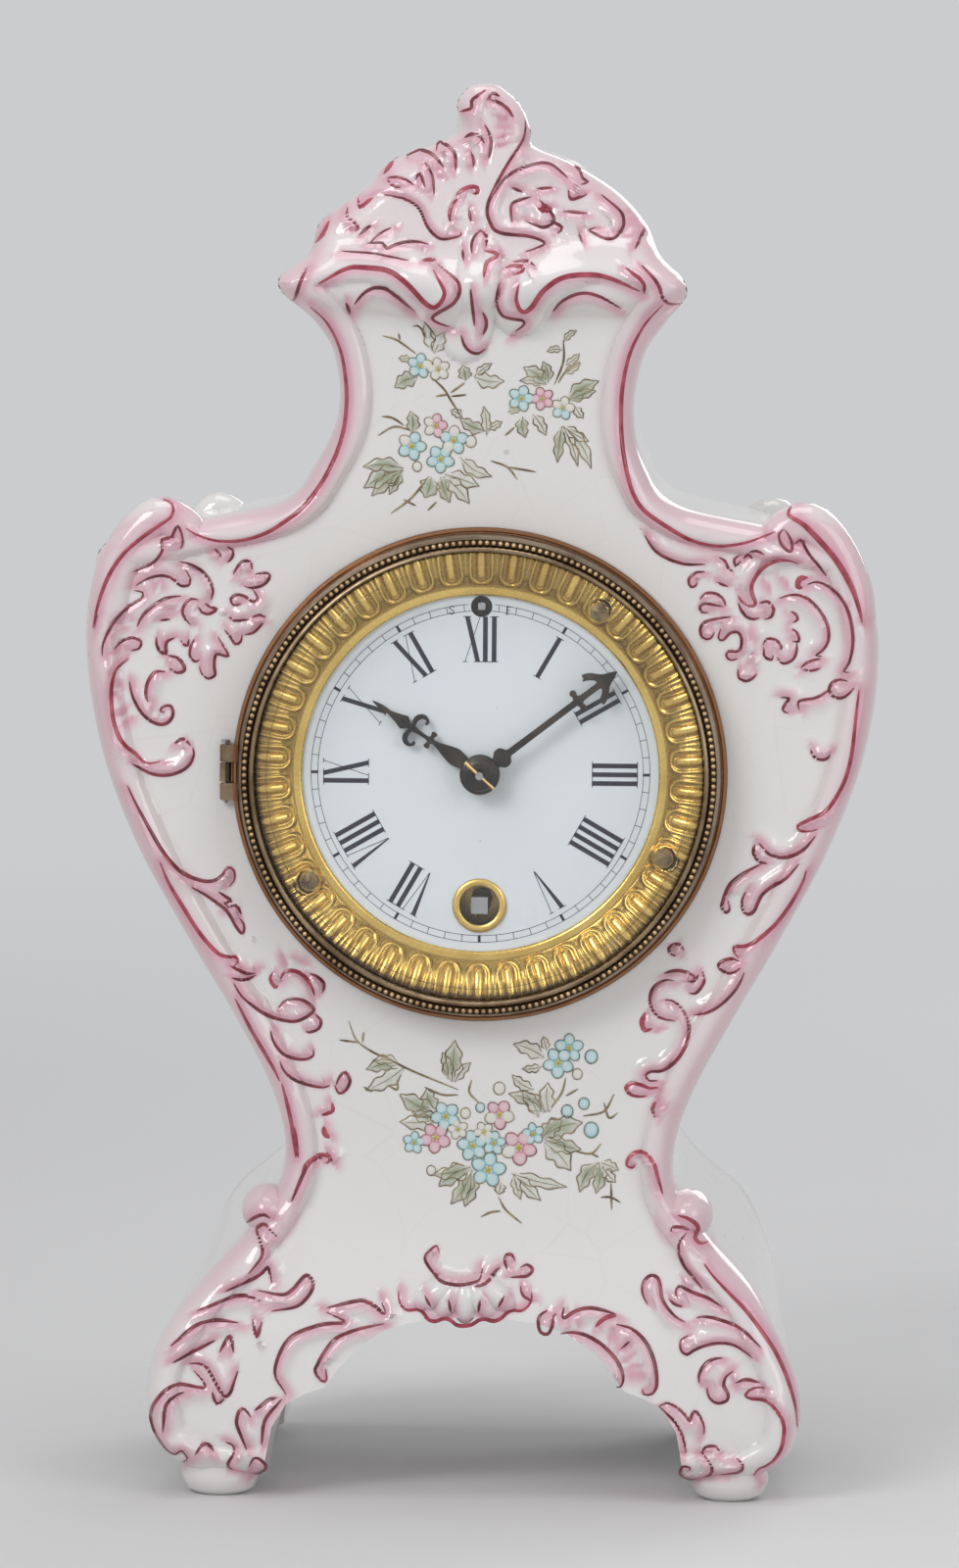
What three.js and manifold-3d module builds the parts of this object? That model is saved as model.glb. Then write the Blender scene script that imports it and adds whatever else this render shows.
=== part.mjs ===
// A rococo porcelain mantel clock, 305 mm tall. The case is one hollow porcelain casting on four
// feet. A brass bezel with a convex glass is hinged over an enamel dial, and an eight-day spring
// movement with a short pendulum fills the case behind it. The back has a round hinged brass door.
// Millimetres. +X is to the right of someone who looks at the dial, -Y is the front and +Z is up.
// The origin lies on the table under the middle of the case.
import * as THREE from "three";
import { mergeVertices } from "three/addons/utils/BufferGeometryUtils.js";
import Module from "manifold-3d";

const wasm = await Module();
wasm.setup();

// Sides of round pieces, by their size
const SIDES = { fine: 8, small: 12, medium: 16, large: 36 };

// Gaps between pieces
const SEAT = 0.3; // between pieces that rest on each other
const RUN = 0.25; // round a turning shaft
const TURN = 2 * Math.PI;

// Porcelain case
const CASE = {
  wall: 7,
  panelFront: -45, // the flat front panel round the dial
  back: 50, // the flat back
  corner: 6,
  rimWidth: 7, // the raised pink border of the front panel
  rimRise: 2.6,
  hollowFrom: 62,
  hollowTo: 250,
};
const DIAL_HEIGHT = 156.5;
const DIAL = {
  radius: 41, // the dial's pan, surround, bezel, glass, hands and plates all follow it
  thickness: 1.2,
  centreHole: 3.4,
  regulatorHole: 2.3,
};

// The case as level sections, from the feet to the top of the crest:
// height, half-width to the left, to the right and at the back, front and back faces.
const SECTIONS = [
  [4, 59.5, 59.5, 60.5, -50.6, 49],
  [9, 66.8, 67, 64, -53.4, 51],
  [16, 70, 70, 65.8, -54.6, 51.5],
  [25, 70.9, 69.8, 66, -54.4, 51.5],
  [35.5, 67.4, 65.7, 65, -53, 51.5],
  [46, 59.9, 59.9, 62.2, -50.2, 51],
  [56, 50.6, 50.8, 57.2, -47.2, 50.5],
  [66, 43.6, 43.4, 46, -45.6, 50],
  [76, 41.8, 42.7, 40.5, -45, 50],
  [88, 45, 46.6, 42.5, -45, 50],
  [104, 53.3, 55.2, 50, -45, 50],
  [120, 63, 64.4, 59, -45, 50],
  [141, 74.6, 75.4, 70, -45, 50],
  [162, 82.3, 82.9, 77, -45, 50],
  [184, 85.6, 85.6, 80, -45, 50],
  [199, 83.7, 82.6, 78, -45, 50],
  [206.5, 79.5, 78.5, 73, -45, 49],
  [210.5, 62, 61, 57, -45, 47.5],
  [214.5, 44, 42.5, 41, -45, 47],
  [222, 36.7, 35.4, 35, -45, 47],
  [234, 31.3, 32.4, 30.5, -45, 47],
  [247, 32.4, 34.6, 31.5, -45, 45],
  [254, 36.8, 39.2, 33, -46.5, 38],
  [259.5, 42.8, 43.4, 33, -51.5, 24],
  [263, 43.6, 43, 33, -52, 6],
  [268, 37.6, 38, 34, -48.5, -22],
  [275, 35.2, 34.6, 34, -46.5, -31],
  [281.9, 25.9, 28.2, 27, -45.2, -30.5],
  [288.3, 20, 17.6, 19, -44, -29.5],
  [291.4, 11.8, 10.2, 11, -43.5, -29],
  [294.6, 5.6, 9.7, 7, -43, -28.5],
  [300.5, 6.2, 7.2, 6, -42, -28.5],
  [304, 3.6, 3, 3, -40.5, -30],
  [305, 1.4, 1.4, 1.4, -38.5, -32],
];
const SECTION_STEP = 16; // tallest step between two sections of the casting
const FRONT_COLUMNS = 7;

// Arch between the feet, right half from the floor to the crown, at the front and at the back
const ARCH = {
  front: [[46, -2], [45.2, 7], [43.6, 16], [40.4, 21], [36.6, 22.8], [32, 24.2], [29.4, 28],
    [25.4, 33], [19.5, 37], [14.4, 38.6], [7, 39.6], [0, 40]],
  rear: [[46, -2], [45.4, 6], [44, 12], [42, 17], [39, 21.5], [35.4, 25], [31, 28.2],
    [26, 31], [20.4, 33.4], [14, 35.2], [7, 36.4], [0, 36.8]],
  reach: 66, // the cut runs this far past the middle to the front and to the back
};
const SIDE_ARCH = { middle: 0, halfLength: 26, height: 12 };
const FOOT = {
  profile: [[0, 0], [5.6, 0], [7.6, 1.4], [8.5, 4], [8.1, 7.4], [6.2, 10], [0, 11]],
  frontX: 55.2,
  frontY: -45.4,
  rearX: 54.4,
  rearY: 41,
};

// Modelled rolls and scrolls that stand out from the casting
const BROW = {
  radius: 4.6,
  y: -52,
  route: [[44.4, 260.6], [40.4, 264.4], [33, 267], [24, 267.8], [15.4, 264.8], [9.4, 259.4]],
};
const HORN = {
  radius: 4.6,
  y: -43.2,
  route: [[80.6, 187], [79.4, 197], [75.6, 205.6], [70, 211], [64.4, 208.6], [62.4, 203]],
};
const CREST_SCROLL = {
  radius: 3,
  y: -46,
  route: [[3.4, 268], [5.4, 277], [11, 284.4], [18, 285.6], [25, 282.4], [30, 276], [27, 270.6]],
};
const REAR_HORN = {
  radius: 3.5,
  y: 46,
  route: [[72, 190], [70, 199], [66, 207], [62.5, 210.5], [57, 208]],
};
const HIP = { radius: 7, x: 45, y: -42.6, z: 60.4 };
const DROP = { radius: 3.6, y: -50.6, top: 268, tip: 249.6 };
const SHELL = {
  lobes: 5,
  middle: -2,
  halfWidth: 13,
  lower: 37.6,
  upper: 46,
  sag: 3.4, // the outer lobes sit this much higher than the middle one
  lobeRise: 1.6,
  front: -54.8,
  back: -47,
  edge: 1.3, // the rounding of its rim
};

// Dial, its pan and its gilt surround
const PAN = { radius: DIAL.radius + 5.1, gauge: 0.8, wall: 3.6 };
const MOUTH = PAN.radius + 0.5; // radius of the case's front opening
const BACK_MOUTH = MOUTH - 0.6;
const SURROUND = {
  inner: DIAL.radius - 1.4,
  outer: MOUTH + 2.3,
  hole: 1.1,
  screwCircle: DIAL.radius + 2.3,
  screwSeat: 2.4,
};
const SURROUND_PROFILE = {
  lipFront: 1.1, // heights above the surround's own seat on the case
  crown: 2.3,
  crownRadius: SURROUND.outer - 1.5,
  innerDrop: 1.5,
  innerSink: 2.4,
  gauge: 0.8,
};
const SURROUND_SCREW_ANGLES = [35.7, 114, 237.4]; // clockwise from twelve, in degrees
const SURROUND_SCREW = { head: 1.9, headHeight: 1, shank: 0.8, length: 4 };
const PAN_POST = { radius: 2, x: 26, z: 12 };
const GROMMET = { outer: 5.6, bore: 4.25, flange: 0.5, neck: 4.9 };

// Bezel and glass
const BEZEL_INNER = SURROUND.outer + 0.5;
const BEZEL = {
  inner: BEZEL_INNER,
  outer: BEZEL_INNER + 3.9,
  opening: BEZEL_INNER - 1,
  bead: BEZEL_INNER + 0.9,
  beadRadius: 1,
  flange: 1.6,
  depth: 9.6,
  lip: 1.2,
  wallTop: BEZEL_INNER + 2.4,
};
const GLASS = { radius: BEZEL.inner + 0.2, edge: 1.4, rise: 4.4, bevel: 4, bevelRise: 1.5 };
const CLIP = { inner: BEZEL.opening + 0.1, outer: GLASS.radius, gauge: 0.8 };
const HINGE = { pin: 0.5, knuckle: 1.2, leafGauge: 0.5, length: 4, offset: 1.55 };

// Hands
const HANDS = {
  gauge: 0.7,
  hourHub: 4.2,
  minuteHub: 3.2,
  hourLength: 0.683 * DIAL.radius,
  minuteLength: 0.902 * DIAL.radius,
  hourAngle: 303.8, // clockwise from twelve, in degrees
  minuteAngle: 52.5,
};
// Half of each hand's outline: half-width, and the share of its length from the centre
const HOUR_OUTLINE = [[1.4, 0.12], [1.9, 0.22], [1.5, 0.29], [0.5, 0.41], [0.5, 0.45], [1.5, 0.455],
  [1.5, 0.48], [0.45, 0.485], [0.6, 0.6], [0.8, 0.67], [1.5, 0.71], [0.6, 0.84], [0.5, 0.88], [0.1, 1]];
const MINUTE_OUTLINE = [[1.1, 0.07], [2.1, 0.16], [2.1, 0.19], [0.8, 0.21], [0.7, 0.69], [2.3, 0.7],
  [2.3, 0.735], [0.75, 0.74], [0.75, 0.83], [3.2, 0.8], [3.8, 0.825], [1.4, 0.9], [0.8, 0.94], [0.15, 1]];
const CRESCENT = { at: 0.595, out: 2.2, outer: 1.75, inner: 1.1, from: 100, to: 330 };
const WASHER = { radius: 4.3, height: 1.4 };
const TAPER_PIN = { big: 0.45, small: 0.3, length: 8.4, angle: 132 };

// Movement frame: two brass plates held apart by four pillars
const PLATE = { radius: DIAL.radius + 3, halfWidth: 30, gauge: 1.6, front: -24, gap: 26.4 };
const PILLAR_INSET = 5.58; // from the plate's rim to the middle of a pillar
const PILLAR = { radius: 2.5, neck: 1.2, x: 24, z: Math.sqrt((PLATE.radius - PILLAR_INSET) ** 2 - 24 ** 2) };
const NUT = { acrossCorners: 2.9, height: 2 };

// Places of the arbors above and below the hands. They and the upper wheels follow the dial.
const WINDING_DROP = 0.695 * DIAL.radius;
const ESCAPE_RISE = 0.415 * DIAL.radius;
const PALLET_RISE = 0.669 * DIAL.radius;
const REGULATOR_RISE = 0.878 * DIAL.radius;
const UPPER_MODULE = 0.00878 * DIAL.radius;

// Wheels and pinions: teeth and module
const GREAT = { teeth: 60, module: 0.55, gauge: 2, y: -20.4 };
const INTERMEDIATE_PINION = { teeth: 10, length: 3.8, lead: 1 };
const INTERMEDIATE = { teeth: 50, module: 0.5, gauge: 1.2, y: 0.4 };
const CENTRE_PINION = { teeth: 10, length: 2.8, lead: 0.8 };
const CENTRE = { teeth: 75, module: UPPER_MODULE, gauge: 1.2, y: -16.6 };
const THIRD_PINION = { teeth: 6, length: 2.8, lead: 0.8 };
const THIRD = { teeth: 72, module: UPPER_MODULE, gauge: 1.1, y: -11 };
const ESCAPE_PINION = { teeth: 6, length: 2.9, lead: 0.9 };
const ESCAPE = { teeth: 40, radius: 0.183 * DIAL.radius, toothDepth: 1.3, lean: 0.05, gauge: 1, y: -4.1 };
const CANNON = { teeth: 12, module: 0.5, length: 3, y: -31.6, bore: 1.25, outside: 1.9 };
const MINUTE = { teeth: 36, gauge: 1.4, y: -30.8 };
const MINUTE_PINION = { teeth: 10, module: 0.48, length: 4.8 };
const HOUR = { teeth: 40, gauge: 1.2, y: -34.8, pipeBore: 2.2, pipeOutside: 2.95 };
const ARBOR = {
  winding: 2,
  windingSquare: 3.6,
  intermediate: 0.7,
  centre: 0.9,
  third: 0.5,
  escape: 0.45,
  pallet: 0.7,
  regulator: 0.9,
  post: 0.7,
};
const WINDOWS = 5; // openings that lighten each large wheel
const WINDOW_RIM = 2.2;
const WINDOW_HUB = 3.4;
const SPOKE = 1.8;

// Ratchet, click and mainspring
const RATCHET = { teeth: 24, radius: 7, toothDepth: 0.9, gauge: 1.2, lift: 0.3 };
const CLICK = { radius: 11.4, bearing: 200, eye: 1.7, screw: 0.6, screwHead: 1.1, width: 1.2 };
const MAINSPRING = {
  strip: 0.5,
  width: 12,
  y: -14,
  turns: 6.5,
  pitch: 1.95,
  tail: 0.3, // turns of the free end that reaches to a pillar
  stepsPerTurn: 16,
};

// Escapement, crutch and pendulum
const PALLETS = { gauge: 1.2, y: -4.2, spread: 45, hub: 2.2, arm: 1.5, clear: 0.8, toe: 1.8 };
const CRUTCH = { y: 8.6, wire: 0.6, drop: 17.5, fork: 0.4, prong: 0.6, reach: 5.2 };
const PENDULUM = { y: 12, rod: 0.8, length: 89, bobRadius: 11, bobThickness: 7, strip: 0.4, stripWidth: 4 };
// Heights of the cock, its shelf and the slide are above the regulator's arbor
const COCK = { halfWidth: 7, gauge: 1.5, low: -4.1, shelf: 5.5, reach: 10.4 };
const REGULATOR = { crown: 3.5, crownGauge: 1, screw: 1, pinion: 1.5, pinionLength: 1.6, square: 1.5 };
const SLIDE = { halfWidth: 3, depth: 4.4, low: -6, high: -1.3, bore: 4.4 };
const SPRING_TOP = 2.3; // the suspension spring's clamp above the point that it bends about

// Back ring, door and the two long screws that draw the pan and the ring together
const CASE_SCREW = { radius: 1.4, head: 2.5, headHeight: 1.9, x: PAN.radius - 5.1 };
const BACK_RING = { inner: CASE_SCREW.x - 2.5, outer: BACK_MOUTH + 4, gauge: 1.5 };
const DOOR = { radius: BACK_RING.outer - 2, gauge: 0.8, dish: 2.8, dishRadius: BACK_RING.outer - 6 };
const KNOB = { radius: 3.2, neck: 1.4, inset: 12, length: 1.9 };

// Heights and depths that follow from the sizes above
const dialBack = CASE.panelFront - SEAT; // where the surround and the bezel seat
const surroundFront = dialBack - SURROUND_PROFILE.crown;
const dialFront = dialBack + SURROUND_PROFILE.innerSink + SEAT;
const panFront = dialFront + DIAL.thickness + SEAT;
const panBack = panFront + PAN.gauge;
const plateFrontInside = PLATE.front + PLATE.gauge;
const backPlate = plateFrontInside + PLATE.gap;
const backPlateOutside = backPlate + PLATE.gauge;
const windingZ = DIAL_HEIGHT - WINDING_DROP;
const escapeZ = DIAL_HEIGHT + ESCAPE_RISE;
const palletZ = DIAL_HEIGHT + PALLET_RISE;
const regulatorZ = DIAL_HEIGHT + REGULATOR_RISE;
const [cockLow, cockShelfZ, slideLow, slideHigh] = [COCK.low, COCK.shelf, SLIDE.low, SLIDE.high].map(
  (above) => regulatorZ + above);

// Surface finishes
const finish = (color, roughness, metalness) => ({ color, roughness, metalness });
const PORCELAIN = finish(0xf1e8ea, 0.12, 0);
const GILT = finish(0xc99a2e, 0.25, 1);
const AGED_BRASS = finish(0x6d5c40, 0.38, 1);
const BRASS = finish(0xb8914a, 0.3, 1);
const ENAMEL = finish(0xdfe3e6, 0.15, 0);
const STEEL = finish(0x8d8f92, 0.3, 1);
const BLACK_STEEL = finish(0x2a2725, 0.45, 0.6);
const CLEAR = finish(0xe9f1f2, 0.03, 0);

// Solids: a closed geometry as a manifold, turned right way out, and back again
function solid(geometry) {
  const source = geometry.index ? geometry.toNonIndexed() : geometry;
  const bare = new THREE.BufferGeometry().setAttribute("position", source.getAttribute("position"));
  const merged = mergeVertices(bare, 1e-4);
  const corners = merged.index.array;
  const build = (order) => new wasm.Manifold(new wasm.Mesh({
    numProp: 3,
    vertProperties: new Float32Array(merged.attributes.position.array),
    triVerts: Uint32Array.from(corners, (_, i) => corners[i - (i % 3) + order[i % 3]]),
  }));
  const made = build([0, 1, 2]);
  return made.volume() > 0 ? made : build([0, 2, 1]);
}

function geometryOf(shape) {
  const mesh = shape.getMesh();
  const geometry = new THREE.BufferGeometry();
  geometry.setAttribute("position", new THREE.BufferAttribute(mesh.vertProperties, 3));
  geometry.setIndex(new THREE.BufferAttribute(mesh.triVerts, 1));
  return geometry;
}

const join = (...parts) => parts.reduce((whole, part) => whole.add(part));
const cut = (body, ...tools) => tools.reduce((whole, tool) => whole.subtract(tool), body);
const moved = (part, x, y, z) => part.translate([x, y, z]);
const mirrored = (part) => part.scale([-1, 1, 1]);

// A profile of [radius, y] turned about the Y axis through x, z
function turned(profile, x = 0, z = 0, segments = SIDES.small) {
  const points = profile.map(([radius, y]) => new THREE.Vector2(radius, y));
  if (profile[0][0] > 0) points.push(points[0].clone());
  return moved(solid(new THREE.LatheGeometry(points, segments)), x, 0, z);
}

const rod = (radius, y0, y1, x = 0, z = 0, segments = SIDES.fine) =>
  turned([[0, y0], [radius, y0], [radius, y1], [0, y1]], x, z, segments);
const ringOf = (inner, outer, y0, y1, x = 0, z = 0, segments = SIDES.medium) =>
  turned([[inner, y0], [outer, y0], [outer, y1], [inner, y1]], x, z, segments);

// The same profile turned about a vertical axis
function turnedUp(profile, x, y, segments = SIDES.fine) {
  const points = profile.map(([radius, z]) => new THREE.Vector2(radius, z));
  if (profile[0][0] > 0) points.push(points[0].clone());
  return moved(solid(new THREE.LatheGeometry(points, segments).rotateX(Math.PI / 2)), x, y, 0);
}
const rodUp = (radius, z0, z1, x, y, segments = SIDES.fine) =>
  turnedUp([[0, z0], [radius, z0], [radius, z1], [0, z1]], x, y, segments);

// A flat outline in X and Z, given its front and back faces
function plateOf(shape, y0, y1, x = 0, z = 0) {
  const settings = { depth: y1 - y0, bevelEnabled: false, curveSegments: SIDES.fine };
  return moved(solid(new THREE.ExtrudeGeometry(shape, settings).rotateX(Math.PI / 2)), x, y1, z);
}

const shapeOf = (points) => new THREE.Shape(points.map(([x, z]) => new THREE.Vector2(x, z)));
const polygon = (radius, x, z, sides) => Array.from({ length: sides }, (_, i) => new THREE.Vector2(
  x + radius * Math.cos((i * TURN) / sides), z + radius * Math.sin((i * TURN) / sides)));
const holeAt = (radius, x = 0, z = 0, sides = SIDES.fine) => new THREE.Path(polygon(radius, x, z, sides));

function block(x0, x1, y0, y1, z0, z1) {
  const box = new THREE.BoxGeometry(x1 - x0, y1 - y0, z1 - z0);
  return moved(solid(box), (x0 + x1) / 2, (y0 + y1) / 2, (z0 + z1) / 2);
}

// A round roll of clay laid along a smooth route of [x, z] points
function roll(route, y, radius, steps = 10, sides = 6) {
  const curve = new THREE.CatmullRomCurve3(route.map(([x, z]) => new THREE.Vector3(x, y, z)));
  const section = new THREE.Shape();
  for (let side = 0; side < sides; side += 1) {
    const angle = (side * TURN) / sides;
    const point = [radius * Math.cos(angle), radius * Math.sin(angle)];
    if (side) section.lineTo(...point);
    else section.moveTo(...point);
  }
  return solid(new THREE.ExtrudeGeometry(section, { steps, extrudePath: curve, bevelEnabled: false }));
}

// Rings of equal length joined by a skin, with a fan over each end
function loft(rings) {
  const count = rings[0].length;
  const ends = [rings[0], rings.at(-1)].map((ring) => ring.reduce(
    (sum, point) => sum.map((value, axis) => value + point[axis] / count), [0, 0, 0]));
  const points = [...rings.flat(), ...ends];
  const faces = [];
  rings.slice(1).forEach((_, level) => {
    for (let i = 0; i < count; i += 1) {
      const [a, b] = [level * count + i, level * count + ((i + 1) % count)];
      faces.push(a, b, b + count, a, b + count, a + count);
    }
  });
  const [firstEnd, lastEnd] = [points.length - 2, points.length - 1];
  const lastRing = (rings.length - 1) * count;
  for (let i = 0; i < count; i += 1) {
    const next = (i + 1) % count;
    faces.push(firstEnd, next, i, lastEnd, lastRing + i, lastRing + next);
  }
  const geometry = new THREE.BufferGeometry();
  geometry.setAttribute("position", new THREE.Float32BufferAttribute(points.flat(), 3));
  geometry.setIndex(faces);
  return solid(geometry);
}

const group = new THREE.Group();
function add(name, part, { color, roughness, metalness }) {
  const material = new THREE.MeshStandardMaterial({ color, roughness, metalness });
  if (color === CLEAR.color) Object.assign(material, { transparent: true, opacity: 0.3 });
  const mesh = new THREE.Mesh(geometryOf(part), material);
  mesh.name = name;
  group.add(mesh);
}

// Porcelain case: a smooth value between the sections at a height
function sectionAt(height) {
  const last = SECTIONS.length - 1;
  const at = Math.max(0, Math.min(last - 1, SECTIONS.findLastIndex(([z]) => z <= height)));
  const [before, low, high, after] = [at - 1, at, at + 1, at + 2].map(
    (i) => SECTIONS[Math.max(0, Math.min(last, i))]);
  const span = high[0] - low[0];
  const t = Math.max(0, Math.min(1, (height - low[0]) / span));
  const slope = (from, to, column) => (to[0] > from[0] ? (to[column] - from[column]) / (to[0] - from[0]) : 0);
  const values = low.map((value, column) => {
    const [m0, m1] = [slope(before, high, column) * span, slope(low, after, column) * span];
    return (2 * t ** 3 - 3 * t ** 2 + 1) * value + (t ** 3 - 2 * t ** 2 + t) * m0
      + (3 * t ** 2 - 2 * t ** 3) * high[column] + (t ** 3 - t ** 2) * m1;
  });
  const [, left, right, rear, front, back] = values;
  return { left, right, rear, front, back };
}

function arcPoints(x, y, radius, from, steps, z) {
  return Array.from({ length: steps + 1 }, (_, i) => {
    const angle = from + ((i / steps) * Math.PI) / 2;
    return [x + radius * Math.cos(angle), y + radius * Math.sin(angle), z];
  });
}

// One level ring of the case, drawn in from the outside by inset, with or without the raised rim
function caseRing(z, inset, rise) {
  const near = [z - inset, z, z + inset].map(sectionAt);
  const narrowest = (key) => Math.min(...near.map((section) => section[key])) - inset;
  const [left, right, rear] = [-narrowest("left"), narrowest("right"), narrowest("rear")];
  const panel = Math.max(...near.map((section) => section.front)) + inset;
  const back = Math.min(...near.map((section) => section.back)) - inset;
  const front = panel - Math.min(rise, (right - left) / 8);
  const radius = Math.min(CASE.corner, (back - front) * 0.45, Math.min(right - left, 2 * rear) * 0.45);
  const rim = Math.min(CASE.rimWidth, (right - left) * 0.2);
  const columns = Array.from({ length: FRONT_COLUMNS }, (_, i) => {
    const share = i / (FRONT_COLUMNS - 1);
    return [left + rim + share * (right - left - 2 * rim), panel, z];
  });
  const steps = 2;
  const quarter = Math.PI / 2;
  return [
    ...arcPoints(left + radius, front + radius, radius, 2 * quarter, steps, z),
    ...columns,
    ...arcPoints(right - radius, front + radius, radius, 3 * quarter, steps, z),
    [(right + rear) / 2, (front + back) / 2, z],
    ...arcPoints(rear - radius, back - radius, radius, 0, steps, z),
    [0, back, z],
    ...arcPoints(-rear + radius, back - radius, radius, quarter, steps, z),
    [(left - rear) / 2, (front + back) / 2, z],
  ];
}

function levels(from, to, step, every = 1) {
  const heights = SECTIONS.map(([z]) => z).filter((z, i) => z > from && z < to && i % every === 0);
  const stops = [from, ...heights, to];
  return [from, ...stops.slice(1).flatMap((top, i) => {
    const parts = Math.max(1, Math.ceil((top - stops[i]) / step));
    return Array.from({ length: parts }, (_, k) => stops[i] + ((k + 1) * (top - stops[i])) / parts);
  })];
}

const casting = loft(levels(SECTIONS[0][0], SECTIONS.at(-1)[0], SECTION_STEP)
  .map((z) => caseRing(z, 0, CASE.rimRise)));
const hollow = loft(levels(CASE.hollowFrom, CASE.hollowTo, 2 * SECTION_STEP, 2)
  .map((z) => caseRing(z, CASE.wall, 0).filter((_, i) => i % 2 === 0)));

function archRing(half, y) {
  const left = half.slice(0, -1).map(([x, z]) => [-x, y, z]);
  return [...half.map(([x, z]) => [x, y, z]), ...left.reverse()];
}
const arch = loft([archRing(ARCH.front, -ARCH.reach), archRing(ARCH.rear, ARCH.reach)]);

const sideArch = (() => {
  const outline = new THREE.Shape();
  outline.absellipse(SIDE_ARCH.middle, 0, SIDE_ARCH.halfLength, SIDE_ARCH.height, 0, Math.PI);
  const long = new THREE.ExtrudeGeometry(outline, { depth: 4 * FOOT.frontX, bevelEnabled: false });
  long.translate(0, 0, -2 * FOOT.frontX);
  return solid(long.applyMatrix4(new THREE.Matrix4().set(0, 0, 1, 0, 1, 0, 0, 0, 0, 1, 0, 0, 0, 0, 0, 1)));
})();

function foot(x, y) {
  return turnedUp(FOOT.profile, x, y, SIDES.small);
}

// The scalloped shell at the middle of the apron: its lobes hang from a row that sags in the middle
const shell = (() => {
  const lobeWidth = (2 * SHELL.halfWidth) / SHELL.lobes;
  const row = (x) => SHELL.lower + SHELL.sag * (x / SHELL.halfWidth) ** 2;
  const outline = new THREE.Shape();
  outline.moveTo(-SHELL.halfWidth, SHELL.upper);
  for (let lobe = 0; lobe < SHELL.lobes; lobe += 1) {
    const start = -SHELL.halfWidth + lobe * lobeWidth;
    const middle = start + lobeWidth / 2;
    outline.lineTo(start, row(start) + SHELL.lobeRise);
    outline.quadraticCurveTo(middle, row(middle) - SHELL.lobeRise, start + lobeWidth,
      row(start + lobeWidth) + SHELL.lobeRise);
  }
  outline.lineTo(SHELL.halfWidth, SHELL.upper);
  outline.quadraticCurveTo(0, SHELL.upper + 2 * SHELL.sag, -SHELL.halfWidth, SHELL.upper);
  const made = new THREE.ExtrudeGeometry(outline, {
    depth: SHELL.back - SHELL.front, curveSegments: 3, bevelSegments: 1,
    bevelSize: SHELL.edge, bevelThickness: SHELL.edge, bevelOffset: -SHELL.edge,
  });
  return moved(solid(made.rotateX(Math.PI / 2)), SHELL.middle, SHELL.back, 0);
})();

const browRoll = roll(BROW.route, BROW.y, BROW.radius);
const hornRoll = roll(HORN.route, HORN.y, HORN.radius);
const rearHornRoll = roll(REAR_HORN.route, REAR_HORN.y, REAR_HORN.radius, 6);
const crestScroll = roll(CREST_SCROLL.route, CREST_SCROLL.y, CREST_SCROLL.radius);
const hip = moved(
  solid(new THREE.SphereGeometry(HIP.radius, SIDES.small, SIDES.fine - 1)), HIP.x, HIP.y, HIP.z);
const drop = roll([[0, DROP.top], [0.8, (DROP.top + DROP.tip) / 2], [0, DROP.tip]],
  DROP.y, DROP.radius, 6);
const castingWithFeet = join(
  cut(casting, arch, sideArch), shell,
  foot(FOOT.frontX, FOOT.frontY), foot(-FOOT.frontX, FOOT.frontY),
  foot(FOOT.rearX, FOOT.rearY), foot(-FOOT.rearX, FOOT.rearY),
  browRoll, mirrored(browRoll), hornRoll, mirrored(hornRoll),
  rearHornRoll, mirrored(rearHornRoll), crestScroll, mirrored(crestScroll),
  hip, mirrored(hip), drop);
add("case_body", cut(castingWithFeet, hollow,
  rod(MOUTH, CASE.panelFront - BEZEL.depth, CASE.panelFront + 3 * CASE.wall, 0, DIAL_HEIGHT, SIDES.large),
  rod(BACK_MOUTH, CASE.back - 3 * CASE.wall, CASE.back + CASE.wall, 0, DIAL_HEIGHT, SIDES.large)), PORCELAIN);

// Clockwise places on the dial, as someone who looks at it sees them
const degrees = (angle) => (angle * Math.PI) / 180;
const onDial = (radius, clockwise) => [
  radius * Math.sin(degrees(clockwise)), DIAL_HEIGHT + radius * Math.cos(degrees(clockwise))];

// Gilt surround with its three screws
const surroundPlaces = SURROUND_SCREW_ANGLES.map((angle) => onDial(SURROUND.screwCircle, angle));
const surroundInnerFront = dialBack + SURROUND_PROFILE.innerDrop;
const surroundInnerBack = dialBack + SURROUND_PROFILE.innerSink;
const screwSeat = dialBack - SURROUND_PROFILE.gauge;
const surround = turned([
  [SURROUND.inner, surroundInnerBack],
  [SURROUND.inner, surroundInnerFront],
  [SURROUND.inner + 1.2, surroundInnerFront - 0.6],
  [SURROUND_PROFILE.crownRadius - 3, surroundFront + 1],
  [SURROUND_PROFILE.crownRadius, surroundFront],
  [SURROUND.outer, dialBack - SURROUND_PROFILE.lipFront],
  [SURROUND.outer, dialBack],
  [PAN.radius, dialBack],
  [PAN.radius - 2.4, dialBack + SURROUND_PROFILE.gauge / 2],
], 0, DIAL_HEIGHT, SIDES.large);
add("dial_surround", cut(surround, ...surroundPlaces.flatMap(([x, z]) => [
  rod(SURROUND.hole, surroundFront - 1, panBack, x, z),
  rod(SURROUND.screwSeat, surroundFront - 1, screwSeat, x, z),
])), GILT);
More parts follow.
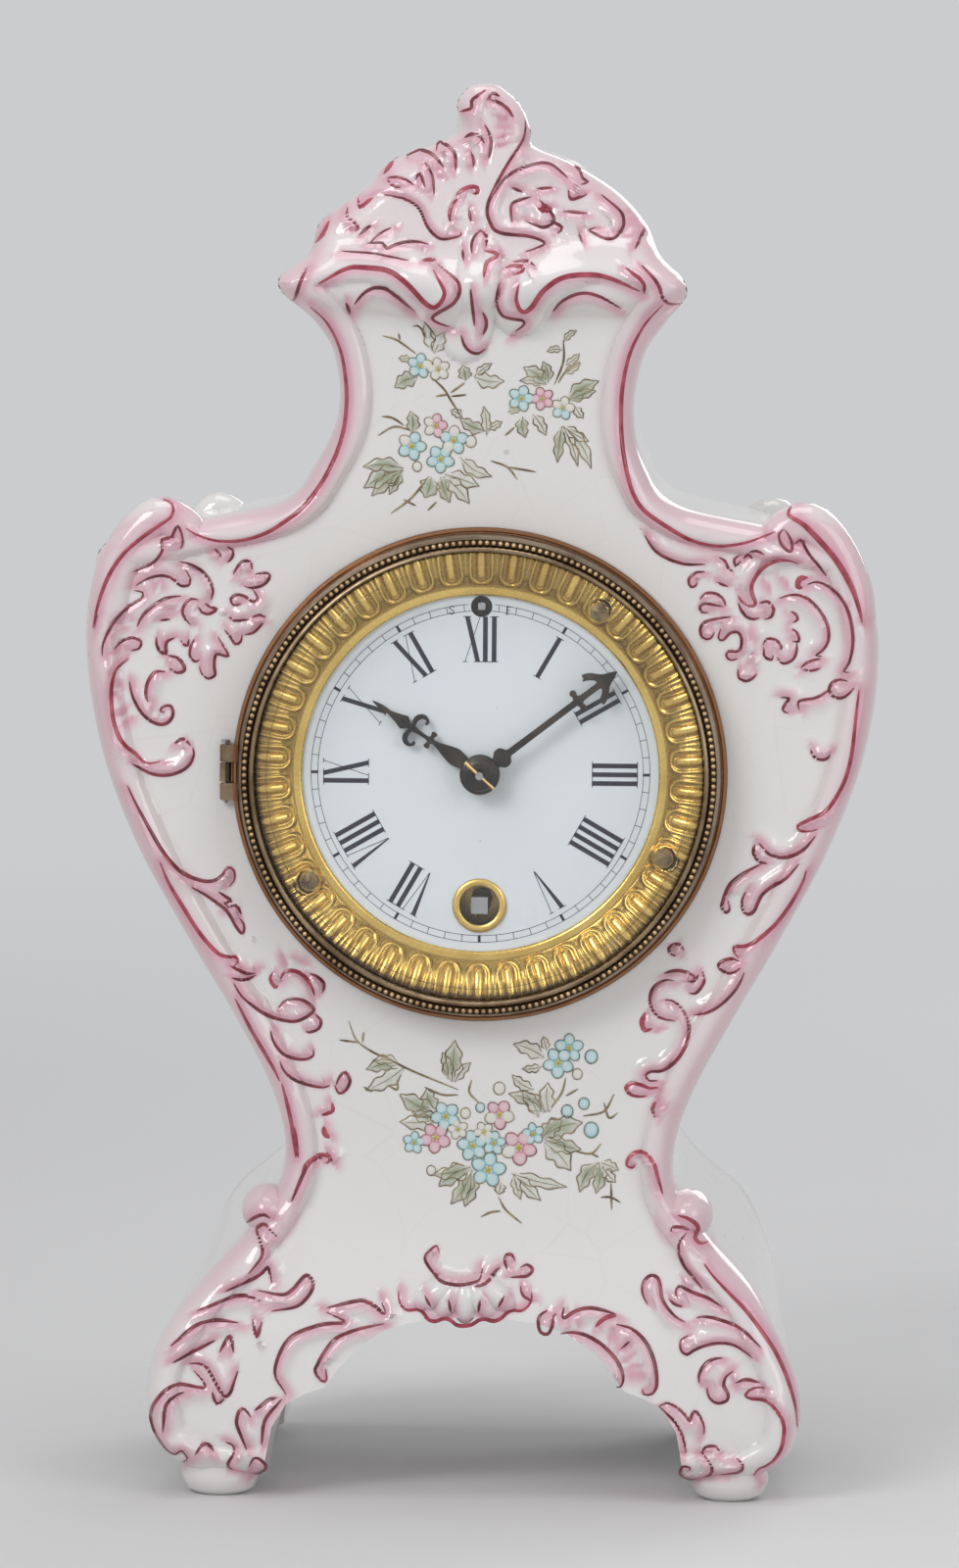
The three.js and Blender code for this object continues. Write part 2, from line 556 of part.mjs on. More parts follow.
surroundPlaces.forEach(([x, z], i) => {
  const under = screwSeat - SEAT;
  const screw = turned([
    [0, under - SURROUND_SCREW.headHeight], [SURROUND_SCREW.head, under - SURROUND_SCREW.headHeight * 0.6],
    [SURROUND_SCREW.head, under], [SURROUND_SCREW.shank, under],
    [SURROUND_SCREW.shank, under + SURROUND_SCREW.length], [0, under + SURROUND_SCREW.length],
  ], x, z);
  const slot = block(-SURROUND_SCREW.head, SURROUND_SCREW.head, under - 2 * SURROUND_SCREW.headHeight,
    under - SURROUND_SCREW.headHeight * 0.4, -0.25, 0.25);
  add(`surround_screw_${i + 1}`, cut(screw, moved(slot.rotate([0, -30 * i, 0]), x, 0, z)), BRASS);
});

// Enamel dial, and the pan behind it with four posts for the movement
const dialShape = new THREE.Shape(polygon(DIAL.radius, 0, 0, SIDES.large));
dialShape.holes.push(
  holeAt(DIAL.centreHole, 0, 0, SIDES.small), holeAt(GROMMET.neck + SEAT, 0, -WINDING_DROP, SIDES.medium),
  holeAt(DIAL.regulatorHole, 0, REGULATOR_RISE));
add("dial_plate", plateOf(dialShape, dialFront, dialFront + DIAL.thickness, 0, DIAL_HEIGHT), ENAMEL);

const panPosts = [1, -1].flatMap((sx) => [1, -1].map((sz) => rod(
  PAN_POST.radius, panBack - PAN.gauge / 2, PLATE.front - SEAT,
  sx * PAN_POST.x, DIAL_HEIGHT + sz * PAN_POST.z)));
const panDish = turned([
  [0, panFront], [PAN.radius - PAN.gauge, panFront], [PAN.radius - PAN.gauge, panFront - PAN.wall],
  [PAN.radius, panFront - PAN.wall], [PAN.radius, panBack], [0, panBack],
], 0, DIAL_HEIGHT, SIDES.large);
const caseScrewPlaces = [CASE_SCREW.x, -CASE_SCREW.x];
add("dial_pan", cut(join(panDish, ...panPosts),
  rod(DIAL.centreHole, panFront - 1, panBack + 1, 0, DIAL_HEIGHT),
  rod(GROMMET.neck + SEAT, panFront - 1, panBack + 1, 0, windingZ, SIDES.medium),
  rod(ARBOR.regulator + RUN, panFront - 1, panBack + 1, 0, regulatorZ)), AGED_BRASS);

const grommetFront = dialFront - SEAT - GROMMET.flange;
add("winding_grommet", turned([
  [GROMMET.bore, grommetFront], [GROMMET.outer - 0.3, grommetFront],
  [GROMMET.outer, grommetFront + GROMMET.flange / 2], [GROMMET.outer, dialFront - SEAT],
  [GROMMET.neck, dialFront - SEAT], [GROMMET.neck, dialFront + DIAL.thickness],
  [GROMMET.bore, dialFront + DIAL.thickness],
], 0, windingZ, SIDES.medium), GILT);

// Bezel: a deep brass ring with a beaded edge, the glass, and the wire ring that holds the glass
const bezelTop = dialBack - BEZEL.depth;
const glassSeat = bezelTop + BEZEL.lip + SEAT;
const hingeX = -(BEZEL.outer + HINGE.offset);
const hingeY = dialBack - HINGE.knuckle;
const bezelProfile = [
  [BEZEL.inner, dialBack - SEAT], [BEZEL.outer, dialBack - SEAT],
  [BEZEL.outer, dialBack - BEZEL.flange], [BEZEL.outer - 0.8, dialBack - BEZEL.flange - 0.4],
  [BEZEL.wallTop, bezelTop + 1.6],
  [BEZEL.bead + BEZEL.beadRadius, bezelTop + 0.6], [BEZEL.bead + BEZEL.beadRadius / 2, bezelTop],
  [BEZEL.bead - BEZEL.beadRadius / 2, bezelTop], [BEZEL.opening, bezelTop + 0.6],
  [BEZEL.opening, bezelTop + BEZEL.lip], [GLASS.radius + SEAT, bezelTop + BEZEL.lip],
  [GLASS.radius + SEAT, dialBack - BEZEL.flange],
];
const upright = (profile, x, y) => turnedUp(profile.map(([r, z]) => [r, z + DIAL_HEIGHT]), x, y);
const knuckle = (z0, z1, x, y) => upright(
  [[HINGE.pin + SEAT, z0], [HINGE.knuckle, z0], [HINGE.knuckle, z1], [HINGE.pin + SEAT, z1]], x, y);
const pinSpace = (x, y) => upright(
  [[0, -4 * HINGE.length], [HINGE.pin + SEAT, -4 * HINGE.length],
    [HINGE.pin + SEAT, 4 * HINGE.length], [0, 4 * HINGE.length]], x, y);
const leafHalf = HINGE.length / 2;
const outerKnuckles = (x, y, arm) => [1, -1].map((side) => {
  const [z0, z1] = side > 0 ? [leafHalf + SEAT, 3 * leafHalf] : [-3 * leafHalf, -leafHalf - SEAT];
  return join(knuckle(z0, z1, x, y), moved(arm(z0, z1), 0, 0, DIAL_HEIGHT));
});
const bezelArm = (z0, z1) => block(hingeX, -BEZEL.outer + 1.4, hingeY - HINGE.knuckle,
  hingeY - 0.1, z0, z1);
const leafSpace = block(hingeX - 2 * HINGE.knuckle, -SURROUND.outer, dialBack - HINGE.leafGauge - SEAT,
  dialBack, DIAL_HEIGHT - leafHalf - SEAT, DIAL_HEIGHT + leafHalf + SEAT);
const knuckleSpace = block(hingeX - 2 * HINGE.knuckle, hingeX + HINGE.knuckle + SEAT,
  hingeY - 2 * HINGE.knuckle, dialBack, DIAL_HEIGHT - leafHalf - SEAT, DIAL_HEIGHT + leafHalf + SEAT);
add("bezel_ring", cut(
  join(turned(bezelProfile, 0, DIAL_HEIGHT, SIDES.large), ...outerKnuckles(hingeX, hingeY, bezelArm)),
  pinSpace(hingeX, hingeY), leafSpace, knuckleSpace), AGED_BRASS);
const leaf = block(hingeX, -SURROUND.outer - SEAT, dialBack - HINGE.leafGauge, dialBack,
  DIAL_HEIGHT - leafHalf, DIAL_HEIGHT + leafHalf);
add("bezel_hinge_leaf", cut(join(leaf, knuckle(-leafHalf, leafHalf, hingeX, hingeY)),
  pinSpace(hingeX, hingeY)), AGED_BRASS);
const pinProfile = [
  [0, -3 * leafHalf - 0.6], [HINGE.pin, -3 * leafHalf - 0.6],
  [HINGE.pin, 3 * leafHalf + SEAT], [HINGE.knuckle * 0.8, 3 * leafHalf + SEAT],
  [HINGE.knuckle * 0.8, 3 * leafHalf + 1], [0, 3 * leafHalf + 1.2]];
add("bezel_hinge_pin", upright(pinProfile, hingeX, hingeY), STEEL);

const glassBack = glassSeat + GLASS.edge;
const dome = (radius, seat, rise) => seat - rise * (1 - (radius / GLASS.radius) ** 2);
const domeRadii = [0, 0.35, 0.7].map((share) => share * GLASS.radius);
const bevelRadius = GLASS.radius - GLASS.bevel;
add("bezel_glass", turned([
  ...domeRadii.map((r) => [r, dome(r, glassSeat, GLASS.rise)]),
  [bevelRadius, glassSeat - GLASS.bevelRise], [BEZEL.opening - SEAT, glassSeat - 0.05],
  [GLASS.radius, glassSeat], [GLASS.radius, glassBack], [bevelRadius, glassBack - GLASS.bevelRise / 2],
  ...domeRadii.reverse().map((r) => [r, dome(r, glassBack, GLASS.rise)]),
], 0, DIAL_HEIGHT, SIDES.large), CLEAR);
add("bezel_glass_clip", ringOf(CLIP.inner, CLIP.outer, glassBack + SEAT, glassBack + SEAT + CLIP.gauge,
  0, DIAL_HEIGHT, SIDES.large), BRASS);

// Hands: pierced and stamped from blackened steel
const washerFront = dialFront - SEAT - 2 * (HANDS.gauge + SEAT) - 2 - WASHER.height;
const minuteBack = washerFront + WASHER.height + SEAT + HANDS.gauge;
const hourBack = minuteBack + 2;
const handTurn = (part, clockwise) => moved(part.rotate([0, clockwise, 0]), 0, 0, DIAL_HEIGHT);
function handShape(outline, length) {
  const right = outline.map(([x, share]) => [x, share * length]);
  const left = right.map(([x, z]) => [-x, z]).reverse();
  return shapeOf([...right, ...left]);
}
const crescent = (back) => {
  const shape = new THREE.Shape();
  const [from, to] = [CRESCENT.from, CRESCENT.to].map(degrees);
  shape.absarc(0, 0, CRESCENT.outer, from, to, false);
  shape.absarc(0, 0, CRESCENT.inner, to, from, true);
  return plateOf(shape, back - HANDS.gauge, back, CRESCENT.out, CRESCENT.at * HANDS.hourLength);
};
const hourBore = HOUR.pipeOutside + SEAT / 2;
const minuteBore = CANNON.outside + SEAT / 2;
const hourBlade = join(plateOf(handShape(HOUR_OUTLINE, HANDS.hourLength), hourBack - HANDS.gauge, hourBack),
  crescent(hourBack), mirrored(crescent(hourBack)));
const hourEye = ringOf(hourBore, HANDS.hourHub, hourBack - HANDS.gauge, hourBack);
add("hour_hand", handTurn(cut(join(hourBlade, hourEye),
  rod(hourBore, hourBack - 2 * HANDS.gauge, hourBack + HANDS.gauge)), HANDS.hourAngle), BLACK_STEEL);
const minuteBlade = plateOf(
  handShape(MINUTE_OUTLINE, HANDS.minuteLength), minuteBack - HANDS.gauge, minuteBack);
const minuteEye = ringOf(minuteBore, HANDS.minuteHub, minuteBack - HANDS.gauge, minuteBack);
add("minute_hand", handTurn(cut(join(minuteBlade, minuteEye),
  rod(minuteBore, minuteBack - 2 * HANDS.gauge, minuteBack + HANDS.gauge)),
HANDS.minuteAngle), BLACK_STEEL);
add("hand_washer", turned([
  [ARBOR.centre + RUN, washerFront], [WASHER.radius - 1.2, washerFront + 0.2],
  [WASHER.radius, washerFront + 0.9], [WASHER.radius, washerFront + WASHER.height],
  [ARBOR.centre + RUN, washerFront + WASHER.height],
], 0, DIAL_HEIGHT), BLACK_STEEL);
const taperPinY = washerFront - SEAT - TAPER_PIN.big;
const taperPin = new THREE.CylinderGeometry(TAPER_PIN.small, TAPER_PIN.big, TAPER_PIN.length, SIDES.fine)
  .rotateZ(degrees(-TAPER_PIN.angle)).rotateX(Math.PI / 2);
add("taper_pin", moved(solid(taperPin), 0, taperPinY, DIAL_HEIGHT), BRASS);

// Toothed wheels have pointed teeth and pinions have blunt leaves. Each is set at a phase so that
// a pair stands in mesh. Widths are shares of the pitch, heights are shares of the module.
const TOOTH = [["root", -0.5], ["tip", 0]];
const LEAF = [["root", -0.2], ["tip", -0.07], ["tip", 0.07], ["root", 0.2]];
const FLANK = { addendum: 0.9, dedendum: 1.5 };
function toothedShape(teeth, module, phase, outline) {
  const pitch = TURN / teeth;
  const radius = (teeth * module) / 2;
  const reach = { root: radius - FLANK.dedendum * module, tip: radius + FLANK.addendum * module };
  const points = Array.from({ length: teeth }, (_, i) => {
    const middle = phase + i * pitch;
    return outline.map(([level, share]) => [
      reach[level] * Math.cos(middle + share * pitch), reach[level] * Math.sin(middle + share * pitch)]);
  }).flat();
  return { shape: shapeOf(points), rootRadius: reach.root };
}

function cutWindows(shape, rootRadius) {
  const outside = rootRadius - WINDOW_RIM;
  for (let i = 0; i < WINDOWS; i += 1) {
    const start = (i * TURN) / WINDOWS;
    const [outerTrim, innerTrim] = [SPOKE / 2 / outside, SPOKE / 2 / WINDOW_HUB];
    const end = start + TURN / WINDOWS;
    const arc = (radius, from, to, steps) => Array.from({ length: steps + 1 }, (_, k) => {
      const angle = from + (k / steps) * (to - from);
      return new THREE.Vector2(radius * Math.cos(angle), radius * Math.sin(angle));
    });
    shape.holes.push(new THREE.Path([
      ...arc(outside, start + outerTrim, end - outerTrim, 4),
      ...arc(WINDOW_HUB, end - innerTrim, start + innerTrim, 1)]));
  }
}

function wheel({ teeth, module, gauge, y }, [x, z], bore, phase, windowed = true) {
  const { shape, rootRadius } = toothedShape(teeth, module, phase, TOOTH);
  shape.holes.push(holeAt(bore));
  if (windowed) cutWindows(shape, rootRadius);
  return plateOf(shape, y, y + gauge, x, z);
}
const pinion = (teeth, module, y0, y1, [x, z], phase) =>
  plateOf(toothedShape(teeth, module, phase, LEAF).shape, y0, y1, x, z);

// The phase of a wheel that stands in mesh with another one, tooth against gap
function meshing(teeth, place, otherTeeth, otherPlace, otherPhase) {
  const towards = Math.atan2(place[1] - otherPlace[1], place[0] - otherPlace[0]);
  const share = (towards - otherPhase) / (TURN / otherTeeth);
  return towards + Math.PI - (0.5 - share) * (TURN / teeth);
}

// Where two wheels' arbors put the one that meshes with both
function between([ax, az], fromA, [bx, bz], fromB, side) {
  const span = Math.hypot(bx - ax, bz - az);
  const along = (span ** 2 + fromA ** 2 - fromB ** 2) / (2 * span);
  const off = side * Math.sqrt(fromA ** 2 - along ** 2);
  const [ux, uz] = [(bx - ax) / span, (bz - az) / span];
  return [ax + along * ux - off * uz, az + along * uz + off * ux];
}
const depth = (a, b, module) => ((a + b) * module) / 2;

const centrePlace = [0, DIAL_HEIGHT];
const windingPlace = [0, windingZ];
const escapePlace = [0, escapeZ];
const palletPlace = [0, palletZ];
const intermediatePlace = between(windingPlace,
  depth(GREAT.teeth, INTERMEDIATE_PINION.teeth, GREAT.module), centrePlace,
  depth(INTERMEDIATE.teeth, CENTRE_PINION.teeth, INTERMEDIATE.module), -1);
const thirdPlace = between(centrePlace, depth(CENTRE.teeth, THIRD_PINION.teeth, CENTRE.module),
  escapePlace, depth(THIRD.teeth, ESCAPE_PINION.teeth, THIRD.module), 1);
const minutePlace = [-depth(CANNON.teeth, MINUTE.teeth, CANNON.module), DIAL_HEIGHT];

const greatPhase = meshing(GREAT.teeth, windingPlace, INTERMEDIATE_PINION.teeth, intermediatePlace, 0);
const intermediatePhase = meshing(
  INTERMEDIATE.teeth, intermediatePlace, CENTRE_PINION.teeth, centrePlace, 0);
const centrePhase = meshing(CENTRE.teeth, centrePlace, THIRD_PINION.teeth, thirdPlace, 0);
const thirdPhase = meshing(THIRD.teeth, thirdPlace, ESCAPE_PINION.teeth, escapePlace, 0);
const minutePhase = meshing(MINUTE.teeth, minutePlace, CANNON.teeth, centrePlace, 0);
const hourPhase = meshing(HOUR.teeth, centrePlace, MINUTE_PINION.teeth, minutePlace, 0);

// Motion work under the dial
const cannonFront = washerFront + WASHER.height + SEAT;
const motionSpan = depth(CANNON.teeth, MINUTE.teeth, CANNON.module);
const hourModule = (2 * motionSpan) / (HOUR.teeth + MINUTE_PINION.teeth);
const cannonPipe = ringOf(CANNON.bore, CANNON.outside, cannonFront, PLATE.front - 1,
  0, DIAL_HEIGHT, SIDES.small);
const cannonLeaves = pinion(CANNON.teeth, CANNON.module, CANNON.y, CANNON.y + CANNON.length, centrePlace, 0);
add("cannon_pinion", cut(join(cannonPipe, cannonLeaves),
  rod(CANNON.bore, cannonFront - 1, PLATE.front, 0, DIAL_HEIGHT, SIDES.small)), STEEL);
const hourPipe = ringOf(HOUR.pipeBore, HOUR.pipeOutside, hourBack - HANDS.gauge - SEAT, HOUR.y + HOUR.gauge,
  0, DIAL_HEIGHT, SIDES.small);
const hourWheel = wheel({ teeth: HOUR.teeth, module: hourModule, gauge: HOUR.gauge, y: HOUR.y },
  centrePlace, HOUR.pipeBore, hourPhase, false);
add("hour_wheel", join(hourPipe, hourWheel), BRASS);
const minuteLeaves = pinion(MINUTE_PINION.teeth, hourModule, MINUTE.y - MINUTE_PINION.length,
  MINUTE.y + MINUTE.gauge / 2, minutePlace, 0);
const minuteWheel = wheel({ ...MINUTE, module: CANNON.module }, minutePlace, ARBOR.post + RUN,
  minutePhase, false);
const postFront = MINUTE.y - MINUTE_PINION.length - SEAT;
add("minute_wheel", cut(join(minuteLeaves, minuteWheel),
  rod(ARBOR.post + RUN, postFront - 1, PLATE.front, ...minutePlace)), BRASS);
add("minute_wheel_post", turned([
  [0, postFront], [ARBOR.post, postFront], [ARBOR.post, MINUTE.y + MINUTE.gauge + SEAT],
  [ARBOR.post * 2.4, MINUTE.y + MINUTE.gauge + SEAT], [ARBOR.post * 2.4, PLATE.front - SEAT],
  [0, PLATE.front - SEAT]], ...minutePlace), STEEL);

// Plates, pillars and nuts
const pillarPlaces = [[1, 1], [-1, 1], [1, -1], [-1, -1]].map(
  ([sx, sz]) => [sx * PILLAR.x, sz * PILLAR.z]);
const pivots = [
  [centrePlace, ARBOR.centre], [windingPlace, ARBOR.winding], [intermediatePlace, ARBOR.intermediate],
  [thirdPlace, ARBOR.third], [escapePlace, ARBOR.escape], [palletPlace, ARBOR.pallet],
  [[0, regulatorZ], ARBOR.regulator]];
function platePattern() {
  const half = Math.acos(PLATE.halfWidth / PLATE.radius);
  const shape = new THREE.Shape();
  shape.absarc(0, 0, PLATE.radius, half, Math.PI - half, false);
  shape.absarc(0, 0, PLATE.radius, Math.PI + half, TURN - half, false);
  shape.closePath();
  pivots.forEach(([[x, z], radius]) => shape.holes.push(holeAt(radius + RUN, x, z - DIAL_HEIGHT)));
  pillarPlaces.forEach(([x, z]) => shape.holes.push(holeAt(PILLAR.neck + SEAT, x, z)));
  return shape;
}
add("front_plate", plateOf(platePattern(), PLATE.front, plateFrontInside, 0, DIAL_HEIGHT), BRASS);
add("back_plate", plateOf(platePattern(), backPlate, backPlateOutside, 0, DIAL_HEIGHT), BRASS);
const hexagon = shapeOf(Array.from({ length: 6 }, (_, i) => [
  NUT.acrossCorners * Math.cos((i * TURN) / 6), NUT.acrossCorners * Math.sin((i * TURN) / 6)]));
hexagon.holes.push(holeAt(PILLAR.neck + SEAT));
const nutFront = backPlateOutside + SEAT;
pillarPlaces.forEach(([x, z], i) => {
  const at = [x, z + DIAL_HEIGHT];
  add(`plate_pillar_${i + 1}`, turned([
    [0, PLATE.front], [PILLAR.neck, PLATE.front], [PILLAR.neck, plateFrontInside + SEAT],
    [PILLAR.radius, plateFrontInside + SEAT], [PILLAR.radius, backPlate - SEAT],
    [PILLAR.neck, backPlate - SEAT], [PILLAR.neck, nutFront + NUT.height], [0, nutFront + NUT.height],
  ], ...at, SIDES.fine), BRASS);
  add(`pillar_nut_${i + 1}`, plateOf(hexagon, nutFront, nutFront + NUT.height, ...at), STEEL);
});

// Great wheel with its click, winding arbor, ratchet and open mainspring
add("great_wheel", wheel(GREAT, windingPlace, ARBOR.winding + RUN, greatPhase), BRASS);
const ratchetFront = GREAT.y + GREAT.gauge + SEAT;
const ratchetShape = shapeOf(Array.from({ length: RATCHET.teeth }, (_, i) => {
  const start = (i * TURN) / RATCHET.teeth;
  const root = RATCHET.radius - RATCHET.toothDepth;
  return [[root * Math.cos(start), root * Math.sin(start)],
    [RATCHET.radius * Math.cos(start), RATCHET.radius * Math.sin(start)]];
}).flat());
ratchetShape.holes.push(holeAt(ARBOR.winding + SEAT));
add("ratchet_wheel", plateOf(ratchetShape, ratchetFront, ratchetFront + RATCHET.gauge,
  ...windingPlace), STEEL);
const windingFront = grommetFront + 0.4;
const square = ARBOR.windingSquare / 2;
add("winding_arbor", join(
  rod(ARBOR.winding, PLATE.front - 2, backPlateOutside, ...windingPlace),
  block(-square, square, windingFront, PLATE.front - 1, windingZ - square, windingZ + square)), STEEL);

// The click's eye turns on a screw in the great wheel, and its nose stops just off the teeth
const clickAngle = degrees(CLICK.bearing);
const clickPlace = [CLICK.radius * Math.cos(clickAngle), windingZ + CLICK.radius * Math.sin(clickAngle)];
const noseLength = Math.sqrt(CLICK.radius ** 2 - RATCHET.radius ** 2);
const clickShape = shapeOf([
  [-CLICK.width, -1.2], [CLICK.width, -1.2], [CLICK.width, noseLength * 0.6],
  [CLICK.width * 0.2, noseLength], [-CLICK.width * 0.3, noseLength], [-CLICK.width, noseLength * 0.5]]);
const noseTurn = Math.asin((RATCHET.radius + RATCHET.lift + CLICK.width * 0.9) / CLICK.radius);
const clickSwing = ((clickAngle + Math.PI) * 180) / Math.PI - 90 - (noseTurn * 180) / Math.PI;
const clickBody = join(
  rod(CLICK.eye, ratchetFront, ratchetFront + RATCHET.gauge),
  plateOf(clickShape, ratchetFront, ratchetFront + RATCHET.gauge).rotate([0, -clickSwing, 0]));
add("click", moved(cut(clickBody, rod(CLICK.screw + RUN, GREAT.y, ratchetFront + 2 * RATCHET.gauge)),
  clickPlace[0], 0, clickPlace[1]), STEEL);

function springRadius(turn) {
  const start = ARBOR.winding + SEAT + MAINSPRING.strip / 2;
  const body = start + MAINSPRING.pitch * Math.min(turn, MAINSPRING.turns);
  const past = Math.max(0, turn - MAINSPRING.turns) / MAINSPRING.tail;
  const reach = Math.hypot(PILLAR.x, PILLAR.z - WINDING_DROP) - PILLAR.radius - SEAT - MAINSPRING.strip;
  const full = start + MAINSPRING.pitch * MAINSPRING.turns;
  return body + (reach - full) * past ** 2 * (3 - 2 * past);
}
const springEnd = Math.atan2(WINDING_DROP - PILLAR.z, -PILLAR.x);
const springTurns = MAINSPRING.turns + MAINSPRING.tail;
const springSteps = Math.round(springTurns * MAINSPRING.stepsPerTurn);
const springRings = Array.from({ length: springSteps + 1 }, (_, i) => {
  const turn = (i / springSteps) * springTurns;
  const angle = springEnd - (springTurns - turn) * TURN;
  return [[-1, 0], [1, 0], [1, 1], [-1, 1]].map(([side, far]) => {
    const radius = springRadius(turn) + (side * MAINSPRING.strip) / 2;
    return [radius * Math.cos(angle), MAINSPRING.y + far * MAINSPRING.width,
      windingZ + radius * Math.sin(angle)];
  });
});
add("mainspring", loft(springRings), STEEL);
const springGaps = springRings.slice(0, -MAINSPRING.stepsPerTurn).map((_, i) => {
  const at = (n) => springRadius((n / springSteps) * springTurns);
  return at(i + MAINSPRING.stepsPerTurn) - at(i) - MAINSPRING.strip;
});
console.log(`mainspring: least gap between its turns ${Math.min(...springGaps).toFixed(2)} mm`);

// Going train
const arborFront = PLATE.front;
const arborBack = backPlateOutside;
const pinionFront = (lead, { y }) => y - lead;
function arborWith(radius, place, y0, y1, teeth, module, from, length) {
  return join(rod(radius, y0, y1, ...place), pinion(teeth, module, from, from + length, place, 0));
}
add("intermediate_arbor", arborWith(ARBOR.intermediate, intermediatePlace, arborFront, arborBack,
  INTERMEDIATE_PINION.teeth, GREAT.module, pinionFront(INTERMEDIATE_PINION.lead, GREAT),
  INTERMEDIATE_PINION.length), STEEL);
add("intermediate_wheel", wheel(INTERMEDIATE, intermediatePlace, ARBOR.intermediate + RUN,
  intermediatePhase), BRASS);
const centreFront = taperPinY - TAPER_PIN.big - 0.8;
const pinBore = TAPER_PIN.big + RUN / 2;
const pinHole = new THREE.CylinderGeometry(pinBore, pinBore, TAPER_PIN.length, SIDES.fine)
  .rotateZ(degrees(-TAPER_PIN.angle)).rotateX(Math.PI / 2);
add("centre_arbor", cut(
  arborWith(ARBOR.centre, centrePlace, centreFront, arborBack, CENTRE_PINION.teeth,
    INTERMEDIATE.module, pinionFront(CENTRE_PINION.lead, INTERMEDIATE), CENTRE_PINION.length),
  moved(solid(pinHole), 0, taperPinY, DIAL_HEIGHT)), STEEL);
add("centre_wheel", wheel(CENTRE, centrePlace, ARBOR.centre + RUN, centrePhase), BRASS);
add("third_arbor", arborWith(ARBOR.third, thirdPlace, arborFront, arborBack, THIRD_PINION.teeth,
  CENTRE.module, pinionFront(THIRD_PINION.lead, CENTRE), THIRD_PINION.length), STEEL);
add("third_wheel", wheel(THIRD, thirdPlace, ARBOR.third + RUN, thirdPhase), BRASS);
add("escape_arbor", arborWith(ARBOR.escape, escapePlace, arborFront, arborBack, ESCAPE_PINION.teeth,
  THIRD.module, pinionFront(ESCAPE_PINION.lead, THIRD), ESCAPE_PINION.length), STEEL);
const escapeShape = shapeOf(Array.from({ length: ESCAPE.teeth }, (_, i) => {
  const start = (i * TURN) / ESCAPE.teeth;
  const root = ESCAPE.radius - ESCAPE.toothDepth;
  return [[root * Math.cos(start), root * Math.sin(start)],
    [ESCAPE.radius * Math.cos(start + ESCAPE.lean), ESCAPE.radius * Math.sin(start + ESCAPE.lean)]];
}).flat());
escapeShape.holes.push(holeAt(ARBOR.escape + RUN));
add("escape_wheel", plateOf(escapeShape, ESCAPE.y, ESCAPE.y + ESCAPE.gauge, ...escapePlace), BRASS);

// Pallets above the escape wheel, and the crutch that the pendulum's rod moves in
const palletReach = ESCAPE.radius + PALLETS.clear;
const toeAt = (bearing, radius) => [
  radius * Math.sin(degrees(bearing)), escapeZ - palletZ + radius * Math.cos(degrees(bearing))];
const toe = toeAt(PALLETS.spread, palletReach);
const toeBack = toeAt(PALLETS.spread, palletReach + PALLETS.toe);
const palletArm = shapeOf([[-PALLETS.arm, 0], [0, -PALLETS.arm], [toe[0] - 0.6, toe[1] + PALLETS.toe],
  toe, [toeBack[0] + 0.5, toeBack[1]], [toeBack[0], toeBack[1] + 1.2], [PALLETS.arm, PALLETS.arm]]);
const arm = plateOf(palletArm, PALLETS.y, PALLETS.y + PALLETS.gauge);
const palletBody = cut(join(arm, mirrored(arm), rod(PALLETS.hub, PALLETS.y, PALLETS.y + PALLETS.gauge)),
  rod(ARBOR.pallet + RUN, PALLETS.y - 1, PALLETS.y + PALLETS.gauge + 1));
add("pallets", moved(palletBody, 0, 0, palletZ), STEEL);
const forkX = PENDULUM.rod + CRUTCH.fork;
const crutchEnd = palletZ - CRUTCH.drop;
const prong = block(forkX, forkX + CRUTCH.prong, CRUTCH.y - CRUTCH.wire, CRUTCH.y + CRUTCH.reach,
  crutchEnd - CRUTCH.wire, crutchEnd + CRUTCH.wire);
add("pallet_arbor", join(
  rod(ARBOR.pallet, arborFront, CRUTCH.y + CRUTCH.wire, ...palletPlace),
  rodUp(CRUTCH.wire, crutchEnd, palletZ, 0, CRUTCH.y),
  block(-forkX - CRUTCH.prong, forkX + CRUTCH.prong, CRUTCH.y - CRUTCH.wire, CRUTCH.y + CRUTCH.wire,
    crutchEnd - CRUTCH.wire, crutchEnd + CRUTCH.wire),
  prong, mirrored(prong)), STEEL);

// Cock, regulator and suspended pendulum behind the back plate
const cockFront = backPlateOutside + SEAT;
const cockPlate = block(-COCK.halfWidth, COCK.halfWidth, cockFront, cockFront + COCK.gauge,
  cockLow, cockShelfZ + COCK.gauge);
const cockShelf = block(-SLIDE.halfWidth - 1, SLIDE.halfWidth + 1, cockFront, cockFront + COCK.reach,
  cockShelfZ, cockShelfZ + COCK.gauge);
const crownZ = regulatorZ + REGULATOR.pinion + SEAT;
add("pendulum_cock", cut(join(cockPlate, cockShelf),
  rod(ARBOR.regulator + RUN, backPlateOutside, cockFront + 2 * COCK.gauge, 0, regulatorZ),
  rodUp(REGULATOR.screw + RUN, cockShelfZ - 1, cockShelfZ + 2 * COCK.gauge, 0, PENDULUM.y)), BRASS);
const regulatorPinionFront = cockFront + COCK.gauge + SEAT;
const regulatorSquare = REGULATOR.square / 2;
add("regulator_arbor", join(
  rod(ARBOR.regulator, panFront, regulatorPinionFront + 0.5, 0, regulatorZ),
  block(-regulatorSquare, regulatorSquare, dialFront + 0.2, panFront + 0.5,
    regulatorZ - regulatorSquare, regulatorZ + regulatorSquare),
  rod(REGULATOR.pinion, regulatorPinionFront, regulatorPinionFront + REGULATOR.pinionLength,
    0, regulatorZ)), STEEL);
const slideBore = slideHigh - SLIDE.bore;
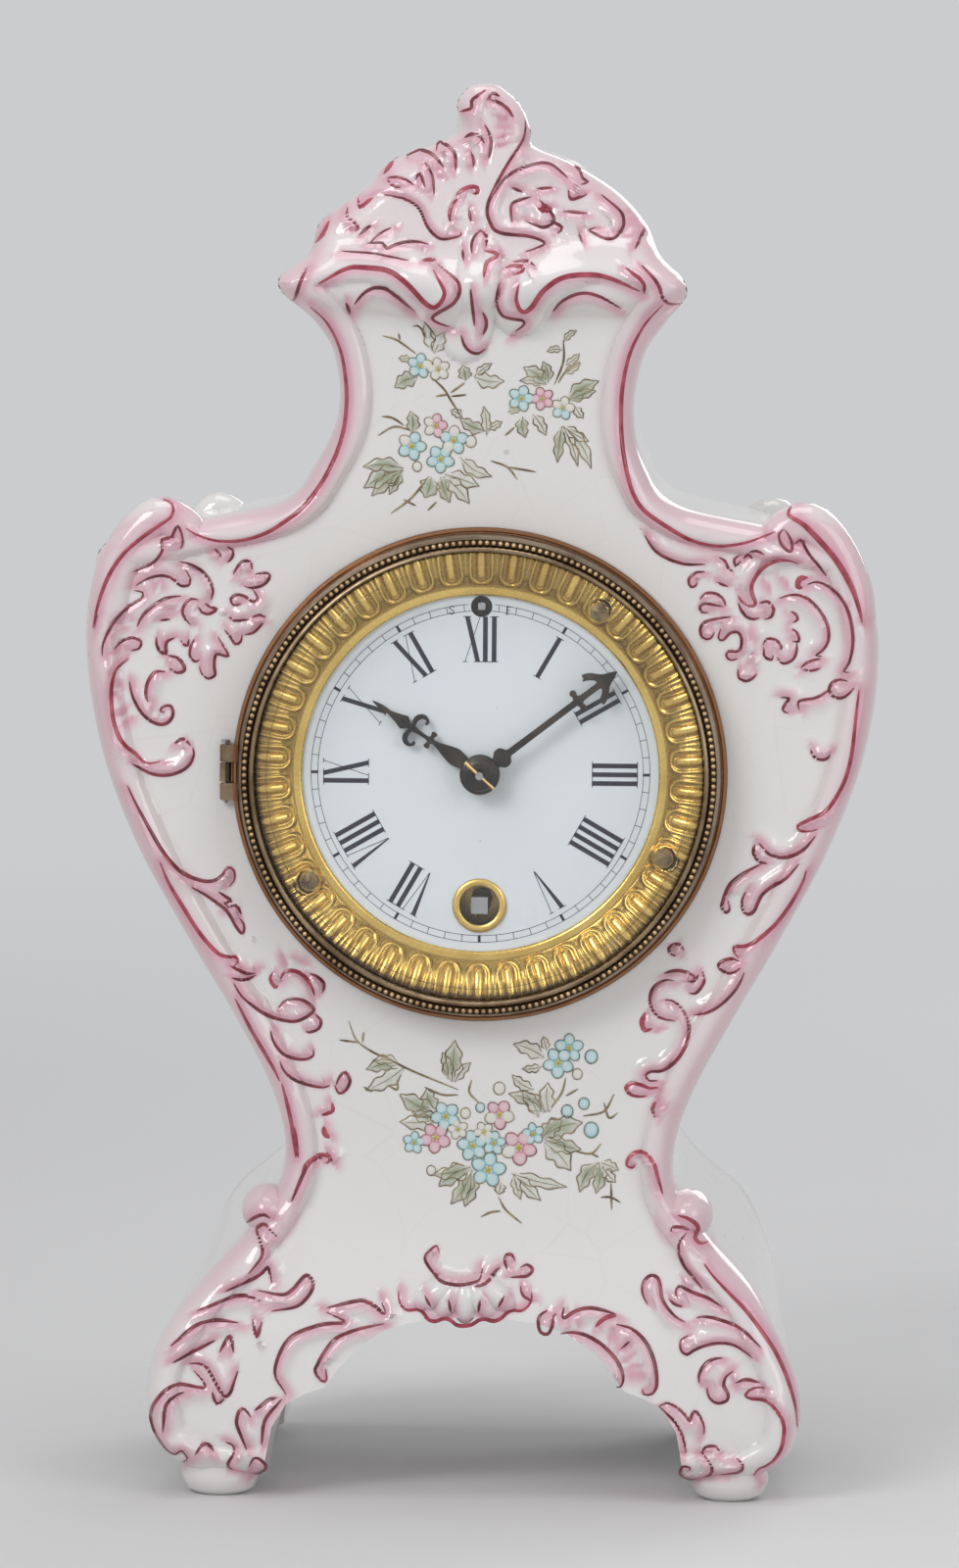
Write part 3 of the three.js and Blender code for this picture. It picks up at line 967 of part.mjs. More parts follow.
add("regulator_screw", join(
  rodUp(REGULATOR.screw, slideBore + 2, cockShelfZ + COCK.gauge, 0, PENDULUM.y),
  rodUp(REGULATOR.crown, crownZ, crownZ + REGULATOR.crownGauge, 0, PENDULUM.y, SIDES.small)), STEEL);
const slideFront = PENDULUM.y - SLIDE.depth / 2;
add("regulator_slide", cut(
  block(-SLIDE.halfWidth, SLIDE.halfWidth, slideFront, slideFront + SLIDE.depth, slideLow, slideHigh),
  rodUp(REGULATOR.screw + RUN, slideBore, slideHigh + 1, 0, PENDULUM.y)), BRASS);
const stripTop = slideLow - SEAT;
const rodTop = palletZ - SPRING_TOP;
const bobZ = palletZ - PENDULUM.length;
add("suspension_spring", block(-PENDULUM.strip / 2, PENDULUM.strip / 2,
  PENDULUM.y - PENDULUM.stripWidth / 2, PENDULUM.y + PENDULUM.stripWidth / 2,
  rodTop + SEAT, stripTop), STEEL);
const bobTop = bobZ + PENDULUM.bobRadius;
add("pendulum_rod", join(
  rodUp(PENDULUM.rod, bobTop + SEAT, rodTop, 0, PENDULUM.y),
  rodUp(1.7 * PENDULUM.rod, rodTop - 5, rodTop, 0, PENDULUM.y)), STEEL);
const halfBob = PENDULUM.bobThickness / 2;
add("pendulum_bob", turned([
  [0, PENDULUM.y - halfBob], [PENDULUM.bobRadius * 0.6, PENDULUM.y - halfBob * 0.7],
  [PENDULUM.bobRadius, PENDULUM.y - 0.5], [PENDULUM.bobRadius, PENDULUM.y + 0.5],
  [PENDULUM.bobRadius * 0.6, PENDULUM.y + halfBob * 0.7], [0, PENDULUM.y + halfBob],
], 0, bobZ, SIDES.medium), BRASS);

// Back ring and hinged back door
const backRingFront = CASE.back + SEAT;
const backRingBack = backRingFront + BACK_RING.gauge;
const doorFront = backRingBack + SEAT;
const doorHingeX = BACK_RING.outer + HINGE.knuckle;
const doorHingeY = doorFront + DOOR.gauge;
const doorLeaf = block(BACK_RING.outer - 1.4, doorHingeX, backRingFront, backRingBack,
  DIAL_HEIGHT - leafHalf, DIAL_HEIGHT + leafHalf);
const ringKnuckle = join(knuckle(-leafHalf, leafHalf, doorHingeX, doorHingeY),
  block(doorHingeX - 0.7, doorHingeX + 0.7, backRingFront, doorHingeY - HINGE.pin - SEAT - 0.1,
    DIAL_HEIGHT - leafHalf, DIAL_HEIGHT + leafHalf));
add("back_ring", cut(join(
  ringOf(BACK_RING.inner, BACK_RING.outer, backRingFront, backRingBack, 0, DIAL_HEIGHT, SIDES.large),
  doorLeaf, ringKnuckle),
pinSpace(doorHingeX, doorHingeY),
...caseScrewPlaces.map((x) => rod(CASE_SCREW.radius + SEAT, CASE.back, doorFront, x, DIAL_HEIGHT))), BRASS);
const doorArm = (z0, z1) => block(DOOR.radius - 1, doorHingeX, doorFront, doorFront + DOOR.gauge, z0, z1);
const doorPlate = turned([
  [0, doorFront + DOOR.dish], [DOOR.dishRadius, doorFront + DOOR.dish],
  [DOOR.dishRadius + 1.6, doorFront], [DOOR.radius, doorFront], [DOOR.radius, doorFront + DOOR.gauge],
  [DOOR.dishRadius + 2.4, doorFront + DOOR.gauge],
  [DOOR.dishRadius + 0.6, doorFront + DOOR.dish + DOOR.gauge],
  [0, doorFront + DOOR.dish + DOOR.gauge],
], 0, DIAL_HEIGHT, SIDES.large);
const doorBack = doorFront + DOOR.dish + DOOR.gauge;
add("back_door", cut(join(doorPlate, ...outerKnuckles(doorHingeX, doorHingeY, doorArm)),
  pinSpace(doorHingeX, doorHingeY)), BRASS);
add("back_door_hinge_pin", upright(pinProfile, doorHingeX, doorHingeY), STEEL);
add("back_door_knob", turned([
  [0, doorBack + SEAT], [KNOB.neck, doorBack + SEAT], [KNOB.neck, doorBack + SEAT + 0.6],
  [KNOB.radius, doorBack + SEAT + 1], [KNOB.radius * 0.8, doorBack + SEAT + KNOB.length],
  [0, doorBack + SEAT + KNOB.length + 0.3],
], KNOB.inset - DOOR.radius, DIAL_HEIGHT), BRASS);
["left", "right"].forEach((side, i) => {
  const headFront = backRingBack + SEAT;
  add(`case_screw_${side}`, turned([
    [0, panBack + SEAT], [CASE_SCREW.radius, panBack + SEAT], [CASE_SCREW.radius, headFront],
    [CASE_SCREW.head, headFront], [CASE_SCREW.head, headFront + CASE_SCREW.headHeight],
    [0, headFront + CASE_SCREW.headHeight],
  ], -caseScrewPlaces[i], DIAL_HEIGHT), STEEL);
});

export default group;
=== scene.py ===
# Porcelain mantel clock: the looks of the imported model, in metres, in the model's own frame.
# The sections go from the porcelain case, with what is painted on it, through the bezel, its glass,
# the surround, the dial and the hands to the movement and the back, and end with the studio.
import math

import bmesh
import bpy
import numpy as np
from mathutils import Matrix, Vector


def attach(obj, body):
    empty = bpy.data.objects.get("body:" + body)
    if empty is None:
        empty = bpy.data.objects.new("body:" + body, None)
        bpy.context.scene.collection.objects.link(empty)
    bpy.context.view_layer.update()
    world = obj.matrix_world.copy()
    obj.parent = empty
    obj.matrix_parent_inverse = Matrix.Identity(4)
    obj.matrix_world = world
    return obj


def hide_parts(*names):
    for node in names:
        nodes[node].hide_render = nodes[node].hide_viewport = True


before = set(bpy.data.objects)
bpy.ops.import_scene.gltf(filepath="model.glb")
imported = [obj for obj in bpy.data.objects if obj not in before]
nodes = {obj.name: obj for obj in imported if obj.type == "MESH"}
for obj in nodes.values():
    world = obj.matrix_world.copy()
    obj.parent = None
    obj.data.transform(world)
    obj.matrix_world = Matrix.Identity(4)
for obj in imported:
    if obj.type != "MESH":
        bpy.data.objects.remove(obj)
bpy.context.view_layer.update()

# Porcelain case: one hollow casting in white clay, pressed in a mould, with its scrolls and rims
# modelled in relief, glazed, and tinted rose on the raised parts. It stands on four feet and holds
# everything else.
MM = 0.001
PANEL_ROWS = [
    # height, left and right edge of the front, half-width of the back, front face, back face
    (4, 59.5, 59.5, 60.5, -50.6, 49),
    (9, 66.8, 67, 64, -53.4, 51),
    (16, 70, 70, 65.8, -54.6, 51.5),
    (25, 70.9, 69.8, 66, -54.4, 51.5),
    (35.5, 67.4, 65.7, 65, -53, 51.5),
    (46, 59.9, 59.9, 62.2, -50.2, 51),
    (56, 50.6, 50.8, 57.2, -47.2, 50.5),
    (66, 43.6, 43.4, 46, -45.6, 50),
    (76, 41.8, 42.7, 40.5, -45, 50),
    (88, 45, 46.6, 42.5, -45, 50),
    (104, 53.3, 55.2, 50, -45, 50),
    (120, 63, 64.4, 59, -45, 50),
    (141, 74.6, 75.4, 70, -45, 50),
    (162, 82.3, 82.9, 77, -45, 50),
    (184, 85.55, 85.55, 80, -45, 50),
    (199, 83.7, 82.6, 78, -45, 50),
    (206.5, 79.5, 78.5, 73, -45, 49),
    (210.5, 62, 61, 57, -45, 47.5),
    (214.5, 44, 42.5, 41, -45, 47),
    (222, 36.7, 35.4, 35, -45, 47),
    (234, 31.3, 32.4, 30.5, -45, 47),
    (247, 32.4, 34.6, 31.5, -45, 45),
    (254, 36.8, 39.2, 33, -46.5, 38),
    (259.5, 42.8, 43.4, 33, -51.5, 24),
    (263, 43.6, 43, 33, -52, 6),
    (268, 37.6, 38, 34, -48.5, -22),
    (275, 35.2, 34.6, 34, -46.5, -31),
    (281.9, 25.9, 28.2, 27, -45.2, -30.5),
    (288.3, 20, 17.6, 19, -44, -29.5),
    (291.4, 11.8, 10.2, 11, -43.5, -29),
    (294.6, 5.6, 9.7, 7, -43, -28.5),
    (300.5, 6.2, 7.2, 6, -42, -28.5),
    (304, 3.6, 3, 3, -40.5, -30),
    (304.8, 1.4, 1.4, 1.4, -38.5, -32),
]
CORNER, RIM, RIM_RISE = 6.0, 7.0, 2.6


def between_rows(rows, at):
    """Values at heights between the rows: a cubic through each pair of rows, whose slope at a row
    is the chord from the row before it to the row after it."""
    table = np.array(rows, float)
    z = table[:, 0]
    slope = np.zeros_like(table)
    slope[1:-1] = (table[2:] - table[:-2]) / (z[2:] - z[:-2])[:, None]
    slope[0] = (table[1] - table[0]) / (z[1] - z[0])
    slope[-1] = (table[-1] - table[-2]) / (z[-1] - z[-2])
    i = np.clip(np.searchsorted(z, at, side="right") - 1, 0, len(z) - 2)
    span = (z[i + 1] - z[i])[:, None]
    t = np.clip((at - z[i])[:, None] / span, 0, 1)
    a, b = table[i], table[i + 1]
    return ((2 * t**3 - 3 * t**2 + 1) * a + (t**3 - 2 * t**2 + t) * span * slope[i]
            + (3 * t**2 - 2 * t**3) * b + (t**3 - t**2) * span * slope[i + 1])[:, 1:]


def smooth_path(points, step):
    """Points along a Catmull-Rom curve through the given ones, about a step apart: between two
    points the curve is the cubic that leaves each along the chord of its neighbours."""
    p = np.array(points, float)
    p = np.vstack([2 * p[0] - p[1], p, 2 * p[-1] - p[-2]])
    out = []
    for i in range(1, len(p) - 2):
        n = max(2, int(np.ceil(np.linalg.norm(p[i + 1] - p[i]) / step)))
        t = np.linspace(0, 1, n, endpoint=False)[:, None]
        out.append(0.5 * ((2 * p[i]) + (p[i + 1] - p[i - 1]) * t
                          + (2 * p[i - 1] - 5 * p[i] + 4 * p[i + 1] - p[i + 2]) * t**2
                          + (3 * p[i] - p[i - 1] - 3 * p[i + 1] + p[i + 2]) * t**3))
    return np.vstack(out + [p[-2:-1]])


def distance_to(path, points):
    """Distance of each point to a polyline, which side of it the point is on (positive to the left
    of the way it runs), and how far along it the nearest place is, from 0 to 1."""
    best = np.full(len(points), 1e9)
    side = np.zeros(len(points))
    along = np.zeros(len(points))
    for i in range(len(path) - 1):
        a, ab = path[i], path[i + 1] - path[i]
        rel = points - a
        t = np.clip(rel @ ab / max(ab @ ab, 1e-9), 0, 1)
        gap = rel - t[:, None] * ab
        d = np.hypot(gap[:, 0], gap[:, 1])
        near = d < best
        best[near] = d[near]
        side[near] = np.sign(ab[0] * rel[near, 1] - ab[1] * rel[near, 0])
        along[near] = (i + t[near]) / (len(path) - 1)
    return best, side, along


def mesh_piece(name, points, faces, smooth=True, sharp=None):
    """A mesh object from points in millimetres and arrays of faces, each array of one corner count."""
    mesh = bpy.data.meshes.new(name)
    points = np.asarray(points, np.float32) * MM
    faces = [np.asarray(f, np.int32) for f in (faces if isinstance(faces, list) else [faces])]
    corners = np.concatenate([f.ravel() for f in faces])
    counts = np.concatenate([np.full(len(f), f.shape[1], np.int32) for f in faces])
    mesh.vertices.add(len(points))
    mesh.vertices.foreach_set("co", points.ravel())
    mesh.loops.add(len(corners))
    mesh.loops.foreach_set("vertex_index", corners)
    mesh.polygons.add(len(counts))
    mesh.polygons.foreach_set("loop_start", np.concatenate([[0], np.cumsum(counts)[:-1]]).astype(np.int32))
    mesh.polygons.foreach_set("use_smooth", np.full(len(counts), smooth))
    mesh.update(calc_edges=True)
    mesh.validate()
    if sharp is not None:
        mesh.set_sharp_from_angle(angle=math.radians(sharp))
    piece = bpy.data.objects.new(name, mesh)
    bpy.context.scene.collection.objects.link(piece)
    return piece


def grid_faces(rows, columns, wrap_columns=False, wrap_rows=False, start=0):
    """Quads between neighbouring rows and columns of a grid of points."""
    r = np.arange(rows if wrap_rows else rows - 1)
    c = np.arange(columns if wrap_columns else columns - 1)
    r, c = [x.ravel() for x in np.meshgrid(r, c, indexing="ij")]
    r2, c2 = (r + 1) % rows, (c + 1) % columns
    return np.c_[r * columns + c, r * columns + c2, r2 * columns + c2, r2 * columns + c] + start


def applied(piece):
    """The piece with its modifiers worked into its mesh for good."""
    bpy.context.view_layer.update()
    made = bpy.data.meshes.new_from_object(piece.evaluated_get(bpy.context.evaluated_depsgraph_get()))
    if len(made.vertices) == 0:
        raise RuntimeError("a cut left nothing of " + piece.name)
    made.materials.clear()
    piece.modifiers.clear()
    old, piece.data = piece.data, made
    bpy.data.meshes.remove(old)
    return piece


def worked(piece, kind, *tools):
    """The piece with other closed meshes added to it or cut from it, one after another."""
    for tool in tools:
        modifier = piece.modifiers.new("work", "BOOLEAN")
        modifier.solver = "MANIFOLD"
        modifier.operation = kind
        modifier.object = tool
        applied(piece)
        bpy.data.objects.remove(tool)
    return piece


# The case is built level by level, an equal way apart along the outline, and its front carries the
# raised rim and the scrolls as a height over the panel.
COLUMNS, ARC_COLUMNS, SIDE_COLUMNS, BACK_COLUMNS = 210, 8, 9, 18
LEVEL_STEP = 0.88
ROLLS = [
    # radius, rise over the panel, then the route: the brow's two arms and the stalk between them
    (5.2, 3.6, "-44.4,260.4 -40.4,264.2 -33,266.6 -25,267.4 -17,265.4 -12,260.6 -9,256.6"),
    (5.2, 3.6, "44.4,260.6 40.4,264.4 33,267 24,267.8 15.4,264.8 10.4,260.4 7.6,256"),
    (4.6, 2.4, "-0.6,268 -1.2,260 -2.6,253 -4,249.6"),
]


def route(text):
    """Points from a text of x,z pairs with spaces between."""
    return np.array([[float(v) for v in pair.split(",")] for pair in text.split()])


def case_levels():
    """Heights so spaced that neighbours are an equal way apart along the front's outline."""
    z = np.linspace(PANEL_ROWS[0][0], PANEL_ROWS[-1][0], 4001)
    rows = between_rows(PANEL_ROWS, z)
    way = np.hypot(np.diff(z), 0.5 * (np.abs(np.diff(rows[:, 0])) + np.abs(np.diff(rows[:, 1]))))
    way = np.concatenate([[0], np.cumsum(way)])
    return np.interp(np.linspace(0, way[-1], int(way[-1] / LEVEL_STEP)), way, z)


def outline_gap(x, z, rows, levels):
    """True distance of front points from the front's outline."""
    left = np.c_[-rows[:, 0], levels][::2]
    right = np.c_[rows[:, 1], levels][::2]
    edge = np.vstack([left, right[::-1], left[:1]])
    return distance_to(edge, np.c_[x, z])[0]


def stroke_field(x, z, strokes):
    """Relief and tint of the scrollwork at front points. Beside every painted line the clay stands
    up as a soft ridge on the line's inner side, and a narrow groove runs under the line itself."""
    relief = np.zeros_like(x)
    groove = np.zeros_like(x)
    tint = np.zeros_like(x)
    points = np.c_[x, z]
    for width, hand, height, path in strokes:
        low, high = path.min(axis=0) - 7, path.max(axis=0) + 7
        near = np.flatnonzero(np.all((points > low) & (points < high), axis=1))
        gap, side, along = distance_to(path, points[near])
        ends = np.clip(np.minimum(along, 1 - along) * 6, 0.25, 1)
        off = gap * np.where(side == hand, 1, -1)
        ridge = 1.35 * height * np.exp(-((off - 1.5) / 1.4) ** 2) * ends
        relief[near] = np.maximum(relief[near], ridge)
        groove[near] = np.maximum(groove[near], 0.35 * np.exp(-(gap / 0.5) ** 2))
        fade = np.where(off > 0, np.exp(-(off / 2.3) ** 2), 0.7 * np.exp(-(off / 0.7) ** 2))
        tint[near] = np.maximum(tint[near], fade)
    return relief - groove, tint


def smooth_rise(value, low, high):
    """0 below low, 1 above high, and a smooth step between."""
    t = np.clip((value - low) / (high - low), 0, 1)
    return t * t * (3 - 2 * t)


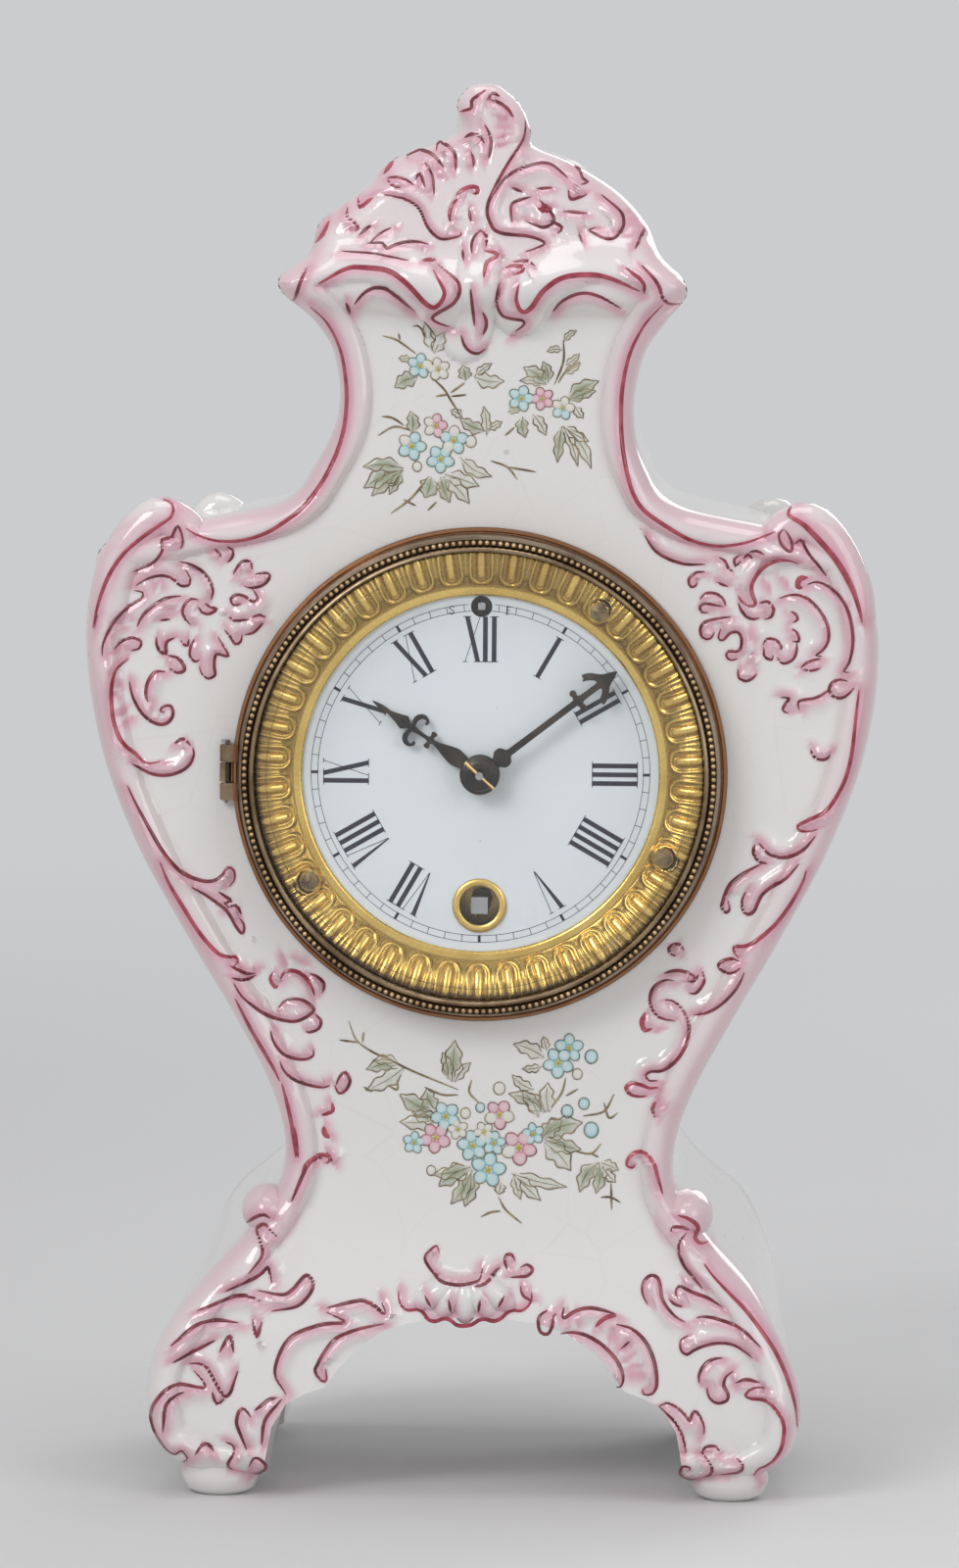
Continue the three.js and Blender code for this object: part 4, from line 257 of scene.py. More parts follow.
# Each line is a painted stroke: its width, the height of the ridge beside it, and its points. A line
# that starts with a space goes on with the stroke before it.
LINES = """
0.7 0.5 -21.8,285.4 -20.6,287 -19.2,288.9
0.55 0.7 -16.7,288.6 -16.9,290 -14,290.5 -11.2,289.5 -8.8,286.8
0.55 0.7 -10.5,290.3 -10.3,292.2 -7.9,291.3 -6.4,289.5 -6.2,286.2
0.45 0.6 -20.9,284.6 -17.9,284.6 -15.2,283.1
0.45 0.4 -20.9,284.3 -20,283.1 -17.9,282.4
0.5 0.6 -14.8,284.3 -13.9,285.5 -12.7,282.5
0.4 0.7 -13,288 -11.2,285 -10.8,281
0.4 0.2 -11,287.6 -10.4,287.2
0.4 0.2 -10.6,286.4 -10,286
0.4 0.2 -9.8,284.6 -9.2,284.4
0.45 0.5 -3,290.2 -2.4,288.3 -2.4,286.9
0.55 0.6 -4.5,293.1 -3,293.9 -1.2,293.4 -0.1,291.9
0.5 0.6 -0.1,295.9 1.2,293.1 1.2,290.4 0.6,288
0.65 0.6 -6.1,280.8 -4.8,281.9 -2.4,282.8 -1.2,281.9 -2.1,281 -3,281.4
0.6 0.7 -5.8,280.1 -7.3,277.9 -7.3,275.2
0.45 0.4 -3.3,277.9 -2.8,275.2
0.6 0.6 -27.3,280.4 -26.7,278.3 -24.8,279.8 -23.3,280.7
0.5 0.6 -29.4,278.3 -29.4,276.4 -27.3,274.6 -27,273.4 -28.5,273.1
0.5 0.5 -26.7,272.3 -25.2,273.7 -24.2,274.5
0.6 0.5 -33.3,275.5 -34.5,272.8 -36.7,270
0.5 0.5 -24.8,270.7 -21.5,270.7 -20.6,269.6 -17.9,270.7 -14.5,271 -11.8,270.4
0.3 0.5 -24.2,270.7 -22.1,272.8 -19.1,274.3
0.5 0.6 -0.9,273.4 0.6,272.2 0.6,270
0.45 0.6 -0.6,273.5 -2.4,271.3 -2.4,268.5
0.45 0.4 -4.5,269.4 -4.2,267
0.6 0.6 0.3,269.1 3.3,268.2 0.9,266.7 0.3,263.4
0.6 0.3 -13,267 -11.6,267.2 -10.3,267.2
0.35 0.3 -30.3,269 -23.3,268.5 -15.8,267
0.6 0.7 4.8,265.5 7,265.9 9,265.2 5.5,263.4
0.45 0.4 6.4,266.7 9.4,266.9 11.2,265.8
0.5 0.5 18.5,287.4 20.3,286.2 21,284.5 22.1,283.7 19.7,282.8
0.45 0.4 5.8,282.5 8.2,281.5
0.45 0.4 11.2,282.2 14.5,282.5
0.5 0.5 14.2,275.5 16.7,274 15.8,272.7
0.4 0.4 20.3,272.8 21.2,270.7
0.6 0.6 30.6,265.5 34.2,262.5 34.5,260
0.55 1.0 -6.3,298.5 -3,299.5 -3,301 0,303.4
0.55 1.0 0.3,301.2 1.5,302.6 3,302
0.55 1.0 1,301.3 4,300 6,297.5
0.55 1.0 8.5,297 8.2,293 4,286 0.8,279 1,276 3,273 10,272 13,270.5 9,268.8
0.4 0.3 3,291 4.2,291.4
0.4 0.3 3.2,293 4.4,293.2
0.4 0.3 3.3,295 4.6,295
0.4 0.3 3.2,297 4.6,296.8
0.5 0.9 2,281 5,285 10,287.3 14,287.5 18.5,284
0.5 0.9 6,275 6,279 10,280.5
0.5 0.9 9,275.3 13,274 15,276 11,280.8
0.5 0.9 17,277.5 22,277
0.5 0.9 18,282 18.5,280 22,281
0.5 0.9 25,281 29.5,277 29.5,273.5 27,271.5 22.5,273.5 25,274
0.5 0.9 35,275 32.5,269.5
0.5 0.9 -21.5,281 -17,280 -14,278 -12,274 -9,271.5 -4.5,272.5 -6,273.5
1.4 0.5 11.5,278 14.5,278
0.4 0.3 31,272 32,272.4
0.4 0.3 31.4,274 32.4,274.3
0.4 0.3 31.4,276 32.4,276
0.4 0.3 31,278 32,277.8
0.8 0 -35,262 -29,265.3 -25,265.5 -20,264.8 -16,262 -11.5,257.3 -9.5,257.5 -8,260 -10.5,265
0.55 0.8 -9.5,266 -5,262 -6,258 -10.8,254.6 -6,252.3
0.55 0.6 -27.5,257.5 -25,260.3 -21,261 -14.5,256
0.55 0.6 -29.3,258 -28.5,255.5
0.8 0 7.8,262 7.3,258.5 8.5,256 10.5,257 13,260.5 17,263.3 22,264 27,263.3 34.5,260
0.5 0.6 15,256 17,258.3 21,260 25,259.3 29.5,256.7
0.55 0 34,266 37.5,262 38.5,259 41,257.5 45,259
0.55 0 -37.5,265.5 -39,262 -40.5,258.5 -43,258.5
0.5 0.5 -2.5,261 -1.8,253
0.5 0.5 0,256 0.8,253.5 0,251
0.5 0.5 -4.7,251 -3.5,248 -1,247 0.5,248
0.5 0.5 3.5,262 3,258 4.5,255 9,253.8 6,251
0.65 0 -37,257 -33.5,253.5 -30.8,248 -29.6,242 -29.3,236 -30,230 -32,224 -35,218.5 -39,213.5
 -43,210.5 -47,208.2 -52,206.8 -57,206.8 -61,208 -63.5,209.5
0.65 0 38.5,257.5 34.5,253 31.5,247 30,240 29.7,234 30,228 31,222 32.5,217 35,213.3 40,209.8 45,207
 50,205.8 55,206.2 59,207.3 63,209
0.6 0 -83.6,188 -82.5,193 -80.3,199 -77,204 -73,207.5 -69.5,210 -66.8,212 -66.3,213.5 -67,215 -69.5,216
0.45 0.6 -75,200 -71.5,201.5 -69.7,203 -68.6,205 -68.8,207 -66.8,207.5 -66,209 -65.3,210 -64.2,207.5
 -64.4,205.5 -65,205
0.45 0.6 -74.8,196 -73,195.5 -73.2,194.3 -76,192.5 -78.8,189.5 -80.8,186 -81.6,183 -81.3,181
0.45 0.6 -74.5,197 -72,198.5 -69,199.2 -66.5,198.5 -64.8,197 -63,197.2 -62.8,198.8 -63.7,200.5
0.5 1.0 -65,202.3 -62,201.5 -59.5,199.5 -58,197 -57.9,195 -58.6,193
0.5 1.0 -59.5,193.3 -58.5,192.5 -57,192 -58.5,191 -60,191.2 -61,192.5
0.5 1.0 -61,194 -62.5,194.2 -64.2,192.5 -64.2,190.5 -63,189 -62,188.3
0.5 1.0 -64.7,194.8 -68,194.3 -71,192.5 -73,190.5 -74.2,188.2
0.35 0.3 -67.5,192.3 -66,192.2
0.35 0.3 -69.2,189.5 -67,189.8
0.35 0.3 -70.2,198 -70,196.7
0.35 0.3 -69.3,198.2 -69.2,197
0.45 0.8 -79,183.3 -77.5,185 -75,185.8 -73.3,185 -73.7,183.5 -75.5,183
0.6 -0.9 -76,181.3 -78.5,179 -79.4,175.5 -79.4,171 -78.7,167 -77,163.3 -74.5,161 -72,158.8 -68,159.3
0.55 0.9 -75,158.8 -71,156.5 -67,156.2 -63.3,157.8 -61.8,160.5 -62.2,163
0.55 0.9 -66,163 -64,164 -62.5,162.5
0.55 0.9 -70,186 -69.8,183.8 -68.5,182.3 -67.5,182.8 -68.2,184.5 -66,185.8
0.55 0.9 -67.5,182 -65.5,181.5 -63.8,179.5 -64.5,178.3 -66.5,178.6 -67.8,180
0.55 0.9 -68,178.5 -70,178.5 -71.7,176.5 -72.2,173.5 -71.3,171.2
0.55 0.9 -75.8,176.3 -75,173 -73,169.5 -70.5,167.5 -68,167.2 -66.3,169 -66.6,170.8 -67.5,171.2
 -69.3,170.5 -68.5,169.5 -67.8,170.2
0.45 0.8 -57.5,205 -56.5,204 -56.2,203.2
0.45 0.8 -54.8,205.5 -53.5,204.5 -53.8,203 -54.8,202
0.45 0.8 -53.5,199.5 -52.3,201.5 -50.5,202.7 -49.4,201.3 -49.5,199.8
0.45 0.8 -48.8,199.5 -46,199.8 -45.7,198.5 -47.5,197 -49.5,196.6 -52,197.2
0.45 0.8 -49.3,196.3 -48.2,194.5 -49.2,193.6 -51,194.8 -53.5,195 -54,193.3 -52.5,192.8 -51,193.5
0.45 0.8 -54.3,190.3 -53,189.5 -50,189.8
0.45 0.8 -49.3,190.3 -47.8,190.8 -46.5,190.3
0.45 0.8 -47,189 -49,187 -51,186.5
0.45 0.8 -55.3,187.5 -54,186 -53,184.5 -51.8,185 -51.5,186.5
0.45 0.8 -56.7,186 -55.5,184 -54.5,182.3 -54.8,181.8 -57,182.3 -57.5,180 -57.3,177.8 -58.8,177
 -60.3,178.3 -60.8,180.5
0.45 0.8 -61.8,185.5 -62.8,183 -62.3,181 -61,180.7 -60.5,181.5
0.45 0.8 -64.7,185.3 -64,184.3 -63.2,184.2 -63,185.5
0.35 0.2 -79,175.8 -78.3,175.2
0.35 0.2 -79.2,174.5 -78.5,174
0.35 0.2 -77.5,169 -76.5,169.8
0.35 0.2 -76.8,167.8 -75.8,168.5
0.35 0.2 -77.5,190 -76.3,189.7
0.35 0.2 -77.8,188.8 -77,188.5
0.9 0 66.6,214.8 65.8,213.3 66,212.3 69,210.5 73,206.5 76,203 78.5,199 80.3,195 81.5,191 81.8,189.5
0.5 0.6 35,208 37,205 40,203 44,201.8 48,201.8
0.45 0.6 64.8,209.5 63.8,208.5 64.2,206.5 65.5,205 66.5,204.8 66.6,206.5 65.5,208.8 64.6,209.8
0.45 0.6 67.3,206.3 68.5,207.2 70,204.5 72.5,201.5 74,199.3
0.6 1.0 68,202 65,202.8 62,202.2 59.5,200 58,197 58.5,194.5 59,193 57,193 55.5,194.5 55,195.5
0.5 0.9 55.2,193.5 56.5,191 58.5,190 59.8,190.3
0.5 0.9 59.7,193.5 61.5,193.8 62.8,192.3 62.3,190.5 60.8,190
0.5 0.9 60.3,193 60.8,191.5
0.5 0.9 64,194.5 67,195.3 70,194.5 73,191.5 74.6,188 74.5,185 73,183 72,182.3 73.3,182
0.5 0.9 70,197.5 72.5,198 76,196 78.5,192.5 79.7,188 79.8,184 79,180.5 78,178.8 79.2,178.7
0.9 0.6 70,199 68.3,198.7 68,197 69,196.8
0.45 0.7 66.5,191.7 67.5,191.2 68,190 67,189.3
0.45 0.7 66.8,188 68,187 68.3,185.3 67,185.3
0.45 0.7 57.5,204.5 59,204.8 60.8,204
0.45 0.7 58,203 57.3,204 56.2,203
0.45 0.7 55.7,202.5 54.5,201.5 54.3,203 55.5,203.8
0.45 0.7 51,203.3 52.3,202.5 53,201 54,200.3
0.45 0.7 48,200.2 46,200 44.5,198.5 45,197 46,197.2 46.3,198
0.45 0.7 50.5,198 53,197
0.45 0.7 47,194.3 48,195.5 50.5,195.5 52.2,194 52.5,192.8
0.45 0.7 52,192.7 49,193.3 47.3,193.3 47,192 48,191.3 49.8,191.5
0.45 0.7 53.5,190.5 50,190 47.5,189 47.2,187 48.3,185.5 50,186.5 50.2,188
0.45 0.7 51.5,188 51,186 52,185.5 53.5,187 55.2,187.2 56,185.8 55.5,183 54,183.3 52.8,182.8 53,181.5
 54.5,181.2 56,182
0.45 0.7 57.5,187.5 58,185.5
0.45 0.7 58,182.5 57.3,181
0.45 0.7 55.3,179.3 55.5,177.5 57,176.7 59,177.7 59.5,179
0.45 0.7 60.6,184.5 61.5,185.8 63.5,185.5 64.6,184 64.3,183.5
0.45 0.7 60.8,184 61,182 62.5,181.3 62.8,182.3
0.45 0.7 63.7,181.7 65,180.5 67,181.3 68,184 67.5,186
0.45 0.7 68.8,179.6 70.5,181 73,181.5
0.45 0.7 69,179.3 71,179 73,179.5
0.45 0.7 75,175 72.5,173.3 70,172.8 68.3,172.3 68.5,170.5
0.45 0.7 64.5,173.2 66.3,173 65,171 65.5,170 67,169.6
0.5 1.2 78.8,176.8 76.5,177 75,175.7 75.2,174 77,173 79,174 80.3,175.5
0.6 0.9 81.3,175 80.8,170 80,162 79,157 77.3,153 74.5,149 71,147 68.5,145.5 69,144.5 71,144.5 72.8,145
0.5 0.9 71,162 72,160.3 74,159.8 76,161.3
0.35 0.2 61.3,198 62,196.8
0.35 0.2 65,198.8 66,197.5
0.55 0.9 -76,154 -74,150 -71,144.5 -68,139.5 -65,136 -62,134 -58.5,133.2 -56,134 -54.3,136.2
 -53,135.5 -52.9,133.5 -54,132
0.55 0.9 -62,132 -58,129.5 -54.5,126.8 -52.5,123.5 -51,121.8 -50.8,124 -51.8,125.2
0.45 0.7 -56.3,131 -54.8,130 -53.5,129 -55,128.5 -54,127.8
0.45 0.7 -54.5,127.5 -52.5,128 -51.3,126
0.65 -0.4 -68.8,137.5 -67,133 -64,128 -60.5,122.5 -57,118.5 -55,117.2 -52.5,116.8 -52,115.8 -53,114.8
0.5 0.8 -53.5,115 -51,113.8 -49,113 -47.5,113.8
0.5 0.8 -53.2,112.5 -51,112 -49,112.3 -47.3,113.5
0.55 1.0 -52.8,111.3 -51,108.5 -48,106 -45,104 -41.5,103 -39,103 -36.5,104.3 -35.5,105.5 -37,107
 -39.5,107.8 -42,107.2 -43.2,105.8
0.4 0.3 -42,117 -41.5,115.5
0.4 0.3 -39.5,116 -38,115.3
0.4 0.3 -37,110.3 -36,109
0.6 0.9 -44.5,113.5 -45,112 -44,110.3 -43.3,110.5
0.6 0.9 -42.8,112 -42,113.5 -39.5,113.8 -37,112 -35.7,109.5 -35.2,107.5
0.5 0.8 -36.5,113.3 -34,112 -33.2,110 -34.3,108.3
0.5 0.8 -35.3,104.5 -34,103 -34.5,101.3 -36.5,100.5 -37.3,100.8
0.65 -0.4 -52.5,107.8 -49,101 -46,96 -44,92.5 -42.8,90
0.65 -0.4 -42.3,89.5 -41,84.5 -40,79.5 -39.2,73.5
0.5 0.9 -44.8,101 -44,98.5 -42,96 -39.5,94.8 -37,94.7 -35.6,95.5 -35.6,96.8
0.5 0.9 -42.7,94.5 -41.5,92 -38.5,89.8 -35.5,88.8 -32.5,88.6 -31.8,89.5
0.5 0.9 -31,89 -30,87.3 -28.5,88 -27.6,90 -28.6,91.8 -29.8,91 -30.7,89
0.6 0.5 -31.5,85.3 -31.3,83.5 -33,82.7 -33.7,82.5
0.9 0.4 -33.3,80 -33,78.5 -32,77.5
0.5 0.3 -31,74.5 -30.5,73.5
0.6 0.9 -37.8,70 -37,72 -35,73.5 -33,74 -31.8,73 -32.5,72 -33.5,72.5
0.55 0.9 72.3,143.5 70,140.8 67,139 64.5,138.7 62,139.7 60.5,141.5 59.7,142
0.55 0.9 59.3,141.5 59,139.8 60,138 62,137.3
0.55 0.9 68.8,137.5 66,134.3 62.5,132 60.5,130 59.8,128 58.5,126.3 57,127 56.7,129.5 57.8,132
0.55 0.9 60.8,137.3 57,135.3 54,132.8 52.8,130 52.3,127.8 53.3,126.7 54,127.5 53.6,129.5
0.65 -0.4 70.5,136 69.5,133 67,128.5 64,124.5 61,121.8 58,119.8 55,119.3 55.2,118 56.2,117
0.5 0.8 56.5,116.3 54,116.8 51.7,115.5 52.3,114.3 54.5,113.8 56.5,115
0.5 0.8 57.3,114 56,111 53.5,108 50.5,105.8 48,104.8 46.5,104.5
0.5 0.8 42,120 41,119 41.3,118 42.5,117.2
0.5 0.8 42,120 43.3,119.8 44.3,118.5
0.5 0.8 40,113.5 42.5,114.2 45,113.8 46.5,113 46.3,112
0.5 0.8 45.2,111.8 46.5,112 47.5,113.3
0.5 0.8 48.3,114 48.7,112 47.5,109.8 46,109 44.8,110
0.5 0.8 42.3,112 40,112 37.8,110.5 37,108 37.7,105.5 39.5,103.8 42.5,103.3
0.55 1.0 40.3,107.8 42.5,107.3 44.5,105 45.5,102 45,98.5 43,95 40,92.5 37.5,92.3 36.3,91.5 37,90.3 38.8,90.3
0.8 0.6 36,105 35.3,103 36,101.2 37.5,101.5
0.4 0.3 38.5,100.7 39.5,101
0.4 0.3 38.9,86 39.8,84.5
0.6 0.7 39,88.8 37,88.7 35,89.5 33,89.7 32,88.7 33,87.3 35,86.8 37.3,87
0.6 0.7 38.5,85.8 37.8,84.2 38.3,82.5
0.6 0.9 40.2,66 39,70 38,73 36,74.8 34,74.6 32.3,72.8 32.8,71.3 34.3,71.7 33.8,72.7
0.65 0.9 43.5,61.5 45.5,61 47.3,59.8 48,58.3 47.3,56.7 48.5,55.5 50.2,55.6
0.5 0.9 42,58 42.6,59 44.5,58.9 46,58.3
0.5 0.9 45.5,57.8 44,56 43.8,53.5 44.8,50.8 46.7,48.5 49,45.8
0.6 -0.5 49.3,51.3 51.5,48.5 55,45 58.5,41.5 62,37 65,32.5 67.5,27 69.3,21 69.8,16
0.5 0.9 37.2,42.5 36,45 36.5,47.5 38.5,48.7 39.9,47 40,45 41,42.5 43.5,39.8 46.3,38.3
0.5 0.9 43.8,43.8 43.2,45 43.9,46.3 45,46 47,45 50,44 53.8,41.7
0.5 0.9 44.8,47 45.5,45.8
0.5 0.9 41.8,43.7 43,42.6 44.7,42
0.5 0.9 47.8,39.7 50,40 54,39 58,37.3 61.7,33.8
0.5 0.9 46,36 44.5,35 44.5,33 45.8,32 48,33.3 52,34.4 56,34 60,31.3
0.5 0.9 53.5,31.3 50.8,30.8 49,29 48.3,26.5 49,25.2
0.5 0.9 50.2,25 50.7,22.8 52.7,21.6 54.6,22.3 54.7,23.8 53.8,25.5 54.3,27.3 55.8,28.5
0.5 0.9 55.3,27 56,25.3
0.5 0.9 56.3,26 58.5,26.8 62.5,25.8
0.6 0.9 62.5,25 60,25 58.5,23.3 60,22.6 63,22.2 65.5,20 66.8,17.3 66.7,14 66,11.3 64,8.5 61.5,7.2
 60.5,5.5 60.3,4.5 61.5,3.7
0.7 0.8 26,37.7 28,39.7 30.5,40
0.55 0.9 30.5,38.3 34,37.3 37,34.5 38.8,30.5 39.4,26.5 39,24.3 37.5,23.2 36,24 37,25
0.55 0.9 18.5,36.2 21,36.6 24,36 27.5,34 30.5,31 32,28 32,25.7 31,24.7 30.3,25.5
0.55 0.9 19.2,41.8 19,39.5 21,40.7 24,41.7 27.5,41.3 31.5,40
0.55 0.9 15.7,41.2 14,40 13.8,37.5 15,36 16.5,37 17,40 17.6,40.5
0.35 0.2 20.5,40.5 20.7,38.5
0.35 0.2 21.5,40.3 21.8,38.7
0.35 0.2 29.3,37 28.8,35.3
0.35 0.2 30,36.8 30,35.3
0.35 0.2 31.5,33 33.5,34.8
0.35 0.2 32,32.5 33.8,33.5
0.35 0.2 32.8,30.3 34,31.2
0.35 0.2 33.5,29.5 35,30
0.35 0.2 34,28.5 35.5,28.5
0.35 0.2 34,27.5 35.5,27.5
0.45 0.7 39.8,20.8 41.5,21.6 44,20.5 46,18.5 46.6,17.8 47.5,20 49,18.3 49.7,16.3 49.5,14
0.45 0.7 40,20.7 43,18 45,14.5 45.7,11.5 45.8,10.3
0.45 0.7 49.3,10.8 50,12 52,12.2 53.8,10.2
0.55 0.9 49,11 50.8,9 51.5,6.8 50,4.8 47.5,3.9 45,5.2 44.5,7.2 46,8.2 47,7 46,6.7
0.55 0.9 56.7,9.8 58,8.5 57.6,6.8 55,6 52,5.3
0.5 0.8 -8,53 -8.5,54.5 -11,52 -8,48 -3,46.8 1,48 1.5,50
0.5 0.8 0,46.5 2.5,47.3 4.5,49.5 5.3,50
0.5 0.8 6.8,49.7 6.2,52 7.3,53 8.3,52 8.5,50.7
0.5 0.8 9.7,50 11,50.7 12.3,49.7 11.3,48.4 7.5,48
0.5 0.8 9.7,46.3 10.3,44.3 12.3,43
0.6 0.3 -16.6,45.2 -16.2,42.4 -14.4,41 -11.6,41.2 -10.7,39.6 -8.6,38.7 -5.8,39.5 -4.6,38.2 -2.2,37.8
 0.2,38.4 1.4,39.4 3.9,38.8 6.2,39.7 7.4,41.1 9.9,41 11.9,42.6 12.2,45
0.45 0.3 -10.8,44.6 -9.4,41.8
0.45 0.3 -5.6,43.8 -5.1,40.6
0.45 0.3 1.2,43.8 0.7,40.6
0.45 0.3 6.4,44.6 5,41.8
0.6 -0.4 -39.5,80 -38.7,73.5
0.55 0.9 -40,64 -37.5,70 -36,72.5 -33.5,73.3
0.55 0.9 -32.5,74.5 -31.2,72
0.55 0.9 -51.8,60 -51,58.3 -48,60.5 -46,61.3 -43.7,60
0.55 0.9 -43,56.5 -46,59.2 -47.5,58 -46,53 -49,48.8
0.55 0.9 -54,45 -47,48 -45,50 -44,46.5
0.55 0.9 -47,45 -41,44.3 -38,47 -36.5,48.3 -35,46 -38,42 -44,40.7
0.55 0.9 -60,41 -51,44 -45.5,42.5
0.55 0.9 -65.5,33.5 -60,38 -55,38.8 -50,38
0.55 0.9 -48,39 -47,35.3 -46,38.5
0.55 0.9 -65,30 -56,34.5
0.55 0.9 -55,32 -52.8,35.5 -52,32
0.55 0.9 -61.5,29.5 -58,29 -53.5,22.5 -51,28
0.55 0.9 -60.5,28 -58,24.5 -65,25 -69.5,20 -69.3,15 -65.5,9.8 -63,10.8 -61.8,9 -64,6.8
0.55 0.9 -67,15 -66,21.5 -61.5,24
0.55 0.9 -56.5,23.5 -55.5,21 -53.8,22
0.55 0.9 -49,11 -51.2,17 -50,20 -48,18
0.55 0.9 -47.3,19.5 -43.5,22.3 -41.5,22
0.55 0.9 -41.5,22 -45,17.5 -45.8,12
0.55 0.9 -53.5,12.5 -51.5,11 -53,7 -48.5,4.3 -44.7,7 -47,9.5 -48.5,7
0.55 0.9 -60,10 -58,12.3 -55.3,10
0.55 0.9 -40.5,23 -43,28 -40,35 -33,38 -28,38.5 -33,41
0.55 0.9 -32,28.5 -32,25.7 -34.3,28 -31,34 -27,36.5 -19.5,38.3
0.55 0.9 -32,41.5 -24,43 -19.5,40.3 -20.5,43.5
"""

# The photograph leans by this share of x, so each stroke is set upright as it is read.
LEAN = 0.0078


def read_strokes(text):
    """Painted strokes: the width, the ridge's side and height, and the curve. The ridge is on the
    side to which the stroke bends, or on the other where the height is negative."""
    out = []
    for line in text.replace("\n ", " ").strip().splitlines():
        width, height, points = line.split(" ", 2)
        path = route(points)
        path[:, 1] += LEAN * path[:, 0]
        path = smooth_path(path, 1.1)
        turn = np.diff(path, axis=0)
        bend = np.sum(turn[:-1, 0] * turn[1:, 1] - turn[:-1, 1] * turn[1:, 0])
        hand = 1 if bend >= 0 else -1
        out.append((float(width), hand if float(height) > 0 else -hand, abs(float(height)), path))
    return out


strokes = read_strokes(LINES)

# No relief stands further forward than this.
FOREMOST = -57.7


def case_front(x, z, rows, levels, front):
    """The y of the case's front at (x, z): the panel's own depth, less the raised rim that follows
    the outline as a roll, the brow's rolls and the scrollwork, and rounded over at the outline."""
    gap = outline_gap(x, z, rows, levels)
    half = np.interp(z, levels, 0.5 * (rows[:, 0] + rows[:, 1]))
    corner = np.minimum(CORNER, 0.55 * half)
    inner = np.clip(corner - gap, 0, None)
    rounding = corner - np.sqrt(np.clip(corner**2 - inner**2, 0, None))
    roll = np.sqrt(np.clip(1 - ((gap - 0.45 * RIM) / (0.55 * RIM)) ** 2, 0, 1))
    raised = RIM_RISE * roll * smooth_rise(half, 8, 30) * (1 - smooth_rise(z, 262, 270))
    for radius, rise, text in ROLLS:
        away = distance_to(smooth_path(route(text), 1.2), np.c_[x, z])[0]
        raised = np.maximum(raised, rise * np.sqrt(np.clip(1 - (away / radius) ** 2, 0, 1)))
    relief = stroke_field(x, z, strokes)[0] * smooth_rise(gap, 0.4, 3)
    return np.maximum(front + rounding - raised - relief, FOREMOST)


def side_and_corner(edge, half, back, corner, sign):
    """One side's points, level by level: straight from the front's edge to the rear corner, and a
    quarter of a circle round it."""
    along = np.linspace(0, 1, SIDE_COLUMNS + 1)[1:]
    turn = np.linspace(0, np.pi / 2, 6)[1:]
    edge_x, edge_y = edge
    straight = edge_x + (sign * half - edge_x) * along, edge_y + (back - corner - edge_y) * along
    rounded = sign * (half - corner * (1 - np.cos(turn))), back - corner + corner * np.sin(turn)
    return [np.hstack(pair) for pair in zip(straight, rounded)]


def case_rings():
    """Rings of points up the case, from the left of the front round by the right and the back."""
    levels = case_levels()
    rows = between_rows(PANEL_ROWS, levels)
    left, right, rear, front, back = rows.T
    corner = np.minimum(CORNER, 0.55 * 0.5 * (left + right))
    arc = 1 - np.cos(np.linspace(0, np.pi / 2, ARC_COLUMNS, endpoint=False))
    middle = np.linspace(0, 1, COLUMNS - 2 * ARC_COLUMNS)
    x_left = -left[:, None] + corner[:, None] * arc
    x_middle = (-left + corner)[:, None] + (left + right - 2 * corner)[:, None] * middle
    x_right = (right[:, None] - corner[:, None] * arc)[:, ::-1]
    x = np.hstack([x_left, x_middle, x_right])
    z = np.repeat(levels[:, None], x.shape[1], axis=1)
    y = case_front(x.ravel(), z.ravel(), rows, levels, np.repeat(front, x.shape[1])).reshape(x.shape)
    rear_corner = np.minimum(CORNER, 0.3 * (back - front))[:, None]
    rear, back = rear[:, None], back[:, None]
    right_x, right_y = side_and_corner((x[:, -1:], y[:, -1:]), rear, back, rear_corner, 1)
    left_x, left_y = side_and_corner((x[:, :1], y[:, :1]), rear, back, rear_corner, -1)
    across = np.linspace(0, 1, BACK_COLUMNS + 1)[1:-1]
    back_x = right_x[:, -1:] + (left_x[:, -1:] - right_x[:, -1:]) * across
    back_y = np.repeat(back, len(across), axis=1)
    ring_x = np.hstack([x, right_x, back_x, left_x[:, ::-1]])
    ring_y = np.hstack([y, right_y, back_y, left_y[:, ::-1]])
    ring_z = np.repeat(levels[:, None], ring_x.shape[1], axis=1)
    return np.stack([ring_x, ring_y, ring_z], axis=-1)


def capped_rings(name, rings):
    """A closed mesh from rings of points one over another, with a flat fan at each end, turned
    outwards: the sum of the faces' signed volumes about the origin comes out positive."""
    rows, columns = rings.shape[:2]
    points = np.vstack([rings.reshape(-1, 3), rings[:1].mean(axis=1), rings[-1:].mean(axis=1)])
    quads = grid_faces(rows, columns, wrap_columns=True)
    i = np.arange(columns)
    low = np.c_[(i + 1) % columns, i, np.full(columns, rows * columns)]
    top = (rows - 1) * columns
    high = np.c_[top + i, top + (i + 1) % columns, np.full(columns, rows * columns + 1)]
    thirds = np.vstack([quads[:, [0, 1, 2]], quads[:, [0, 2, 3]], low, high])
    p, q, r = points[thirds[:, 0]], points[thirds[:, 1]], points[thirds[:, 2]]
    faces = [quads, low, high]
    if np.sum(p * np.cross(q, r)) < 0:
        faces = [f[:, ::-1] for f in faces]
    return mesh_piece(name, points, faces)


case_shape = case_rings()
case = capped_rings("porcelain_case", case_shape)


def turned(name, profile, centre, axis="z", columns=96):
    """A closed turned form: each (radius, height) of the profile is carried once round the axis
    through the centre."""
    a = np.linspace(0, 2 * np.pi, columns, endpoint=False)
    r, h = np.array(profile, float).T
    u = r[:, None] * np.cos(a)
    v = r[:, None] * np.sin(a)
    w = np.repeat(h[:, None], columns, axis=1)
    rings = np.stack([u, v, w] if axis == "z" else [u, w, v], axis=-1) + np.array(centre, float)
    return capped_rings(name, rings)


